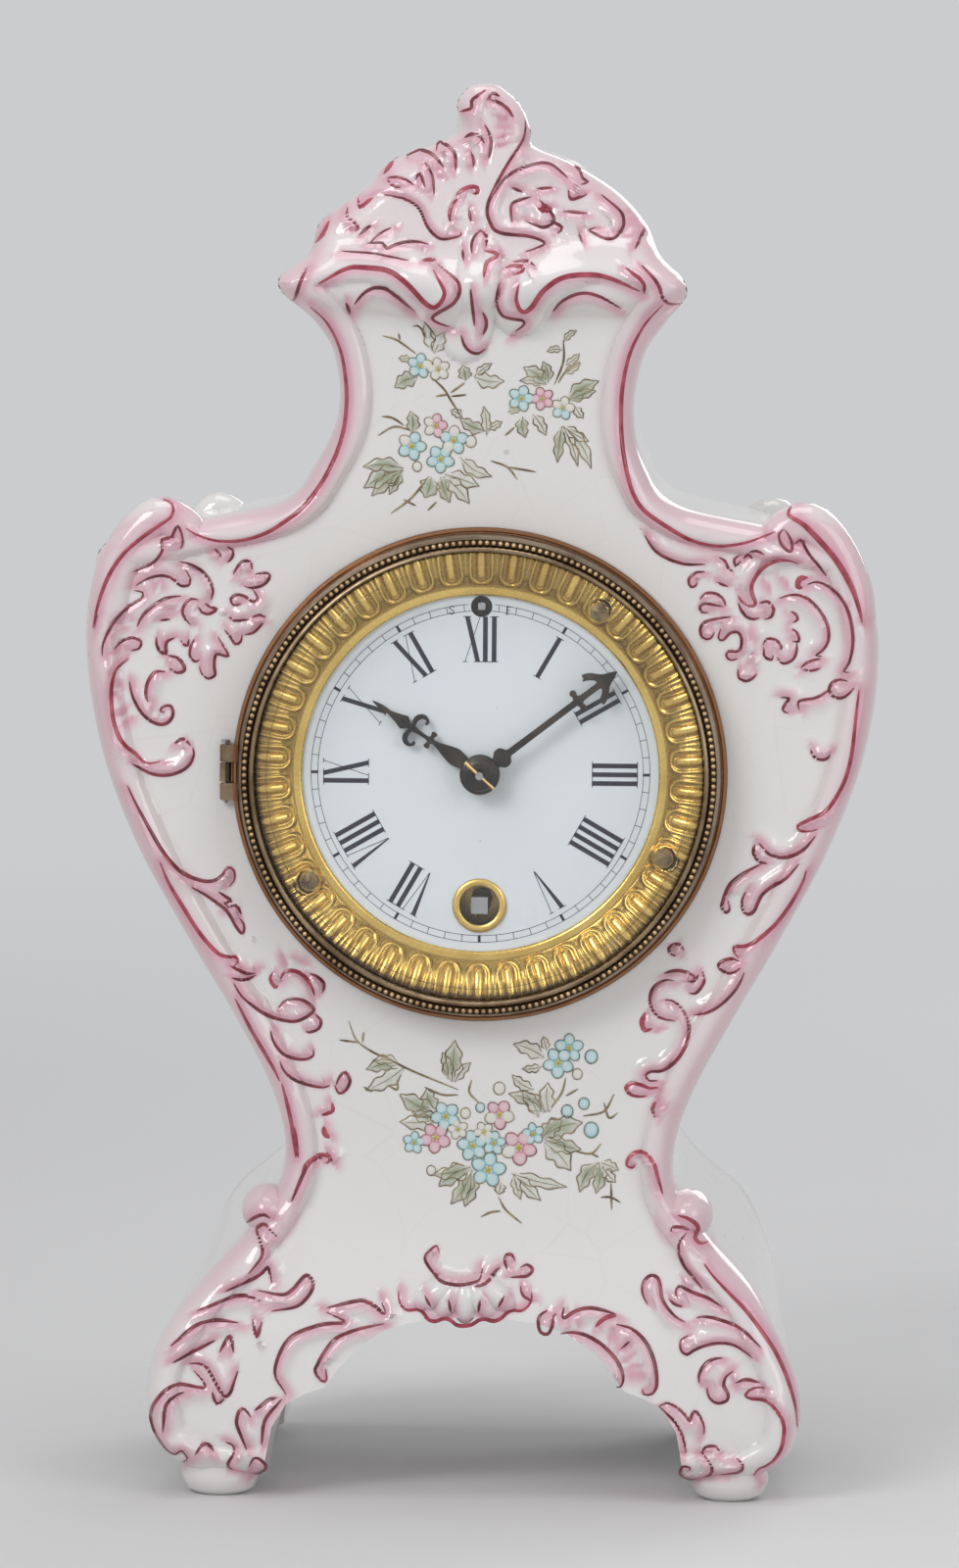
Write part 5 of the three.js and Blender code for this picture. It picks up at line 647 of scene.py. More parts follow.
def lofted(name, sections):
    """A closed form through sections of equal point count, flat at both ends."""
    return capped_rings(name, np.array(sections, float))


def soft_box(left, right, front, back, z, corner, n=8):
    """A level rectangle with round corners, as points."""
    turn = np.linspace(0, np.pi / 2, n)
    c, s = corner * np.cos(turn), corner * np.sin(turn)
    x = np.concatenate([right - corner + s, right - corner + c, left + corner - s, left + corner - c])
    y = np.concatenate([front + corner - c, back - corner + s, back - corner + c, front + corner - s])
    return np.c_[x, y, np.full(len(x), z)]


# What is cut from the casting: its hollow, which leaves a wall between two heights, the round mouths
# at the front and back, and the arches between the feet.
WALL, HOLLOW = 7.0, (62.0, 250.0)
DIAL_HEIGHT, MOUTH_RADIUS, BACK_MOUTH_RADIUS = 156.5, 46.6, 46.0
ARCH_FRONT = ((46, -2), (45.2, 7), (43.6, 16), (40.4, 21), (36.6, 22.8), (32, 24.2), (29.4, 28),
              (25.4, 33), (19.5, 37), (14.4, 38.6), (7, 39.6), (0, 40))
ARCH_REAR = ((46, -2), (45.4, 6), (44, 12), (42, 17), (39, 21.5), (35.4, 25), (31, 28.2), (26, 31),
             (20.4, 33.4), (14, 35.2), (7, 36.4), (0, 36.8))
ARCH_REACH, SIDE_ARCH_HALF, SIDE_ARCH_RISE = 66.0, 26.0, 12.0
# What is added to it: turned feet, a knob at each hip, and rolls along the shoulders' horns.
FOOT = ((0.6, 0), (5.6, 0), (7.6, 1.4), (8.5, 4), (8.1, 7.4), (6.2, 10), (0.6, 11))
FEET = ((-55.2, -45.4), (55.2, -45.4), (-54.4, 41), (54.4, 41))
HIP_RADIUS, HIP_DEPTH, HIP = 5.6, 8.6, (45.6, -40.4, 61.2)
HORN_RADIUS, HORN_DEPTH = 4.6, -42.9
HORN = ((80.6, 187), (79.4, 197), (75.6, 205.6), (70, 211), (64.4, 208.6), (62.4, 203))
REAR_HORN_RADIUS, REAR_HORN_DEPTH = 3.5, 46
REAR_HORN = ((72, 190), (70, 199), (66, 206.4), (62.5, 209.4), (57, 206.4), (50, 203.6), (44, 202.5))


def tube(name, path, radius, depth, sides=16):
    """A closed round roll along a path in a plane of equal y: circles of the given radii stand
    square to the path, and the last few shrink to close its ends."""
    path = np.asarray(path, float)
    way = np.gradient(path, axis=0)
    way /= np.linalg.norm(way, axis=1)[:, None]
    across = np.c_[-way[:, 1], way[:, 0]]
    radius = np.broadcast_to(radius, len(path)).copy()
    radius[[0, -1]] *= 0.45
    radius[[1, -2]] *= 0.85
    a = np.linspace(0, 2 * np.pi, sides, endpoint=False)
    xz = path[:, None] + across[:, None] * (radius[:, None] * np.cos(a))[..., None]
    y = depth + radius[:, None] * np.sin(a)
    return capped_rings(name, np.stack([xz[..., 0], y, xz[..., 1]], axis=-1))


# The shell on the apron: its lobes' tips, and what the lobes share.
SHELL_LOBES = ((-13.2, 41.4), (-8.2, 39.2), (-2.2, 38.2), (3.8, 39.2), (8.8, 41.4))
SHELL_TOP, SHELL_HALF_WIDTH, SHELL_DEPTH, SHELL_Y = (-2.2, 48.2), 3.1, 5.0, -49.4


def shell_frames():
    """Middle, direction and half-length of each lobe of the shell, which spread from its top."""
    tips = np.array(SHELL_LOBES)
    base = np.array(SHELL_TOP) + (tips - SHELL_TOP) * (0.12, 0.0)
    way = tips - base
    length = np.hypot(*way.T)
    return (tips + base) / 2, way / length[:, None], length / 2 + 0.4


def shell_lobe(middle, way, half):
    """One lobe of the shell: an ellipsoid with its long axis along the way."""
    t = np.linspace(0.12, np.pi - 0.12, 13)[:, None]
    a = np.linspace(0, 2 * np.pi, 24, endpoint=False)
    along = half * np.cos(t) * np.ones_like(a)
    across = SHELL_HALF_WIDTH * np.sin(t) * np.cos(a)
    y = SHELL_Y + SHELL_DEPTH * np.sin(t) * np.sin(a)
    x = middle[0] + along * way[0] - across * way[1]
    z = middle[1] + along * way[1] + across * way[0]
    return capped_rings("lobe", np.stack([x, y, z], axis=-1))


rolls = []
for sign in (-1, 1):
    mirror = np.array([sign, 1])
    rolls.append(tube("horn", smooth_path(HORN * mirror, 2), HORN_RADIUS, HORN_DEPTH))
    rolls.append(tube("rear horn", smooth_path(REAR_HORN * mirror, 2), REAR_HORN_RADIUS, REAR_HORN_DEPTH))
    swell = np.linspace(0.1, np.pi - 0.1, 14)
    rolls.append(turned("hip", np.c_[HIP_RADIUS * np.sin(swell), -HIP_DEPTH * np.cos(swell)],
                        (sign * HIP[0], HIP[1], HIP[2]), "y", 36))
for x, y in FEET:
    rolls.append(turned("foot", FOOT, (x, y, 0), columns=40))
case = worked(case, "UNION", *rolls)

hollow_levels = np.linspace(*HOLLOW, 40)
hollow_rows = between_rows(PANEL_ROWS, hollow_levels)
hollow = lofted("hollow", [
    soft_box(-0.5 * (l + h) + WALL, 0.5 * (r + h) - WALL, -38, b - WALL, z, 5)
    for z, (l, r, h, f, b) in zip(hollow_levels, hollow_rows)])
arch_sections = []
for share, y in ((0, -ARCH_REACH), (0.08, -56), (0.5, 0), (0.92, 56), (1, ARCH_REACH)):
    half = (1 - share) * np.array(ARCH_FRONT, float) + share * np.array(ARCH_REAR, float)
    full = np.vstack([half, half[-2::-1] * np.array([-1, 1])])
    arch_sections.append(np.c_[full[:, 0], np.full(len(full), y), full[:, 1]])
arch = lofted("arch", arch_sections)
a = np.linspace(0, 2 * np.pi, 48, endpoint=False)
side_arch = lofted("side arch", [
    np.c_[np.full(48, x), SIDE_ARCH_HALF * np.cos(a), SIDE_ARCH_RISE * np.sin(a)] for x in (-100, 100)])
mouth = turned("mouth", ((MOUTH_RADIUS, -70), (MOUTH_RADIUS, -20)), (0, 0, DIAL_HEIGHT), "y", 128)
back_mouth = turned("back mouth", ((BACK_MOUTH_RADIUS, 20), (BACK_MOUTH_RADIUS, 70)),
                    (0, 0, DIAL_HEIGHT), "y", 96)
case = worked(case, "DIFFERENCE", arch, side_arch, hollow, mouth, back_mouth)
case = worked(case, "UNION", *[shell_lobe(*lobe) for lobe in zip(*shell_frames())])
case.data.set_sharp_from_angle(angle=math.radians(40))


def tint_case(piece):
    """Rose tint, as an attribute from 0 to 1: round the front's painted strokes, on the outline's rim
    and the hips' knobs, faint over the whole crest, and fading to white along the sides."""
    mesh = piece.data
    co = np.zeros(len(mesh.vertices) * 3, np.float32)
    mesh.vertices.foreach_get("co", co)
    x, y, z = (co.reshape(-1, 3) / MM).T.astype(float)
    levels = case_levels()
    rows = between_rows(PANEL_ROWS, levels)
    front = np.flatnonzero(y < -22)
    gap = np.full(len(x), 99.0)
    tint = np.zeros(len(x))
    gap[front] = outline_gap(x[front], z[front], rows, levels)
    tint[front] = 0.8 * stroke_field(x[front], z[front], strokes)[1]
    rim = (0.30 + 0.25 * np.exp(-((gap - 1.5) / 2.0) ** 2)) * (1 - smooth_rise(gap, 5.5, 11))
    rim *= 0.3 + 0.7 * smooth_rise(z, 8, 60)
    crest = 0.20 * smooth_rise(z, 254, 262) + 0.10 * smooth_rise(z, 264, 272)
    tint = np.maximum(np.maximum(tint, rim), crest) + 0.25 * np.minimum(tint, rim)
    tint *= 1 - 0.75 * smooth_rise(y, -46, -30)
    off = np.hypot(np.abs(x) - HIP[0], z - HIP[2])
    tint = np.maximum(tint, 0.5 * (1 - smooth_rise(off, 6.6, 9)) * (1 - smooth_rise(y, -42, -18)))
    layer = mesh.attributes.new("rose", "FLOAT", "POINT")
    layer.data.foreach_set("value", tint.astype(np.float32))


tint_case(case)


class Wire:
    """One output of a shader node, usable in sums with others and with plain numbers."""

    def __init__(self, tree, socket):
        self.tree, self.socket = tree, socket

    def node(self, kind, settings=None, out=0, **values):
        """An output of a new node of the kind: its settings are made first, then its sockets, which
        go by name, or by number as i0, i1 and so on, get a value or a wire."""
        node = self.tree.nodes.new(kind)
        for key, value in (settings or {}).items():
            if key == "ramp":
                stops = node.color_ramp.elements
                while len(stops) < len(value):
                    stops.new(0.5)
                for stop, (place, color) in zip(stops, value):
                    stop.position, stop.color = place, (*color, 1)
            else:
                setattr(node, key, value)
        for key, value in values.items():
            key = int(key[1:]) if key[0] == "i" and key[1:].isdigit() else key.replace("_", " ")
            if isinstance(value, Wire):
                self.tree.links.new(value.socket, node.inputs[key])
            else:
                if isinstance(value, tuple) and len(value) == 3 and node.inputs[key].type == "RGBA":
                    value = (*value, 1)
                node.inputs[key].default_value = value
        return Wire(self.tree, node.outputs[out])

    def math(self, operation, other=0.0, first=None):
        """A Math node of this wire and another value, or of a first value and this wire."""
        return self.node("ShaderNodeMath", {"operation": operation},
                         i0=self if first is None else first, i1=other if first is None else self)

    def __add__(self, other):
        return self.math("ADD", other)

    __radd__ = __add__

    def __mul__(self, other):
        return self.math("MULTIPLY", other)

    __rmul__ = __mul__

    def __sub__(self, other):
        return self.math("SUBTRACT", other)

    def __rsub__(self, other):
        return self.math("SUBTRACT", first=other)

    def ramp(self, low, high):
        """0 below low to 1 above high, with soft ends."""
        return self.node("ShaderNodeMapRange", {"interpolation_type": "SMOOTHSTEP"},
                         Value=self, From_Min=low, From_Max=high)

    def mixed(self, first, second):
        """A colour between two, this wire being the share of the second."""
        return self.node("ShaderNodeMix", {"data_type": "RGBA"}, 2, i0=self, i6=first, i7=second)


def finish_material(name, build, **plain):
    """A material whose principled shader takes the plain numbers, and whose varying inputs come
    from the build function, which is given a wire of the object's own coordinates."""
    material = bpy.data.materials.new(name)
    material.use_nodes = True
    tree = material.node_tree
    shader = tree.nodes["Principled BSDF"]
    for key, value in plain.items():
        key = key.replace("_", " ")
        shader.inputs[key].default_value = (*value, 1) if isinstance(value, tuple) else value
    place = Wire(tree, tree.nodes.new("ShaderNodeTexCoord").outputs["Object"])
    for key, value in build(place).items():
        tree.links.new(value.socket, shader.inputs[key.replace("_", " ")])
    return material


GLAZE_WHITE = (0.86, 0.845, 0.83)
GLAZE_GREY = (0.79, 0.775, 0.76)
ROSE = (0.72, 0.36, 0.45)


def glaze(place):
    """White glaze with a warm cast, rose where the tint says, fine crazing, specks, and the slight
    unevenness of a glazed surface."""
    cloud = place.node("ShaderNodeTexNoise", Vector=place, Scale=22.0, Detail=3.0)
    fine = place.node("ShaderNodeTexNoise", Vector=place, Scale=240.0, Detail=2.0)
    bent = place.node("ShaderNodeTexNoise", Vector=place, Scale=30.0, Detail=2.0)
    craze = place.node("ShaderNodeTexVoronoi", {"feature": "DISTANCE_TO_EDGE"}, Vector=place, Scale=62.0)
    line = 1 - (craze + (bent - 0.5) * 0.02).ramp(0.002, 0.012)
    speck = place.node("ShaderNodeTexVoronoi", {"feature": "F1"}, Vector=place, Scale=70.0)
    dot = 1 - speck.ramp(0.03, 0.055)
    rose = place.node("ShaderNodeAttribute", {"attribute_name": "rose"}, 2)
    rose = (rose + (cloud - 0.5) * 0.12 * rose).ramp(0.03, 1.0)
    color = (cloud * 0.6).mixed(GLAZE_WHITE, GLAZE_GREY)
    color = rose.mixed(color, ROSE)
    color = (line * 0.05).mixed(color, (0.42, 0.34, 0.28))
    color = (dot * 0.35).mixed(color, (0.30, 0.24, 0.2))
    height = cloud * 0.6 + fine * 0.12
    bump = place.node("ShaderNodeBump", Strength=0.12, Distance=0.0012, Height=height)
    return {"Base_Color": color, "Roughness": fine * 0.08 + 0.10, "Normal": bump}


porcelain = finish_material("Glazed porcelain", glaze, Coat_Weight=0.5, Coat_Roughness=0.04,
                            Coat_IOR=1.5, IOR=1.5)
case.data.materials.append(porcelain)
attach(case, "case")
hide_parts("case_body")


# Painted lines of the scrollwork: thin brush strokes in maroon overglaze enamel that follow the edges
# of the relief, thick in the middle and fine at the ends, and fired on. Those along the rims are wider
# and redder.
BESIDE = 99.0


def tube_front(points, path, radius, depth):
    """The y of a round roll's front over (x, z) points, and a far one beside it: a circle's arc
    across the roll's path."""
    gap = distance_to(path, points)[0]
    return np.where(gap < radius, depth - np.sqrt(np.clip(radius**2 - gap**2, 0, None)), BESIDE)


def front_at(points):
    """The y of the case's front at (x, z) points, read between the points of its own rings, or of a
    horn or hip that stands before it. Beside the case there is none."""
    points = np.asarray(points, float)
    x, z = points[:, 0], points[:, 1]
    levels = case_levels()
    rows = between_rows(PANEL_ROWS, levels)
    i = np.clip(np.searchsorted(levels, z, side="right") - 1, 0, len(levels) - 2)
    up = np.clip((z - levels[i]) / (levels[i + 1] - levels[i]), 0, 1)
    y = np.zeros_like(x)
    for step, share in ((0, 1 - up), (1, up)):
        left, right = rows[i + step, 0], rows[i + step, 1]
        corner = np.minimum(CORNER, 0.55 * 0.5 * (left + right))
        spread = (COLUMNS - 2 * ARC_COLUMNS - 1) / (left + right - 2 * corner)
        column = ARC_COLUMNS + (x + left - corner) * spread
        rounded = np.arccos(np.clip(1 - (x + left) / corner, 0, 1)) * 2 * ARC_COLUMNS / np.pi
        column = np.where(x < corner - left, rounded, column)
        rounded = COLUMNS - 1 - np.arccos(np.clip(1 - (right - x) / corner, 0, 1)) * 2 * ARC_COLUMNS / np.pi
        column = np.clip(np.where(x > right - corner, rounded, column), 0, COLUMNS - 1.001)
        k = column.astype(int)
        ring = case_shape[i + step]
        places = np.arange(len(x))
        y += share * (ring[places, k, 1] * (1 - column + k) + ring[places, k + 1, 1] * (column - k))
    inside = (x > -np.interp(z, levels, rows[:, 0])) & (x < np.interp(z, levels, rows[:, 1]))
    y = np.where(inside, y, BESIDE)
    for sign in (-1, 1):
        horn = smooth_path(HORN * np.array([sign, 1]), 2)
        y = np.minimum(y, tube_front(points, horn, HORN_RADIUS, HORN_DEPTH))
        off = np.hypot(x - sign * HIP[0], z - HIP[2])
        knob = HIP[1] - HIP_DEPTH * np.sqrt(np.clip(1 - (off / HIP_RADIUS) ** 2, 0, None))
        y = np.where(off < HIP_RADIUS, np.minimum(y, knob), y)
    for middle, way, half in zip(*shell_frames()):
        u = ((x - middle[0]) * way[0] + (z - middle[1]) * way[1]) / half
        v = ((z - middle[1]) * way[0] - (x - middle[0]) * way[1]) / SHELL_HALF_WIDTH
        reach = 1 - u**2 - v**2
        lobe = SHELL_Y - SHELL_DEPTH * np.sqrt(np.clip(reach, 0, None))
        y = np.where(reach > 0, np.minimum(y, lobe), y)
    return np.where(y < BESIDE, y, np.nan)


def painted_ribbon(path, width, lift=0.13, sides=5):
    """A low ridge of paint along a path on the front: half an ellipse across, whose width swells
    along the path as a half sine does."""
    y = front_at(path)
    good = np.isfinite(y)
    if good.sum() < 4:
        return None
    path, y = path[good], y[good]
    way = np.gradient(path, axis=0)
    way /= np.maximum(np.linalg.norm(way, axis=1), 1e-6)[:, None]
    across = np.c_[-way[:, 1], way[:, 0]]
    t = np.linspace(0, 1, len(path))
    half = 0.62 * width * np.clip(0.22 + 1.05 * np.sin(np.pi * t) ** 0.6, 0.2, 1.15)
    a = np.linspace(0, np.pi, sides)
    xz = path[:, None] + across[:, None] * (half[:, None] * np.cos(a))[..., None]
    ys = front_at(xz.reshape(-1, 2)).reshape(xz.shape[:2])
    ys = np.where(np.isfinite(ys), ys, y[:, None])
    ys = np.minimum(ys, y[:, None] + 0.8) - lift * np.sin(a) - 0.03
    points = np.stack([xz[..., 0], ys, xz[..., 1]], axis=-1)
    under = points[:, [0, -1]].copy()
    under[..., 1] += 0.25
    return np.concatenate([points, under[:, ::-1]], axis=1)


def ribbons(name, items):
    """One mesh of many ribbons, each closed at its ends."""
    points, quads, start = [], [], 0
    for ring in items:
        rows, columns = ring.shape[:2]
        points.append(ring.reshape(-1, 3))
        quads.append(grid_faces(rows, columns, wrap_columns=True, start=start))
        start += rows * columns
    return mesh_piece(name, np.vstack(points), np.vstack(quads))


def line_color(dark, light):
    """Enamel that is darker where the brush left more of it."""
    def build(place):
        load = place.node("ShaderNodeTexNoise", Vector=place, Scale=330.0, Detail=2.0)
        return {"Base_Color": load.ramp(0.3, 0.72).mixed(dark, light)}
    return build


maroon = finish_material("Maroon enamel", line_color((0.11, 0.012, 0.02), (0.30, 0.05, 0.075)),
                         Roughness=0.25, Coat_Weight=0.3)
rose_red = finish_material("Rose red enamel", line_color((0.27, 0.02, 0.045), (0.48, 0.09, 0.13)),
                           Roughness=0.25, Coat_Weight=0.3)
fine_lines, rim_lines = [], []
for width, _, _, path in strokes:
    ring = painted_ribbon(smooth_path(path[::2], 0.8) if len(path) > 6 else path, width)
    if ring is not None:
        (rim_lines if width >= 0.6 else fine_lines).append(ring)
for name, items, material in (("Painted_scroll_lines", fine_lines, maroon),
                              ("Painted_rim_lines", rim_lines, rose_red)):
    lines = ribbons(name, items)
    lines.data.materials.append(material)
    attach(lines, "case")

# Painted flowers: sprays of small five-petalled flowers with leaves on brown stems, painted on the
# glaze in thin enamels above and below the dial. Each petal is a low drop of paint, paler in its
# middle, and the leaves are thin washes with brown outlines and a midrib.
# Each line is a flower: its colour, blue, pink or white, its size and its middle.
FLOWERS = """
b 2.7 -13.6,244.2
w 2.5 -9.6,243.5
p 2.6 -10.2,231.4
b 3.1 -15.2,227.0
b 3.1 -6.2,228.3
b 3.0 -9.0,224.3
b 2.8 8.2,237.4
p 2.5 12.8,237.4
b 2.5 17.2,235.4
b 3.2 -6.9,82.3
p 3.2 4.7,82.8
b 2.4 -13.7,76.5
p 3.3 -9.1,77.6
b 3.3 -1.0,76.0
b 2.6 3.6,76.6
b 2.4 12.1,78.7
p 3.8 9.0,75.7
b 3.8 2.4,70.8
b 3.3 17.4,94.2
b 3.1 19.7,97.4
w 2.2 -4.2,79.5
w 2.2 1.4,79.0
"""
# Buds, in the same way.
BUDS = """
b 1.2 23.0,85.4
b 1.3 19.4,83.7
b 1.4 24.5,95.6
w 1.3 4.7,88.5
w 1.1 21.5,91.8
b 1.6 24.6,79.7
w 1.0 -9.9,70.5
b 1.0 0.6,84.3
w 1.1 -2.6,83.0
w 1.0 -14.0,222.6
w 1.2 -2.5,228.1
"""
# Leaves: the width, the depth of the wash, the base and the tip.
LEAVES = """
2.5 0.4 -10.6,246.9 -8.5,251.5
1.9 0.25 -10.8,247.3 -12.5,253.8
3.1 0.8 -14.0,241.8 -19.0,239.5
2.5 0.6 -3.7,241.1 -4.4,244.4
2.9 0.35 -2.1,242.1 4.6,241.1
1.5 0.2 -1.8,242.1 1.9,244.9
2.5 1 0.7,230.4 -5.0,233.1
1.9 0.3 0.9,229.4 0.2,235.7
1.7 0.3 -4.4,233.5 -6.9,234.8
1.5 0.2 1.1,230.7 4.2,232.4
2.9 0.6 -16.9,222.2 -25.7,222.5
3.8 0.7 -16.9,221.9 -25.5,217.9
2.9 0.6 -17.1,221.7 -23.8,216.2
2.1 0.5 -17.3,221.7 -20.0,216.5
2.5 0.6 -15.2,229.7 -15.6,234.5
2.9 0.4 -8.5,220.5 -2.7,214.7
2.9 0.35 -8.1,221.0 -0.6,218.5
2.5 0.5 -9.0,220.5 -6.9,214.9
2.5 0.25 -4.8,224.8 2.1,220.6
3.8 0.8 -11.0,220.5 -12.3,215.9
2.9 0.7 13.6,240.4 8.6,244.1
2.1 0.7 14.0,240.8 12.8,245.4
1.7 0.3 13.2,240.4 7.8,241.2
1.3 0.3 17.0,247.9 13.6,247.5
1.2 0.4 17.2,249.6 20.1,252.1
1.5 0.3 17.2,242.9 20.9,245.2
1.4 0.4 17.6,244.6 20.7,247.1
2.9 0.6 18.2,237.1 24.9,241.3
2.1 0.6 18.2,237.1 24.3,239.2
1.7 0.3 19.9,235.8 21.6,233.3
2.1 0.5 17.0,231.6 16.1,223.7
2.5 0.4 17.2,231.6 23.4,222.5
2.1 0.4 17.2,231.6 22.8,228.3
1.7 0.3 17.2,231.6 20.5,222.9
2.3 0.8 8.6,233.6 9.2,229.0
2.1 0.3 10.7,234.1 13.6,229.5
1.3 0.2 -15.6,246.0 -18.2,245.8
1.3 0.2 5.3,234.5 8.2,234.9
3.2 0.4 -15.8,92.9 -24.2,87.7
2.7 0.5 -17.4,94.0 -24.2,92.3
2.2 0.3 -16.9,93.4 -22.8,94.2
3.8 0.6 -5.6,89.7 -5.0,98.9
1.9 0.2 -5.0,89.7 -1.5,94.1
2.2 0.7 -6.4,90.3 -7.7,96.2
3.0 0.3 14.4,95.3 7.6,98.2
1.6 0.3 14.9,96.9 14.1,99.9
1.6 0.2 13.9,93.4 9.5,92.8
2.2 0.2 12.2,88.3 7.4,91.5
3.2 0.7 14.9,83.4 6.6,87.4
2.7 0.4 13.3,82.3 9.5,88.2
3.2 0.4 15.5,83.4 15.2,89.9
3.8 0.5 -8.8,82.7 -16.9,87.0
3.2 0.4 -8.8,81.6 -16.9,81.0
3.2 0.7 -9.1,83.8 -11.0,88.3
2.7 0.6 -8.3,82.2 -14.2,83.2
4.3 0.6 13.9,78.0 22.8,81.3
4.3 0.4 14.4,76.9 20.3,70.8
3.2 0.6 14.4,77.5 22.5,75.4
3.2 0.7 13.9,78.0 18.2,81.8
3.8 0.6 -1.3,71.4 -8.3,67.1
3.2 0.5 -1.3,70.3 -2.6,62.8
3.2 0.5 -1.0,70.9 -5.6,63.3
2.7 0.5 -1.3,71.4 -9.9,69.7
2.7 0.3 7.9,69.9 13.9,64.3
2.4 0.3 7.4,70.1 19.5,67.3
1.9 0.3 7.9,69.9 9.5,64.5
3.2 0.8 26.3,72.7 22.2,66.2
2.7 0.6 26.3,72.7 25.7,66.0
2.2 0.4 26.8,72.7 30.6,71.1
2.2 0.3 27.1,71.6 30.0,68.4
2.2 0.2 5.2,68.2 4.7,65.5
"""
# Stems, as the points that they run through.
STEMS = """
-21.7,250.6 -18.6,249.7 -14.4,246.8
-18.2,251.2 -17.9,249.7
-11.5,242.1 -8.5,239.4 -6.9,236.9 -4.4,233.1
-10.2,237.7 -7.7,238.1
-6.9,238.5 -3.9,240.7
-6.9,237.7 -3.5,238.1
17.2,250.0 17.2,245.4 15.3,240.4
20.7,245.4 17.8,243.3 16.1,240.8
-19.6,212.5 -15.2,215.9 -11.5,220.5
-16.9,215.5 -14.2,214.2
-11.7,213.2 -9.8,215.1
1.7,224.0 5.3,222.7 7.6,220.0
5.3,222.7 11.5,221.7
4.8,229.4 6.9,231.3
-15.2,230.3 -19.0,231.1 -22.5,229.2
-16.9,231.4 -19.4,233.0 -21.7,233.3
-15.2,252.7 -13.6,252.5 -11.0,248.5
-12.7,254.0 -10.8,251.5 -10.4,250.6
-28.0,102.8 -26.3,98.7 -22.8,96.1 -19.1,94.5 -14.2,92.1 -4.2,88.1
-30.0,98.6 -25.5,98.1
-24.7,100.4 -25.0,98.2
-11.5,88.6 -7.7,87.0 -4.2,87.0
-1.3,90.3 -1.8,87.6 0.4,85.2
-19.3,88.8 -17.4,88.0 -17.4,90.2
19.0,91.0 18.2,87.8 16.0,84.5
21.7,88.6 19.0,87.0
22.8,82.7 27.3,83.8 29.5,87.6
27.3,85.7 28.4,82.4 30.3,83.5
20.9,75.1 24.6,74.6 26.8,76.8
24.6,74.6 26.3,73.8
4.7,65.0 6.3,62.3 9.8,59.4
5.2,62.0 3.1,61.7 0.9,60.7
29.0,68.4 29.2,62.5
26.8,65.2 29.0,65.2 31.1,64.1
-24.7,88.5 -22.8,87.4
"""


def turned_out(piece):
    """The piece with its faces turned outwards."""
    mesh = bmesh.new()
    mesh.from_mesh(piece.data)
    bmesh.ops.recalc_face_normals(mesh, faces=mesh.faces)
    mesh.to_mesh(piece.data)
    mesh.free()
    return piece


def paint_layer(name, outlines, middles, lift, load):
    """Low closed patches of paint on the front. Each is a fan from its middle over its outline,
    raised as a dome is: the middle by the lift, a ring at two thirds a little less, the edge by
    almost nothing. The load, from 0 to 1 at the middle, the ring and the edge, is kept for colour."""
    outlines, middles = np.asarray(outlines, float), np.asarray(middles, float)
    count, n = outlines.shape[:2]
    ring = middles[:, None] + 0.66 * (outlines - middles[:, None])
    flat = np.concatenate([outlines, ring, middles[:, None]], axis=1)
    rise = np.concatenate([np.full(n, 0.03), np.full(n, 0.8 * lift), [lift]])
    ground = front_at(flat.reshape(-1, 2)).reshape(flat.shape[:2])
    under = front_at(outlines.reshape(-1, 2)).reshape(count, n) + 0.25
    top = np.stack([flat[..., 0], ground - rise, flat[..., 1]], axis=-1)
    low = np.stack([outlines[..., 0], under, outlines[..., 1]], axis=-1)
    middle_low = np.stack([middles[:, 0], under.mean(axis=1), middles[:, 1]], axis=-1)[:, None]
    points = np.concatenate([top, low, middle_low], axis=1)
    i = np.arange(n)
    j = (i + 1) % n
    quads = np.vstack([np.c_[i, j, j + n, i + n], np.c_[j, i, i + 2 * n + 1, j + 2 * n + 1]])
    fans = np.vstack([np.c_[i + n, j + n, np.full(n, 2 * n)],
                      np.c_[j + 2 * n + 1, i + 2 * n + 1, np.full(n, 3 * n + 1)]])
    steps = (np.arange(count) * (3 * n + 2))[:, None, None]
    piece = mesh_piece(name, points.reshape(-1, 3),
                       [(quads[None] + steps).reshape(-1, 4), (fans[None] + steps).reshape(-1, 3)])
    turned_out(piece)
    share = np.concatenate([np.full(n, load[2]), np.full(n, load[1]), [load[0]], np.full(n + 1, load[2])])
    layer = piece.data.attributes.new("load", "FLOAT", "POINT")
    layer.data.foreach_set("value", np.tile(share, count).astype(np.float32))
    return piece


def wash(thin, thick):
    """Thin enamel: from the pale colour where it is thin to the full one where it lies thick."""
    def build(place):
        load = place.node("ShaderNodeAttribute", {"attribute_name": "load"}, 2)
        cloud = place.node("ShaderNodeTexNoise", Vector=place, Scale=420.0, Detail=2.0)
        color = (load + (cloud - 0.5) * 0.5).ramp(0.0, 1.0).mixed(thin, thick)
        return {"Base_Color": color, "Roughness": cloud * 0.1 + 0.18}
    return build


random = np.random.default_rng(7)
flower_lines = []


def read_places(text):
    """The words of each line, with the x,z pairs as an array at the end."""
    rows = [line.split() for line in text.strip().splitlines()]
    return [([w for w in row if "," not in w],
             np.array([[float(v) for v in w.split(",")] for w in row if "," in w])) for row in rows]


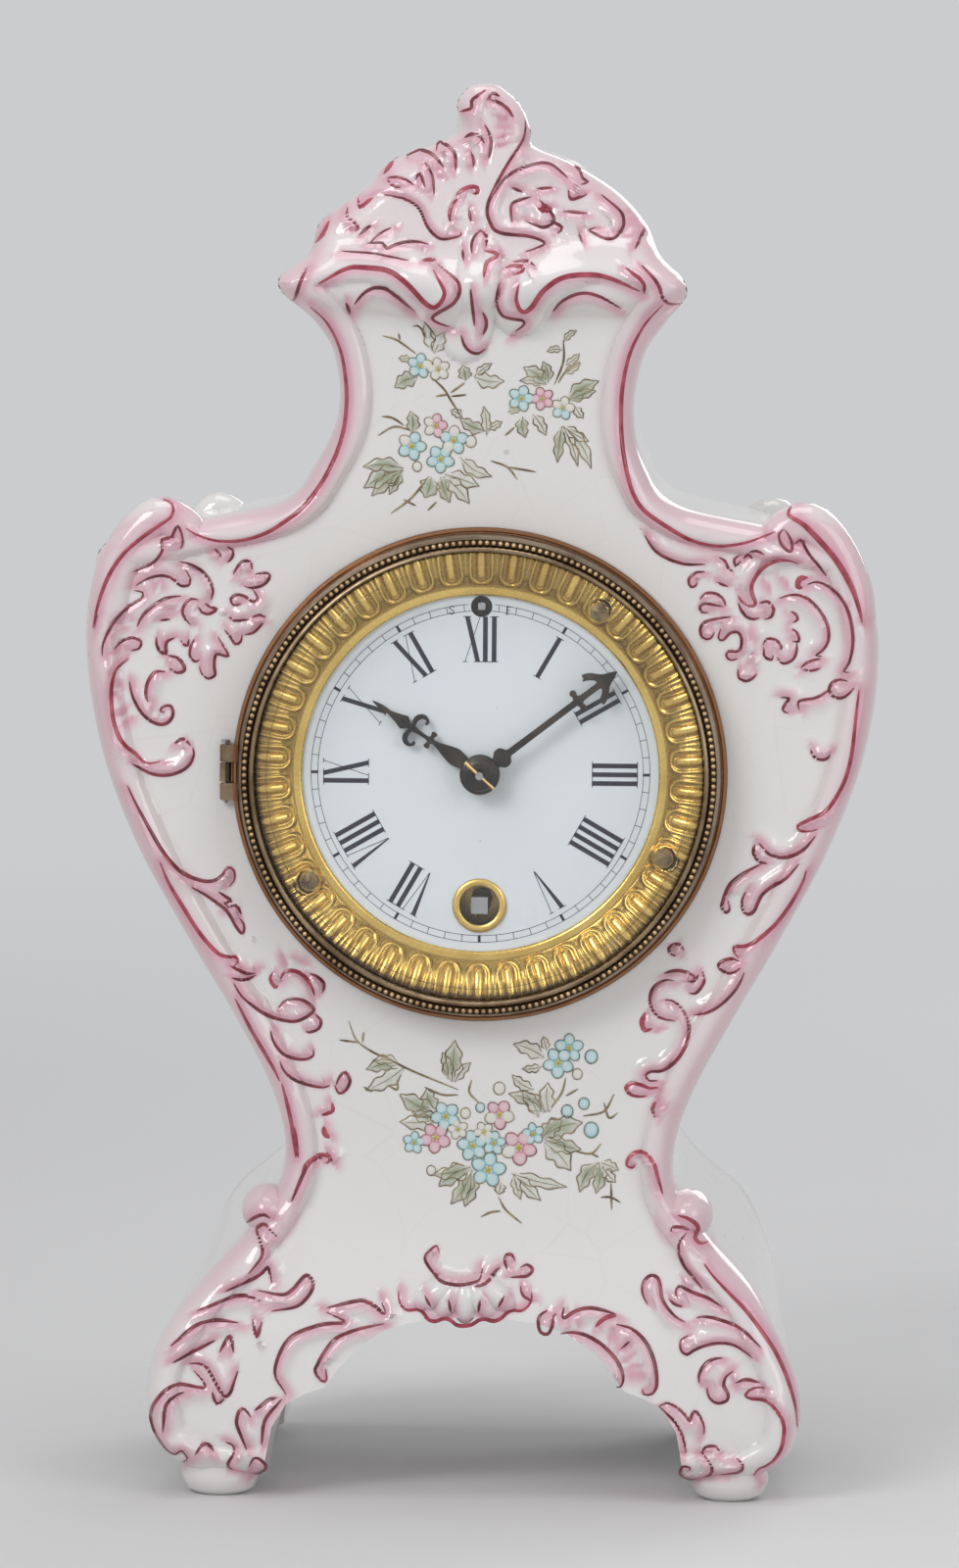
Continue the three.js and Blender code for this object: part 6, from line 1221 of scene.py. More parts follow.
petals = {"b": [], "p": [], "w": []}
hearts = []
around = np.linspace(0, 2 * np.pi, 18, endpoint=False)
for (kind, size), ((x, z),) in read_places(FLOWERS):
    size = float(size)
    start = random.uniform(0, 2 * np.pi)
    for k in range(5):
        a = start + k * 2 * np.pi / 5
        out = np.array([math.cos(a), math.sin(a)])
        side = np.array([-out[1], out[0]])
        middle = np.array([x, z]) + out * size * 0.60
        across = size * random.uniform(0.37, 0.42)
        tall = size * 0.42
        wave = 1 + 0.05 * np.cos(3 * around)
        petal = (middle + (np.cos(around) * tall * wave)[:, None] * out
                 + (np.sin(around) * across)[:, None] * side)
        shade_kind = kind if random.uniform() > 0.12 else "w"
        petals[shade_kind].append((petal, middle + out * size * 0.05))
        flower_lines.append((0.10, petal[[13, 14, 15, 16, 17, 0, 1, 2, 3, 4, 5]]))
    heart = np.array([x, z]) + 0.20 * size * np.c_[np.cos(around), np.sin(around)]
    hearts.append((heart, np.array([x, z])))
for (kind, size), ((x, z),) in read_places(BUDS):
    bud = np.array([x, z]) + float(size) * np.c_[np.cos(around), 1.1 * np.sin(around)]
    petals[kind].append((bud, np.array([x, z])))
    flower_lines.append((0.13, np.vstack([bud, bud[:1]])))

leaves = []
t = np.linspace(0, 1, 15)
for (size, depth), (base, tip) in read_places(LEAVES):
    size, depth = float(size), float(depth)
    way = tip - base
    length = np.hypot(*way)
    side = np.array([-way[1], way[0]]) / length
    bow = random.uniform(-0.12, 0.12) * length * np.sin(np.pi * t)
    mid = base + way * t[:, None] + side * bow[:, None]
    half = 0.5 * size * np.sin(np.pi * t ** 0.85) ** 0.8 * (1 + 0.22 * np.cos(5.5 * np.pi * t + 0.4))
    half[[0, -1]] = 0.02
    left, right = mid + side * half[:, None], mid - side * half[:, None]
    leaves.append((depth, np.vstack([left, right[-2:0:-1]]), mid[6]))
    flower_lines += [(0.2, left[2:]), (0.2, right[2:]), (0.14, mid[:-2])]
stems = [(0.34, path) for _, path in read_places(STEMS)]

PETAL_PAINT = {"b": ("blue", (0.66, 0.78, 0.79), (0.26, 0.54, 0.58)),
               "p": ("pink", (0.80, 0.62, 0.65), (0.66, 0.24, 0.34)),
               "w": ("white", (0.80, 0.78, 0.72), (0.70, 0.68, 0.60))}
painted = []
for kind, (name, thin, thick) in PETAL_PAINT.items():
    outlines, middles = zip(*petals[kind])
    piece = paint_layer(f"Painted_{name}_petals", outlines, middles, 0.22, (0.15, 0.3, 0.95))
    enamel_wash = finish_material(f"{name.capitalize()} petals", wash(thin, thick), Coat_Weight=0.3)
    painted.append((piece, enamel_wash))
outlines, middles = zip(*hearts)
yellow = finish_material("Yellow hearts", wash((0.72, 0.66, 0.30), (0.42, 0.34, 0.06)), Coat_Weight=0.3)
painted.append((paint_layer("Painted_flower_hearts", outlines, middles, 0.3, (1.0, 0.6, 0.2)), yellow))
for name, low, high, load in (("faint", 0, 0.45, (0.45, 0.3, 0.0)), ("full", 0.45, 2, (1.0, 0.6, 0.15))):
    chosen = [leaf for leaf in leaves if low <= leaf[0] < high]
    outlines, middles = zip(*[leaf[1:] for leaf in chosen])
    piece = paint_layer(f"Painted_leaves_{name}", outlines, middles, 0.1, load)
    leaf_wash = finish_material(f"Leaf wash {name}", wash((0.80, 0.79, 0.74), (0.36, 0.40, 0.28)),
                                Coat_Weight=0.3)
    painted.append((piece, leaf_wash))
outline_rings = [ring for ring in (painted_ribbon(smooth_path(path, 0.5), width, 0.16)
                                   for width, path in flower_lines) if ring is not None]
stem_rings = [ring for ring in (painted_ribbon(smooth_path(path, 0.5), width, 0.18)
                                for width, path in stems) if ring is not None]
olive = finish_material("Olive brown enamel", line_color((0.13, 0.09, 0.045), (0.42, 0.34, 0.2)),
                        Roughness=0.25)
painted.append((ribbons("Painted_leaf_lines", outline_rings), olive))
painted.append((ribbons("Painted_stems", stem_rings), olive))
for piece, material in painted:
    piece.data.materials.append(material)
    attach(piece, "case")

# Bezel: a deep ring spun from thin brass, gone brown, with a copper-red flange on the porcelain, a
# plain sloping wall and a beaded front edge. It swings on a small hinge at the left and holds the glass.
BEAD_CIRCLE, BEAD_RADIUS, BEAD_Y, BEADS = 50.3, 0.6, -54.28, 220


def spun(name, profile, centre, columns=160, sharp=35):
    """A hollow turned form: a closed profile of (radius, y) carried once round the Y axis through
    the centre, so that each ring of points is the profile turned by one more step."""
    a = np.linspace(0, 2 * np.pi, columns, endpoint=False)[:, None]
    r, y = np.array(profile, float).T
    points = np.stack([centre[0] + r * np.sin(a), np.broadcast_to(y, (columns, len(r))),
                       centre[1] + r * np.cos(a)], axis=-1)
    piece = mesh_piece(name, points.reshape(-1, 3),
                       grid_faces(columns, len(r), wrap_columns=True, wrap_rows=True), sharp=sharp)
    return turned_out(piece)


def copies(name, points, faces, places):
    """One mesh of many like small shells: the same points at each of the places."""
    all_points = (places[:, None] + points[None]).reshape(-1, 3)
    steps = np.arange(len(places))[:, None, None] * len(points)
    return mesh_piece(name, all_points, [(f[None] + steps).reshape(-1, f.shape[1]) for f in faces])


def small_ball(radius, rings=4, columns=7):
    """Points and faces of a small round bead with its poles on the Y axis."""
    t = np.linspace(0, np.pi, rings + 1)[1:-1]
    a = np.linspace(0, 2 * np.pi, columns, endpoint=False)
    body = np.stack([np.outer(np.sin(t), np.cos(a)), -np.outer(np.cos(t), np.ones(columns)),
                     np.outer(np.sin(t), np.sin(a))], axis=-1).reshape(-1, 3)
    points = radius * np.vstack([body, [[0, -1, 0], [0, 1, 0]]])
    quads = grid_faces(rings - 1, columns, wrap_columns=True)
    i = np.arange(columns)
    n = len(body)
    last = n - columns
    low = np.c_[(i + 1) % columns, i, np.full(columns, n)]
    high = np.c_[last + i, last + (i + 1) % columns, np.full(columns, n + 1)]
    return points, [quads, low, high]


bezel_profile = [
    (49.45, -45.6), (53.05, -45.6), (53.3, -45.85), (53.3, -46.7), (53.05, -47.05), (52.55, -47.15),
    (52.3, -47.0), (52.1, -47.2), (51.85, -50.2), (51.5, -53.2), (51.3, -53.6), (51.15, -53.95),
    (50.95, -54.0), (50.8, -53.7), (49.8, -53.7), (49.6, -54.0), (49.35, -54.45), (49.1, -54.75),
    (48.75, -54.85), (48.45, -54.6),
    (48.4, -54.2), (48.4, -53.72), (49.9, -53.72), (49.9, -47.2)]
angles = np.linspace(0, 2 * np.pi, BEADS, endpoint=False)
bead_places = np.c_[BEAD_CIRCLE * np.sin(angles), np.full(BEADS, BEAD_Y),
                    DIAL_HEIGHT + BEAD_CIRCLE * np.cos(angles)]
bezel = spun("bezel_spinning", bezel_profile, (0, DIAL_HEIGHT), 192)
beads = copies("Bezel_beads", *small_ball(BEAD_RADIUS), bead_places)
HINGE_X, HINGE_Y = -54.85, -46.5
knuckles = []
for low, high in ((2.3, 6), (-6, -2.3)):
    knuckles.append(turned("knuckle", ((1.0, low), (1.2, low + 0.2), (1.2, high - 0.2), (1.0, high)),
                           (HINGE_X, HINGE_Y, DIAL_HEIGHT), "z", 24))
    knuckles.append(lofted("arm", [soft_box(HINGE_X, -51.9, -47.7, -46.6, DIAL_HEIGHT + z, 0.2, 3)
                                   for z in (low, high)]))
pin_space = turned("pin space", ((0.8, -9), (0.8, 9)), (HINGE_X, HINGE_Y, DIAL_HEIGHT), "z", 20)
leaf_space = lofted("leaf space", [soft_box(-57.2, -48.9, -46.1, -45, DIAL_HEIGHT + z, 0.05, 2)
                                   for z in (-2.3, 2.3)])
knuckle_space = lofted("knuckle space", [soft_box(-57.2, -53.35, -48.9, -45.3, DIAL_HEIGHT + z, 0.05, 2)
                                         for z in (-2.3, 2.3)])
bezel = worked(bezel, "UNION", *knuckles)
bezel = worked(bezel, "DIFFERENCE", pin_space, leaf_space, knuckle_space)
bezel.data.set_sharp_from_angle(angle=math.radians(38))


def brown_brass(bright, dark, ring=False):
    """Brass under a brown skin: dark in blotches and worn bright in spots. On the bezel's ring it is copper
    red on the flange, and black under the beads as painted shade, by the distance from the dial's axis."""
    def build(place):
        cloud = place.node("ShaderNodeTexNoise", Vector=place, Scale=90.0, Detail=5.0, Roughness=0.6)
        fine = place.node("ShaderNodeTexNoise", Vector=place, Scale=900.0, Detail=2.0)
        color = cloud.ramp(0.38, 0.66).mixed(bright, dark)
        if ring:
            centred = place.node("ShaderNodeMapping", Vector=place,
                                 Location=(0.0, 0.0, -DIAL_HEIGHT * MM))
            x = centred.node("ShaderNodeSeparateXYZ", None, 0, Vector=centred)
            z = centred.node("ShaderNodeSeparateXYZ", None, 2, Vector=centred)
            radius = (x * x + z * z).math("SQRT")
            flange = radius.ramp(0.0520, 0.0524) * (1 - radius.ramp(0.0532, 0.0535))
            color = (flange * 0.75).mixed(color, (0.30, 0.13, 0.06))
            # Painted shade: the ring under the beads is coloured near black, as the shade between the beads
            # and the wall.
            groove = radius.ramp(0.0493, 0.0497) * (1 - radius.ramp(0.0509, 0.0512))
            color = (groove * 0.85).mixed(color, (0.03, 0.02, 0.012))
        bump = place.node("ShaderNodeBump", Strength=0.25, Distance=0.0002, Height=cloud + fine * 0.4)
        return {"Base_Color": color, "Roughness": cloud.ramp(0.25, 0.8) * 0.3 + 0.22, "Normal": bump}
    return build


ring_brass = brown_brass((0.36, 0.27, 0.175), (0.17, 0.11, 0.065), ring=True)
bezel_finish = finish_material("Browned brass", ring_brass, Metallic=1.0)
bezel.data.materials.append(bezel_finish)
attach(bezel, "bezel")
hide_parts("bezel_ring")
# Painted highlight: the beads take a lighter copy of the bezel's brown brass, as light catching their tops.
bead_brass_painted_highlight = finish_material("Bead brass", brown_brass((0.66, 0.47, 0.27), (0.34, 0.22, 0.12)),
                              Metallic=1.0)
beads.data.materials.append(bead_brass_painted_highlight)
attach(beads, "bezel")

# Glass and its wire: a convex glass ground to a wide bevel round its edge. It drops into the bezel
# from behind, and a springy brass wire ring keeps it there.
GLASS_SEAT, GLASS_EDGE, GLASS_RISE, GLASS_THICKNESS = -53.4, 49.6, 4.3, 1.42
r = np.linspace(0.02, 45.6, 14)
dome = GLASS_SEAT - GLASS_RISE * (1 - (r / GLASS_EDGE) ** 2)
front_side = list(zip(r, dome)) + [(45.7, -54.1), (48.0, -53.5), (48.3, -53.42), (49.5, -53.38)]
back_side = [(GLASS_EDGE, -53.25), (GLASS_EDGE, -52.15), (49.45, -52.0), (45.6, -52.72)]
back_side += list(zip(r[::-1], dome[::-1] + GLASS_THICKNESS))
glass_pane = spun("glass_pane", front_side + back_side, (0, DIAL_HEIGHT), 128, sharp=20)


def clear_glass(place):
    """Old window glass: almost smooth, with a faint ripple."""
    ripple = place.node("ShaderNodeTexNoise", Vector=place, Scale=18.0, Detail=1.0)
    bump = place.node("ShaderNodeBump", Strength=0.05, Distance=0.0006, Height=ripple)
    return {"Normal": bump}


def let_light_through(material):
    """The lamps' light falls through the pane, so what lies behind it is lit as plainly as it would
    be in the open."""
    tree = material.node_tree
    shader, end = tree.nodes["Principled BSDF"], tree.nodes["Material Output"]
    through = tree.nodes.new("ShaderNodeBsdfTransparent")
    either = tree.nodes.new("ShaderNodeMixShader")
    tree.links.new(tree.nodes.new("ShaderNodeLightPath").outputs["Is Shadow Ray"], either.inputs[0])
    tree.links.new(shader.outputs[0], either.inputs[1])
    tree.links.new(through.outputs[0], either.inputs[2])
    tree.links.new(either.outputs[0], end.inputs["Surface"])


glass = finish_material("Clear glass", clear_glass, Base_Color=(1.0, 1.0, 1.0), Roughness=0.0,
                        Transmission_Weight=1.0, IOR=1.45)
let_light_through(glass)
glass_pane.data.materials.append(glass)
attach(glass_pane, "bezel")
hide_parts("bezel_glass")
wire = spun("glass_wire", [(49.05 + 0.5 * math.cos(t), -51.3 + 0.4 * math.sin(t))
                           for t in np.linspace(0, 2 * np.pi, 10, endpoint=False)], (0, DIAL_HEIGHT), 96)
wire.data.materials.append(bezel_finish)
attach(wire, "bezel")
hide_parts("bezel_glass_clip")

# Gilt surround: thin sheet brass stamped with a row of lobes, each under an arch, then burnished and
# gilt. It covers the joint between the dial and the case, and three screws hold it.
LOBES = 42
LOBE = {"from": 42.7, "to": 48.6, "half": 1.12, "height": 1.0}
ARCH_RIDGE = {"from": 43.3, "half": 2.35, "width": 0.36, "height": 0.5}
SCREW_CIRCLE, SCREW_ANGLES, SEAT_RADIUS, SEAT_Y = 43.3, (35.7, 114.0, 237.4), 2.3, -46.1
SURROUND_FRONT = ((38.4, -42.95), (38.42, -43.35), (38.7, -43.7), (39.2, -43.85), (39.9, -43.8),
                  (40.5, -43.75), (41.0, -44.0), (42.0, -44.7), (43.4, -45.5), (45.0, -46.2),
                  (46.6, -46.5), (47.8, -46.5), (48.5, -46.3), (48.9, -45.9))
SURROUND_REAR = ((48.9, -45.35), (46.5, -45.35), (44.0, -44.7), (41.0, -43.5), (39.0, -42.9))


def stamped_ring():
    """The surround's points, ring by ring round the dial: a smooth profile raised by the lobes and
    arches. Across a lobe the height follows a circle's arc, and across an arch a bell curve."""
    columns = LOBES * 28
    front = smooth_path(SURROUND_FRONT, 0.24)
    a = np.linspace(0, 2 * np.pi, columns, endpoint=False)[:, None]
    r, y = np.broadcast_to(front[:, 0], (columns, len(front))), front[:, 1]
    across = ((a * LOBES / (2 * np.pi) + 0.5) % 1 - 0.5) * 2 * np.pi / LOBES * r
    in_lobe = np.hypot(across, r - np.clip(r, LOBE["from"], LOBE["to"]))
    lobe = LOBE["height"] * np.sqrt(np.clip(1 - (in_lobe / LOBE["half"]) ** 2, 0, 1))
    in_arch = np.hypot(across, r - np.clip(r, ARCH_RIDGE["from"], 60))
    arch = ARCH_RIDGE["height"] * np.exp(-((in_arch - ARCH_RIDGE["half"]) / ARCH_RIDGE["width"]) ** 2)
    between = 0.5 * 2 * np.pi / LOBES * r - np.abs(across)
    dart = 0.35 * np.exp(-(between / 0.28) ** 2) * smooth_rise(r, 42.2, 43.6)
    relief = np.maximum(np.maximum(lobe, arch), dart) * smooth_rise(r, 40.3, 41.2)
    relief = relief * (1 - smooth_rise(r, 48.2, 48.9))
    # 1 on the burnished lobes and the inner rim, 0 in the hollows, which take painted shade in the gilding.
    worn = np.maximum(relief / LOBE["height"], 1 - smooth_rise(r, 39.6, 40.6))
    y = y - relief
    x, z = r * np.sin(a), r * np.cos(a)
    for turn in np.radians(SCREW_ANGLES):
        off = np.hypot(x - SCREW_CIRCLE * math.sin(turn), z - SCREW_CIRCLE * math.cos(turn))
        lip = 0.35 * np.exp(-((off - SEAT_RADIUS - 0.45) / 0.3) ** 2)
        share = 1 - smooth_rise(off, SEAT_RADIUS, SEAT_RADIUS + 0.7)
        y = y * (1 - share) + SEAT_Y * share - lip
    rear = np.array(SURROUND_REAR)
    rear_r = np.broadcast_to(rear[:, 0], (columns, len(rear)))
    rear_y = np.broadcast_to(rear[:, 1], (columns, len(rear)))
    r, y = np.hstack([r, rear_r]), np.hstack([y, rear_y])
    worn = np.hstack([worn, np.zeros_like(rear_r)])
    return np.stack([r * np.sin(a), y, DIAL_HEIGHT + r * np.cos(a)], axis=-1), worn


rings, worn = stamped_ring()
surround = mesh_piece("dial_surround_sheet", rings.reshape(-1, 3),
                      grid_faces(*rings.shape[:2], wrap_columns=True, wrap_rows=True), sharp=85)
turned_out(surround)
burnished_and_lit_layer = surround.data.attributes.new("worn", "FLOAT", "POINT")
burnished_and_lit_layer.data.foreach_set("value", worn.ravel().astype(np.float32))


def gilt_sheet(place):
    """Gilding: yellow gold with redder and darker patches, pebbled in the hollows, and darkened to brown
    there as painted shade.
    """
    cloud = place.node("ShaderNodeTexNoise", Vector=place, Scale=70.0, Detail=4.0)
    pebble = place.node("ShaderNodeTexNoise", Vector=place, Scale=1400.0, Detail=2.0, Roughness=0.6)
    worn = place.node("ShaderNodeAttribute", {"attribute_name": "worn"}, 2)
    color = cloud.ramp(0.36, 0.68).mixed((0.90, 0.64, 0.19), (0.72, 0.48, 0.12))
    # Painted shade: the hollows between the lobes turn dark brown.
    color = ((1 - worn.ramp(0.05, 0.6)) * 0.8).mixed(color, (0.34, 0.21, 0.05))
    bump = place.node("ShaderNodeBump", Strength=0.1, Distance=0.0002, Height=pebble)
    return {"Base_Color": color, "Roughness": pebble * 0.15 + 0.18, "Normal": bump}


gilt = finish_material("Gilt brass", gilt_sheet, Metallic=1.0)
surround.data.materials.append(gilt)
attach(surround, "case")
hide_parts("dial_surround")

# Enamel dial: a copper plate under white enamel, fired smooth, with the figures fired on in a blue
# black. The minute track lies between two thin circles, with a stouter mark at each five minutes.
# The winding hole takes the place of the VI.
DIAL_RADIUS, DIAL_FRONT, DIAL_BACK = 41.0, -42.6, -41.4
WINDING_HEIGHT, WINDING_HOLE = 128.005, 5.2
REGULATOR_HEIGHT, REGULATOR_HOLE = 192.498, 2.3
TRACK_INNER, TRACK_OUTER = 35.05, 36.5
NUMERAL_INNER, NUMERAL_OUTER = 24.1, 33.8
THICK, THIN, STEP = 1.02, 0.16, 1.9

dial = spun("dial_enamel", [(3.4, DIAL_FRONT + 0.25), (3.6, DIAL_FRONT), (DIAL_RADIUS - 0.4, DIAL_FRONT),
                            (DIAL_RADIUS, DIAL_FRONT + 0.4), (DIAL_RADIUS, DIAL_BACK), (3.4, DIAL_BACK)],
            (0, DIAL_HEIGHT), 160)
holes = [turned("hole", ((radius, -50), (radius, -30)), (0, 0, height), "y", 64)
         for radius, height in ((WINDING_HOLE, WINDING_HEIGHT), (REGULATOR_HOLE, REGULATOR_HEIGHT))]
dial = worked(dial, "DIFFERENCE", *holes)
dial.data.set_sharp_from_angle(angle=math.radians(30))


def white_enamel(place):
    """Cool white enamel, a little greyer in clouds, with a few fine specks."""
    cloud = place.node("ShaderNodeTexNoise", Vector=place, Scale=25.0, Detail=2.0)
    speck = place.node("ShaderNodeTexVoronoi", {"feature": "F1"}, Vector=place, Scale=95.0)
    dot = (1 - speck.ramp(0.012, 0.03)) * 0.3
    color = dot.mixed(cloud.mixed((0.68, 0.725, 0.755), (0.63, 0.68, 0.715)), (0.2, 0.2, 0.22))
    bump = place.node("ShaderNodeBump", Strength=0.03, Distance=0.0005, Height=cloud)
    return {"Base_Color": color, "Normal": bump}


enamel = finish_material("White enamel", white_enamel, Roughness=0.12, Coat_Weight=0.4)
dial.data.materials.append(enamel)
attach(dial, "case")
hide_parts("dial_plate")


def bars(corners, proud, base=DIAL_FRONT):
    """Closed flat bars from their four corners, given as (x, z) from the dial's centre."""
    corners = np.asarray(corners, float)
    area = np.sum(corners[:, :, 0] * np.roll(corners[:, :, 1], -1, axis=1)
                  - corners[:, :, 1] * np.roll(corners[:, :, 0], -1, axis=1), axis=1)
    corners = np.where((area < 0)[:, None, None], corners[:, ::-1], corners)
    low = np.stack([corners[..., 0], np.full(corners.shape[:2], base + 0.03),
                    corners[..., 1] + DIAL_HEIGHT], axis=-1)
    high = low - np.array([0, 0.03 + proud, 0])
    points = np.concatenate([low, high], axis=1).reshape(-1, 3)
    box = np.array([[3, 2, 1, 0], [4, 5, 6, 7], [0, 1, 5, 4], [1, 2, 6, 5], [2, 3, 7, 6], [3, 0, 4, 7]])
    return points, (box[None] + 8 * np.arange(len(corners))[:, None, None]).reshape(-1, 4)


def stroke_bar(start, end, width, start_width=None):
    """A bar's corners from a start to an end, square to neither but level at both."""
    (x0, z0), (x1, z1) = start, end
    w0, w1 = 0.5 * (start_width or width), 0.5 * width
    return [(x0 - w0, z0), (x0 + w0, z0), (x1 + w1, z1), (x1 - w1, z1)]


def numeral(text):
    """The bars of one numeral, upright about x = 0 between its inner and outer height."""
    low, high = NUMERAL_INNER, NUMERAL_OUTER
    widths = {"I": STEP, "V": 3.5, "X": 3.6}
    x = -0.5 * sum(widths[c] for c in text)
    out = []

    def foot(at, z, half):
        """A serif: a thin level bar across the end of a stroke."""
        out.append(stroke_bar((at, z - 0.09), (at, z + 0.09), 2 * half))

    for c in text:
        middle = x + 0.5 * widths[c]
        if c == "I":
            out.append(stroke_bar((middle, low), (middle, high), THICK))
            foot(middle, low, 0.95)
            foot(middle, high, 0.95)
        elif c == "V":
            out.append(stroke_bar((middle + 0.35, low), (middle - 1.1, high), THICK, 0.25))
            out.append(stroke_bar((middle + 0.45, low), (middle + 1.5, high), THIN))
            foot(middle - 1.1, high, 0.9)
            foot(middle + 1.5, high, 0.5)
        else:
            out.append(stroke_bar((middle + 1.15, low), (middle - 1.15, high), THICK))
            out.append(stroke_bar((middle - 1.6, low), (middle + 1.6, high), THIN))
            foot(middle + 1.15, low, 0.9)
            foot(middle - 1.15, high, 0.9)
            foot(middle - 1.6, low, 0.5)
            foot(middle + 1.6, high, 0.5)
        x += widths[c]
    return np.array(out)


def turned_by(corners, degrees_clockwise):
    """Flat corners turned clockwise about the dial's centre."""
    a = math.radians(degrees_clockwise)
    x, z = corners[..., 0], corners[..., 1]
    return np.stack([x * math.cos(a) + z * math.sin(a), z * math.cos(a) - x * math.sin(a)], axis=-1)


def circle_bars(radius, width, count=240):
    """A thin circle as bars laid end to end."""
    a = np.linspace(0, 2 * np.pi, count + 1)
    edge = [np.c_[r * np.sin(a), r * np.cos(a)] for r in (radius - width / 2, radius + width / 2)]
    return np.stack([edge[0][:-1], edge[0][1:], edge[1][1:], edge[1][:-1]], axis=1)


marks = [turned_by(np.array([stroke_bar((0, TRACK_INNER), (0, TRACK_OUTER), 0.15)]), 6 * i)
         for i in range(60)]
marks += [turned_by(np.array([stroke_bar((0, TRACK_INNER - 0.1), (0, TRACK_OUTER + 0.05), 0.62)]), 30 * i)
          for i in range(12)]
marks += [circle_bars(TRACK_INNER, 0.13), circle_bars(TRACK_OUTER, 0.13)]
for hour, text in enumerate(("XII", "I", "II", "III", "IIII", "V", "", "VII", "VIII", "IX", "X", "XI")):
    if text:
        marks.append(turned_by(numeral(text), 30 * hour))
# S and F beside the regulator's hole, for slow and fast.
letter_s = smooth_path([(-6.0, 35.7), (-6.35, 36.0), (-6.8, 35.85), (-6.85, 35.5), (-6.4, 35.2),
                        (-6.0, 34.85), (-6.05, 34.45), (-6.5, 34.3), (-6.95, 34.6)], 0.1)
way = np.gradient(letter_s, axis=0)
way = 0.1 * np.c_[-way[:, 1], way[:, 0]] / np.linalg.norm(way, axis=1)[:, None]
marks.append(np.stack([letter_s[:-1] - way[:-1], letter_s[1:] - way[1:],
                       letter_s[1:] + way[1:], letter_s[:-1] + way[:-1]], axis=1))
letter_f = [((5.5, 34.3), (5.5, 36.0), 0.3), ((5.95, 35.85), (5.95, 36.03), 1.2),
            ((5.8, 35.1), (5.8, 35.25), 0.7), ((5.5, 34.22), (5.5, 34.36), 0.7)]
marks.append(np.array([stroke_bar(*stroke) for stroke in letter_f]))
marks = np.concatenate(marks)
for height, reach in ((REGULATOR_HEIGHT, REGULATOR_HOLE + 0.15), (WINDING_HEIGHT, WINDING_HOLE + 0.7)):
    marks = marks[np.linalg.norm(marks.mean(axis=1) - (0, height - DIAL_HEIGHT), axis=1) > reach]
figures = mesh_piece("Dial_figures", *bars(marks, 0.03), smooth=False)
ink = finish_material("Blue black enamel", line_color((0.006, 0.007, 0.018), (0.014, 0.016, 0.034)),
                      Roughness=0.3)
figures.data.materials.append(ink)
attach(figures, "case")

# Grommet: a small brass ring turned with a round lip and pressed into the winding hole.
grommet = spun("grommet_turning", [(4.25, -41.4), (4.25, -42.9), (4.35, -43.2), (4.7, -43.38), (5.1, -43.4),
                                   (5.5, -43.3), (5.75, -43.1), (5.8, -42.9), (4.95, -42.9), (4.95, -41.4)],
               (0, WINDING_HEIGHT), 72, sharp=40)
plain_gilt = finish_material("Plain gilding", brown_brass((0.86, 0.62, 0.20), (0.66, 0.44, 0.12)),
                             Metallic=1.0)
grommet.data.materials.append(plain_gilt)
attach(grommet, "case")
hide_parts("winding_grommet")

# Hands: stamped from thin steel and blackened, pierced and filed to shape, a spade with two crescents
# for the hours, and a barbed arrow for the minutes. A domed washer and a taper pin hold them on.
# Each half outline is given as (x, z) with the hand upright, and the crescent with its half-width too.
HOUR_BACK, MINUTE_BACK, GAUGE = -43.9, -45.9, 0.7
HOUR_HALF = ((1.3, 3.4), (1.55, 4.6), (1.85, 6.2), (1.75, 7.4), (1.25, 9.2), (0.7, 10.9), (0.5, 12.2),
             (0.8, 12.5), (1.5, 12.3), (1.85, 12.4), (1.95, 12.95), (1.85, 13.5), (1.5, 13.6),
             (0.75, 13.4), (0.42, 13.8), (0.42, 15.2), (0.55, 16.6), (0.75, 17.5), (0.62, 18.2),
             (0.85, 18.8), (1.45, 19.5), (1.5, 20.0), (1.1, 21.2), (0.75, 22.4), (0.45, 23.7),
             (0.52, 24.8), (0.5, 25.7), (0.3, 27.0), (0.06, 28.0))
MINUTE_HALF = ((1.2, 2.6), (1.1, 4.0), (1.45, 4.7), (2.05, 5.3), (2.2, 6.1), (2.0, 6.9), (1.4, 7.4),
               (0.85, 7.9), (0.75, 9.5), (0.7, 24.6), (0.85, 25.6), (1.3, 25.95), (1.75, 25.75),
               (2.35, 25.9), (2.65, 26.5), (2.35, 27.1), (1.75, 27.25), (1.2, 27.05), (0.75, 27.5),
               (0.68, 30.6), (0.75, 31.9), (1.2, 32.0),
               (1.9, 31.3), (2.5, 30.3), (2.75, 29.7), (3.2, 30.25), (3.9, 30.3), (3.75, 31.2), (3.1, 32.3),
               (2.2, 33.2), (1.55, 33.9), (1.15, 34.7), (0.75, 35.7), (0.35, 36.5), (0.06, 37.0))
HOOK = ((0.3, 17.6, 0.3), (0.75, 17.75, 0.42), (1.6, 17.95, 0.55), (2.5, 17.85, 0.6), (3.25, 17.2, 0.52),
        (3.4, 16.4, 0.4), (3.15, 15.75, 0.3), (2.75, 15.5, 0.34), (2.5, 15.6, 0.36))
HOUR_ANGLE, MINUTE_ANGLE = 303.8, 52.5


def plate(name, outline, back, gauge):
    """A closed flat plate from its outline in (x, z), square at the edges."""
    outline = np.asarray(outline, float)
    n = len(outline)
    levels = [np.c_[outline[:, 0], np.full(n, y), outline[:, 1]] for y in (back - gauge, back)]
    ends = [np.arange(n)[None], np.arange(n)[None, ::-1] + n]
    piece = mesh_piece(name, np.vstack(levels), [grid_faces(2, n, wrap_columns=True)] + ends, smooth=False)
    return turned_out(piece)


def both_sides(half):
    """A whole outline from its right half, with its curves smoothed."""
    right_half = smooth_path(half, 0.35)
    return np.vstack([right_half, right_half[::-1] * np.array([-1, 1])])


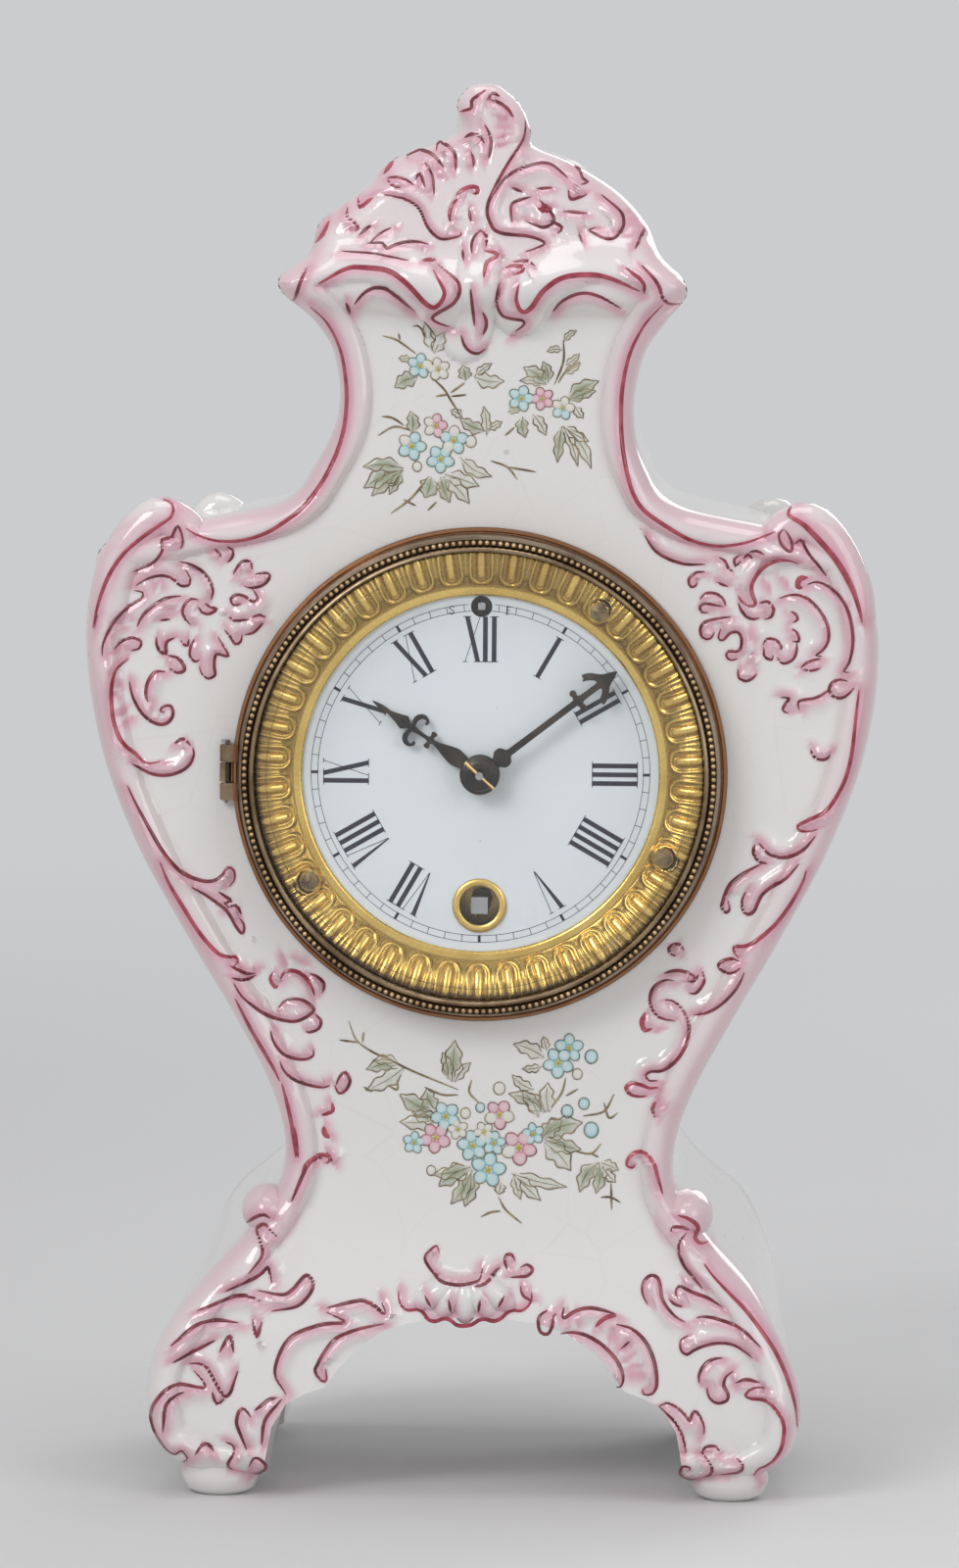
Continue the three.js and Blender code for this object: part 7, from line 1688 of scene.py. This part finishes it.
def hook(side):
    """The outline of a crescent: a curved stroke of changing width with round ends."""
    table = np.array(HOOK)
    line = smooth_path(table, 0.25)
    way = np.gradient(line[:, :2], axis=0)
    across = np.c_[-way[:, 1], way[:, 0]] / np.linalg.norm(way, axis=1)[:, None] * line[:, 2:]
    tip = np.linspace(-80, 80, 7)[:, None] * np.pi / 180
    end_way = way[-1] / np.linalg.norm(way[-1])
    end_side = np.array([-end_way[1], end_way[0]])
    cap = line[-1, :2] + line[-1, 2] * (np.cos(tip) * end_way - np.sin(tip) * end_side)
    return np.vstack([line[:, :2] + across, cap, (line[:, :2] - across)[::-1]]) * np.array([side, 1])


def finished_hand(name, blade, parts, eye, bore, back, angle):
    """A hand: its blade joined with the round eye and other parts, bored, its edges eased, and
    turned to where it points."""
    disc = turned("eye", ((eye, back - GAUGE), (eye, back)), (0, 0, 0), "y", 64)
    hand = worked(blade, "UNION", disc, *parts)
    hand = worked(hand, "DIFFERENCE", turned("bore", ((bore, -60), (bore, -20)), (0, 0, 0), "y", 48))
    easing = hand.modifiers.new("ease", "BEVEL")
    easing.width, easing.segments, easing.limit_method, easing.angle_limit = 0.13 * MM, 2, "ANGLE", 0.9
    applied(hand)
    a = math.radians(angle)
    turn = Matrix(((math.cos(a), 0, math.sin(a), 0), (0, 1, 0, 0),
                   (-math.sin(a), 0, math.cos(a), DIAL_HEIGHT * MM), (0, 0, 0, 1)))
    hand.data.transform(turn)
    hand.data.set_sharp_from_angle(angle=math.radians(30))
    hand.name = name
    return hand


hour = finished_hand("hour_hand_blade", plate("blade", both_sides(HOUR_HALF), HOUR_BACK, GAUGE),
                     [plate("hook", hook(side), HOUR_BACK, GAUGE) for side in (1, -1)],
                     4.2, 3.1, HOUR_BACK, HOUR_ANGLE)
minute = finished_hand("minute_hand_blade", plate("blade", both_sides(MINUTE_HALF), MINUTE_BACK, GAUGE),
                       [], 3.6, 2.05, MINUTE_BACK, MINUTE_ANGLE)
washer = spun("washer_turning", [(1.2, -48.2), (2.3, -48.28), (2.9, -48.15), (3.15, -47.95), (3.3, -47.9),
                                 (3.5, -47.98), (3.8, -47.85), (4.15, -47.5), (4.3, -47.1), (4.2, -46.9),
                                 (1.2, -46.9)], (0, DIAL_HEIGHT), 72, sharp=35)


def blackened(place):
    """Steel blackened by heat and oil, brown where it has worn."""
    cloud = place.node("ShaderNodeTexNoise", Vector=place, Scale=160.0, Detail=3.0)
    grain = place.node("ShaderNodeTexNoise", Vector=place, Scale=1800.0, Detail=1.0)
    color = cloud.ramp(0.35, 0.7).mixed((0.020, 0.018, 0.017), (0.060, 0.046, 0.036))
    bump = place.node("ShaderNodeBump", Strength=0.2, Distance=0.0001, Height=grain)
    return {"Base_Color": color, "Roughness": cloud * 0.3 + 0.22, "Normal": bump}


black_steel = finish_material("Blackened steel", blackened, Metallic=0.75)
for piece, node, body in ((hour, "hour_hand", "hour_wheel_body"),
                          (minute, "minute_hand", "centre_arbor_body"),
                          (washer, "hand_washer", "centre_arbor_body")):
    piece.data.materials.append(black_steel)
    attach(piece, body)
    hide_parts(node)

# Movement, back ring and door: brass plates and wheels finished with a fine grain, steel arbors and
# pinions left grey, blued springs, and a brass ring and door at the back that have gone brown. They
# keep their packed form.
def grained(bright, dull, scale, rough):
    """A worked metal: colour between bright and dull by clouds, and a fine grain in its polish."""
    def build(place):
        cloud = place.node("ShaderNodeTexNoise", Vector=place, Scale=scale, Detail=4.0, Roughness=0.55)
        grain = place.node("ShaderNodeTexNoise", Vector=place, Scale=2600.0, Detail=1.0)
        color = cloud.ramp(0.34, 0.70).mixed(bright, dull)
        bump = place.node("ShaderNodeBump", Strength=0.12, Distance=0.0001, Height=grain)
        return {"Base_Color": color, "Roughness": cloud * 0.25 + rough, "Normal": bump}
    return build


polished_brass, grey_steel, blue_steel, brown_screw, aged_sheet = [
    finish_material(name, grained(bright, dull, scale, rough), Metallic=1.0)
    for name, bright, dull, scale, rough in (
        ("Polished brass", (0.78, 0.56, 0.24), (0.56, 0.38, 0.15), 60.0, 0.14),
        ("Grey steel", (0.55, 0.55, 0.56), (0.36, 0.36, 0.37), 90.0, 0.16),
        ("Blued steel", (0.05, 0.09, 0.24), (0.035, 0.05, 0.13), 90.0, 0.2),
        ("Browned screw brass", (0.36, 0.26, 0.12), (0.14, 0.095, 0.05), 400.0, 0.2),
        ("Aged brass sheet", (0.50, 0.38, 0.22), (0.34, 0.25, 0.14), 22.0, 0.26))]
STEEL_WORDS = ("arbor", "pallets", "click", "ratchet", "post", "hinge_pin", "_nut", "case_screw")
for name, node in nodes.items():
    if name in ("mainspring", "suspension_spring"):
        finish = blue_steel
    elif name in ("back_ring", "back_door", "back_door_knob"):
        finish = aged_sheet
    elif name == "bezel_hinge_leaf":
        finish = bezel_finish
    # Painted shade: the dial pan, seen through the winding hole, takes the black steel so that the hole
    # reads dark.
    elif name == "dial_pan":
        finish = black_steel
    elif name.startswith("surround_screw"):
        finish = brown_screw
    elif any(word in name for word in STEEL_WORDS):
        finish = grey_steel
    else:
        finish = polished_brass
    node.data.materials.clear()
    node.data.materials.append(finish)

# Studio: a sheet of pale paper that the clock stands on, which far away goes over into an even pale
# ground, soft lamps at the left, the right, above and behind, and the photograph's camera.
FLOOR_HALF = 7000
floor = mesh_piece("floor", [(-FLOOR_HALF, -FLOOR_HALF, 0), (FLOOR_HALF, -FLOOR_HALF, 0),
                             (FLOOR_HALF, FLOOR_HALF, 0), (-FLOOR_HALF, FLOOR_HALF, 0)],
                   np.array([[0, 1, 2, 3]]), smooth=False)


def pale(place):
    """Pale paper, even but for a faint cloud."""
    cloud = place.node("ShaderNodeTexNoise", Vector=place, Scale=3.0)
    return {"Base_Color": cloud.mixed((0.70, 0.70, 0.705), (0.73, 0.73, 0.735))}


def seen_rays(tree):
    """1 for rays that show a surface to the camera, in a reflection or through glass, else 0."""
    path = tree.nodes.new("ShaderNodeLightPath")
    seen = Wire(tree, path.outputs["Is Camera Ray"])
    for kind in ("Is Glossy Ray", "Is Transmission Ray"):
        seen = seen.math("MAXIMUM", Wire(tree, path.outputs[kind]))
    return seen


paper = finish_material("Pale paper", pale, Roughness=0.8)
tree = paper.node_tree
place = Wire(tree, tree.nodes.new("ShaderNodeTexCoord").outputs["Object"])
reach = place.node("ShaderNodeVectorMath", {"operation": "LENGTH"}, 1, i0=place)
far = tree.nodes.new("ShaderNodeEmission")
far.inputs["Color"].default_value = (0.60, 0.605, 0.615, 1)
either = tree.nodes.new("ShaderNodeMixShader")
tree.links.new((reach.ramp(0.25, 1.6) * seen_rays(tree)).socket, either.inputs[0])
tree.links.new(tree.nodes["Principled BSDF"].outputs[0], either.inputs[1])
tree.links.new(far.outputs[0], either.inputs[2])
tree.links.new(either.outputs[0], tree.nodes["Material Output"].inputs["Surface"])
floor.data.materials.append(paper)

world = bpy.data.worlds.new("Studio")
bpy.context.scene.world = world
world.use_nodes = True
background = world.node_tree.nodes["Background"]
background.inputs["Color"].default_value = (0.88, 0.887, 0.902, 1)
ground = seen_rays(world.node_tree) * 0.282 + 0.40
world.node_tree.links.new(ground.socket, background.inputs["Strength"])

for name, place, aim, size, power in (
        ("key", (-0.75, -1.1, 0.95), (0, 0, 0.15), 0.6, 7.4),
        ("fill", (0.95, -0.9, 0.6), (0, 0, 0.15), 0.8, 3.5),
        ("top", (0.0, -0.1, 1.3), (0, 0, 0.15), 0.7, 3.5),
        ("rear", (0.6, 1.3, 0.8), (0, 0, 0.15), 0.8, 5.0)):
    lamp = bpy.data.lights.new(name, "AREA")
    lamp.size, lamp.energy = size, power
    stand = bpy.data.objects.new(name, lamp)
    bpy.context.scene.collection.objects.link(stand)
    stand.location = place
    stand.rotation_euler = (Vector(aim) - Vector(place)).to_track_quat("-Z", "Y").to_euler()

# The camera looks from a little to the right and above, and leans a little. The focal length comes
# from the photograph's own, in its pixels, over its height.
AIM = np.array([-0.98, -20, 152.41]) * MM
AZIMUTH, ELEVATION, LEAN_ANGLE = (math.radians(angle) for angle in (2, 4.5, 0.432))
DISTANCE, SENSOR = 1.8, 36
FOCAL_PIXELS, PHOTO_HEIGHT = 8411.8, 1600
backward = np.array([math.sin(AZIMUTH) * math.cos(ELEVATION), -math.cos(AZIMUTH) * math.cos(ELEVATION),
                     math.sin(ELEVATION)])
right = np.cross(-backward, (0, 0, 1))
right /= np.linalg.norm(right)
up = np.cross(right, -backward)
leaning_right = right * math.cos(LEAN_ANGLE) + up * math.sin(LEAN_ANGLE)
leaning_up = up * math.cos(LEAN_ANGLE) - right * math.sin(LEAN_ANGLE)
camera_data = bpy.data.cameras.new("camera")
camera_data.sensor_width = SENSOR
camera_data.lens = FOCAL_PIXELS / PHOTO_HEIGHT * SENSOR
camera = bpy.data.objects.new("camera", camera_data)
bpy.context.scene.collection.objects.link(camera)
axes = np.c_[leaning_right, leaning_up, backward, AIM + backward * DISTANCE]
camera.matrix_world = Matrix(np.vstack([axes, [0, 0, 0, 1]]).tolist())
bpy.context.scene.camera = camera
bpy.context.scene.view_settings.view_transform = "Standard"
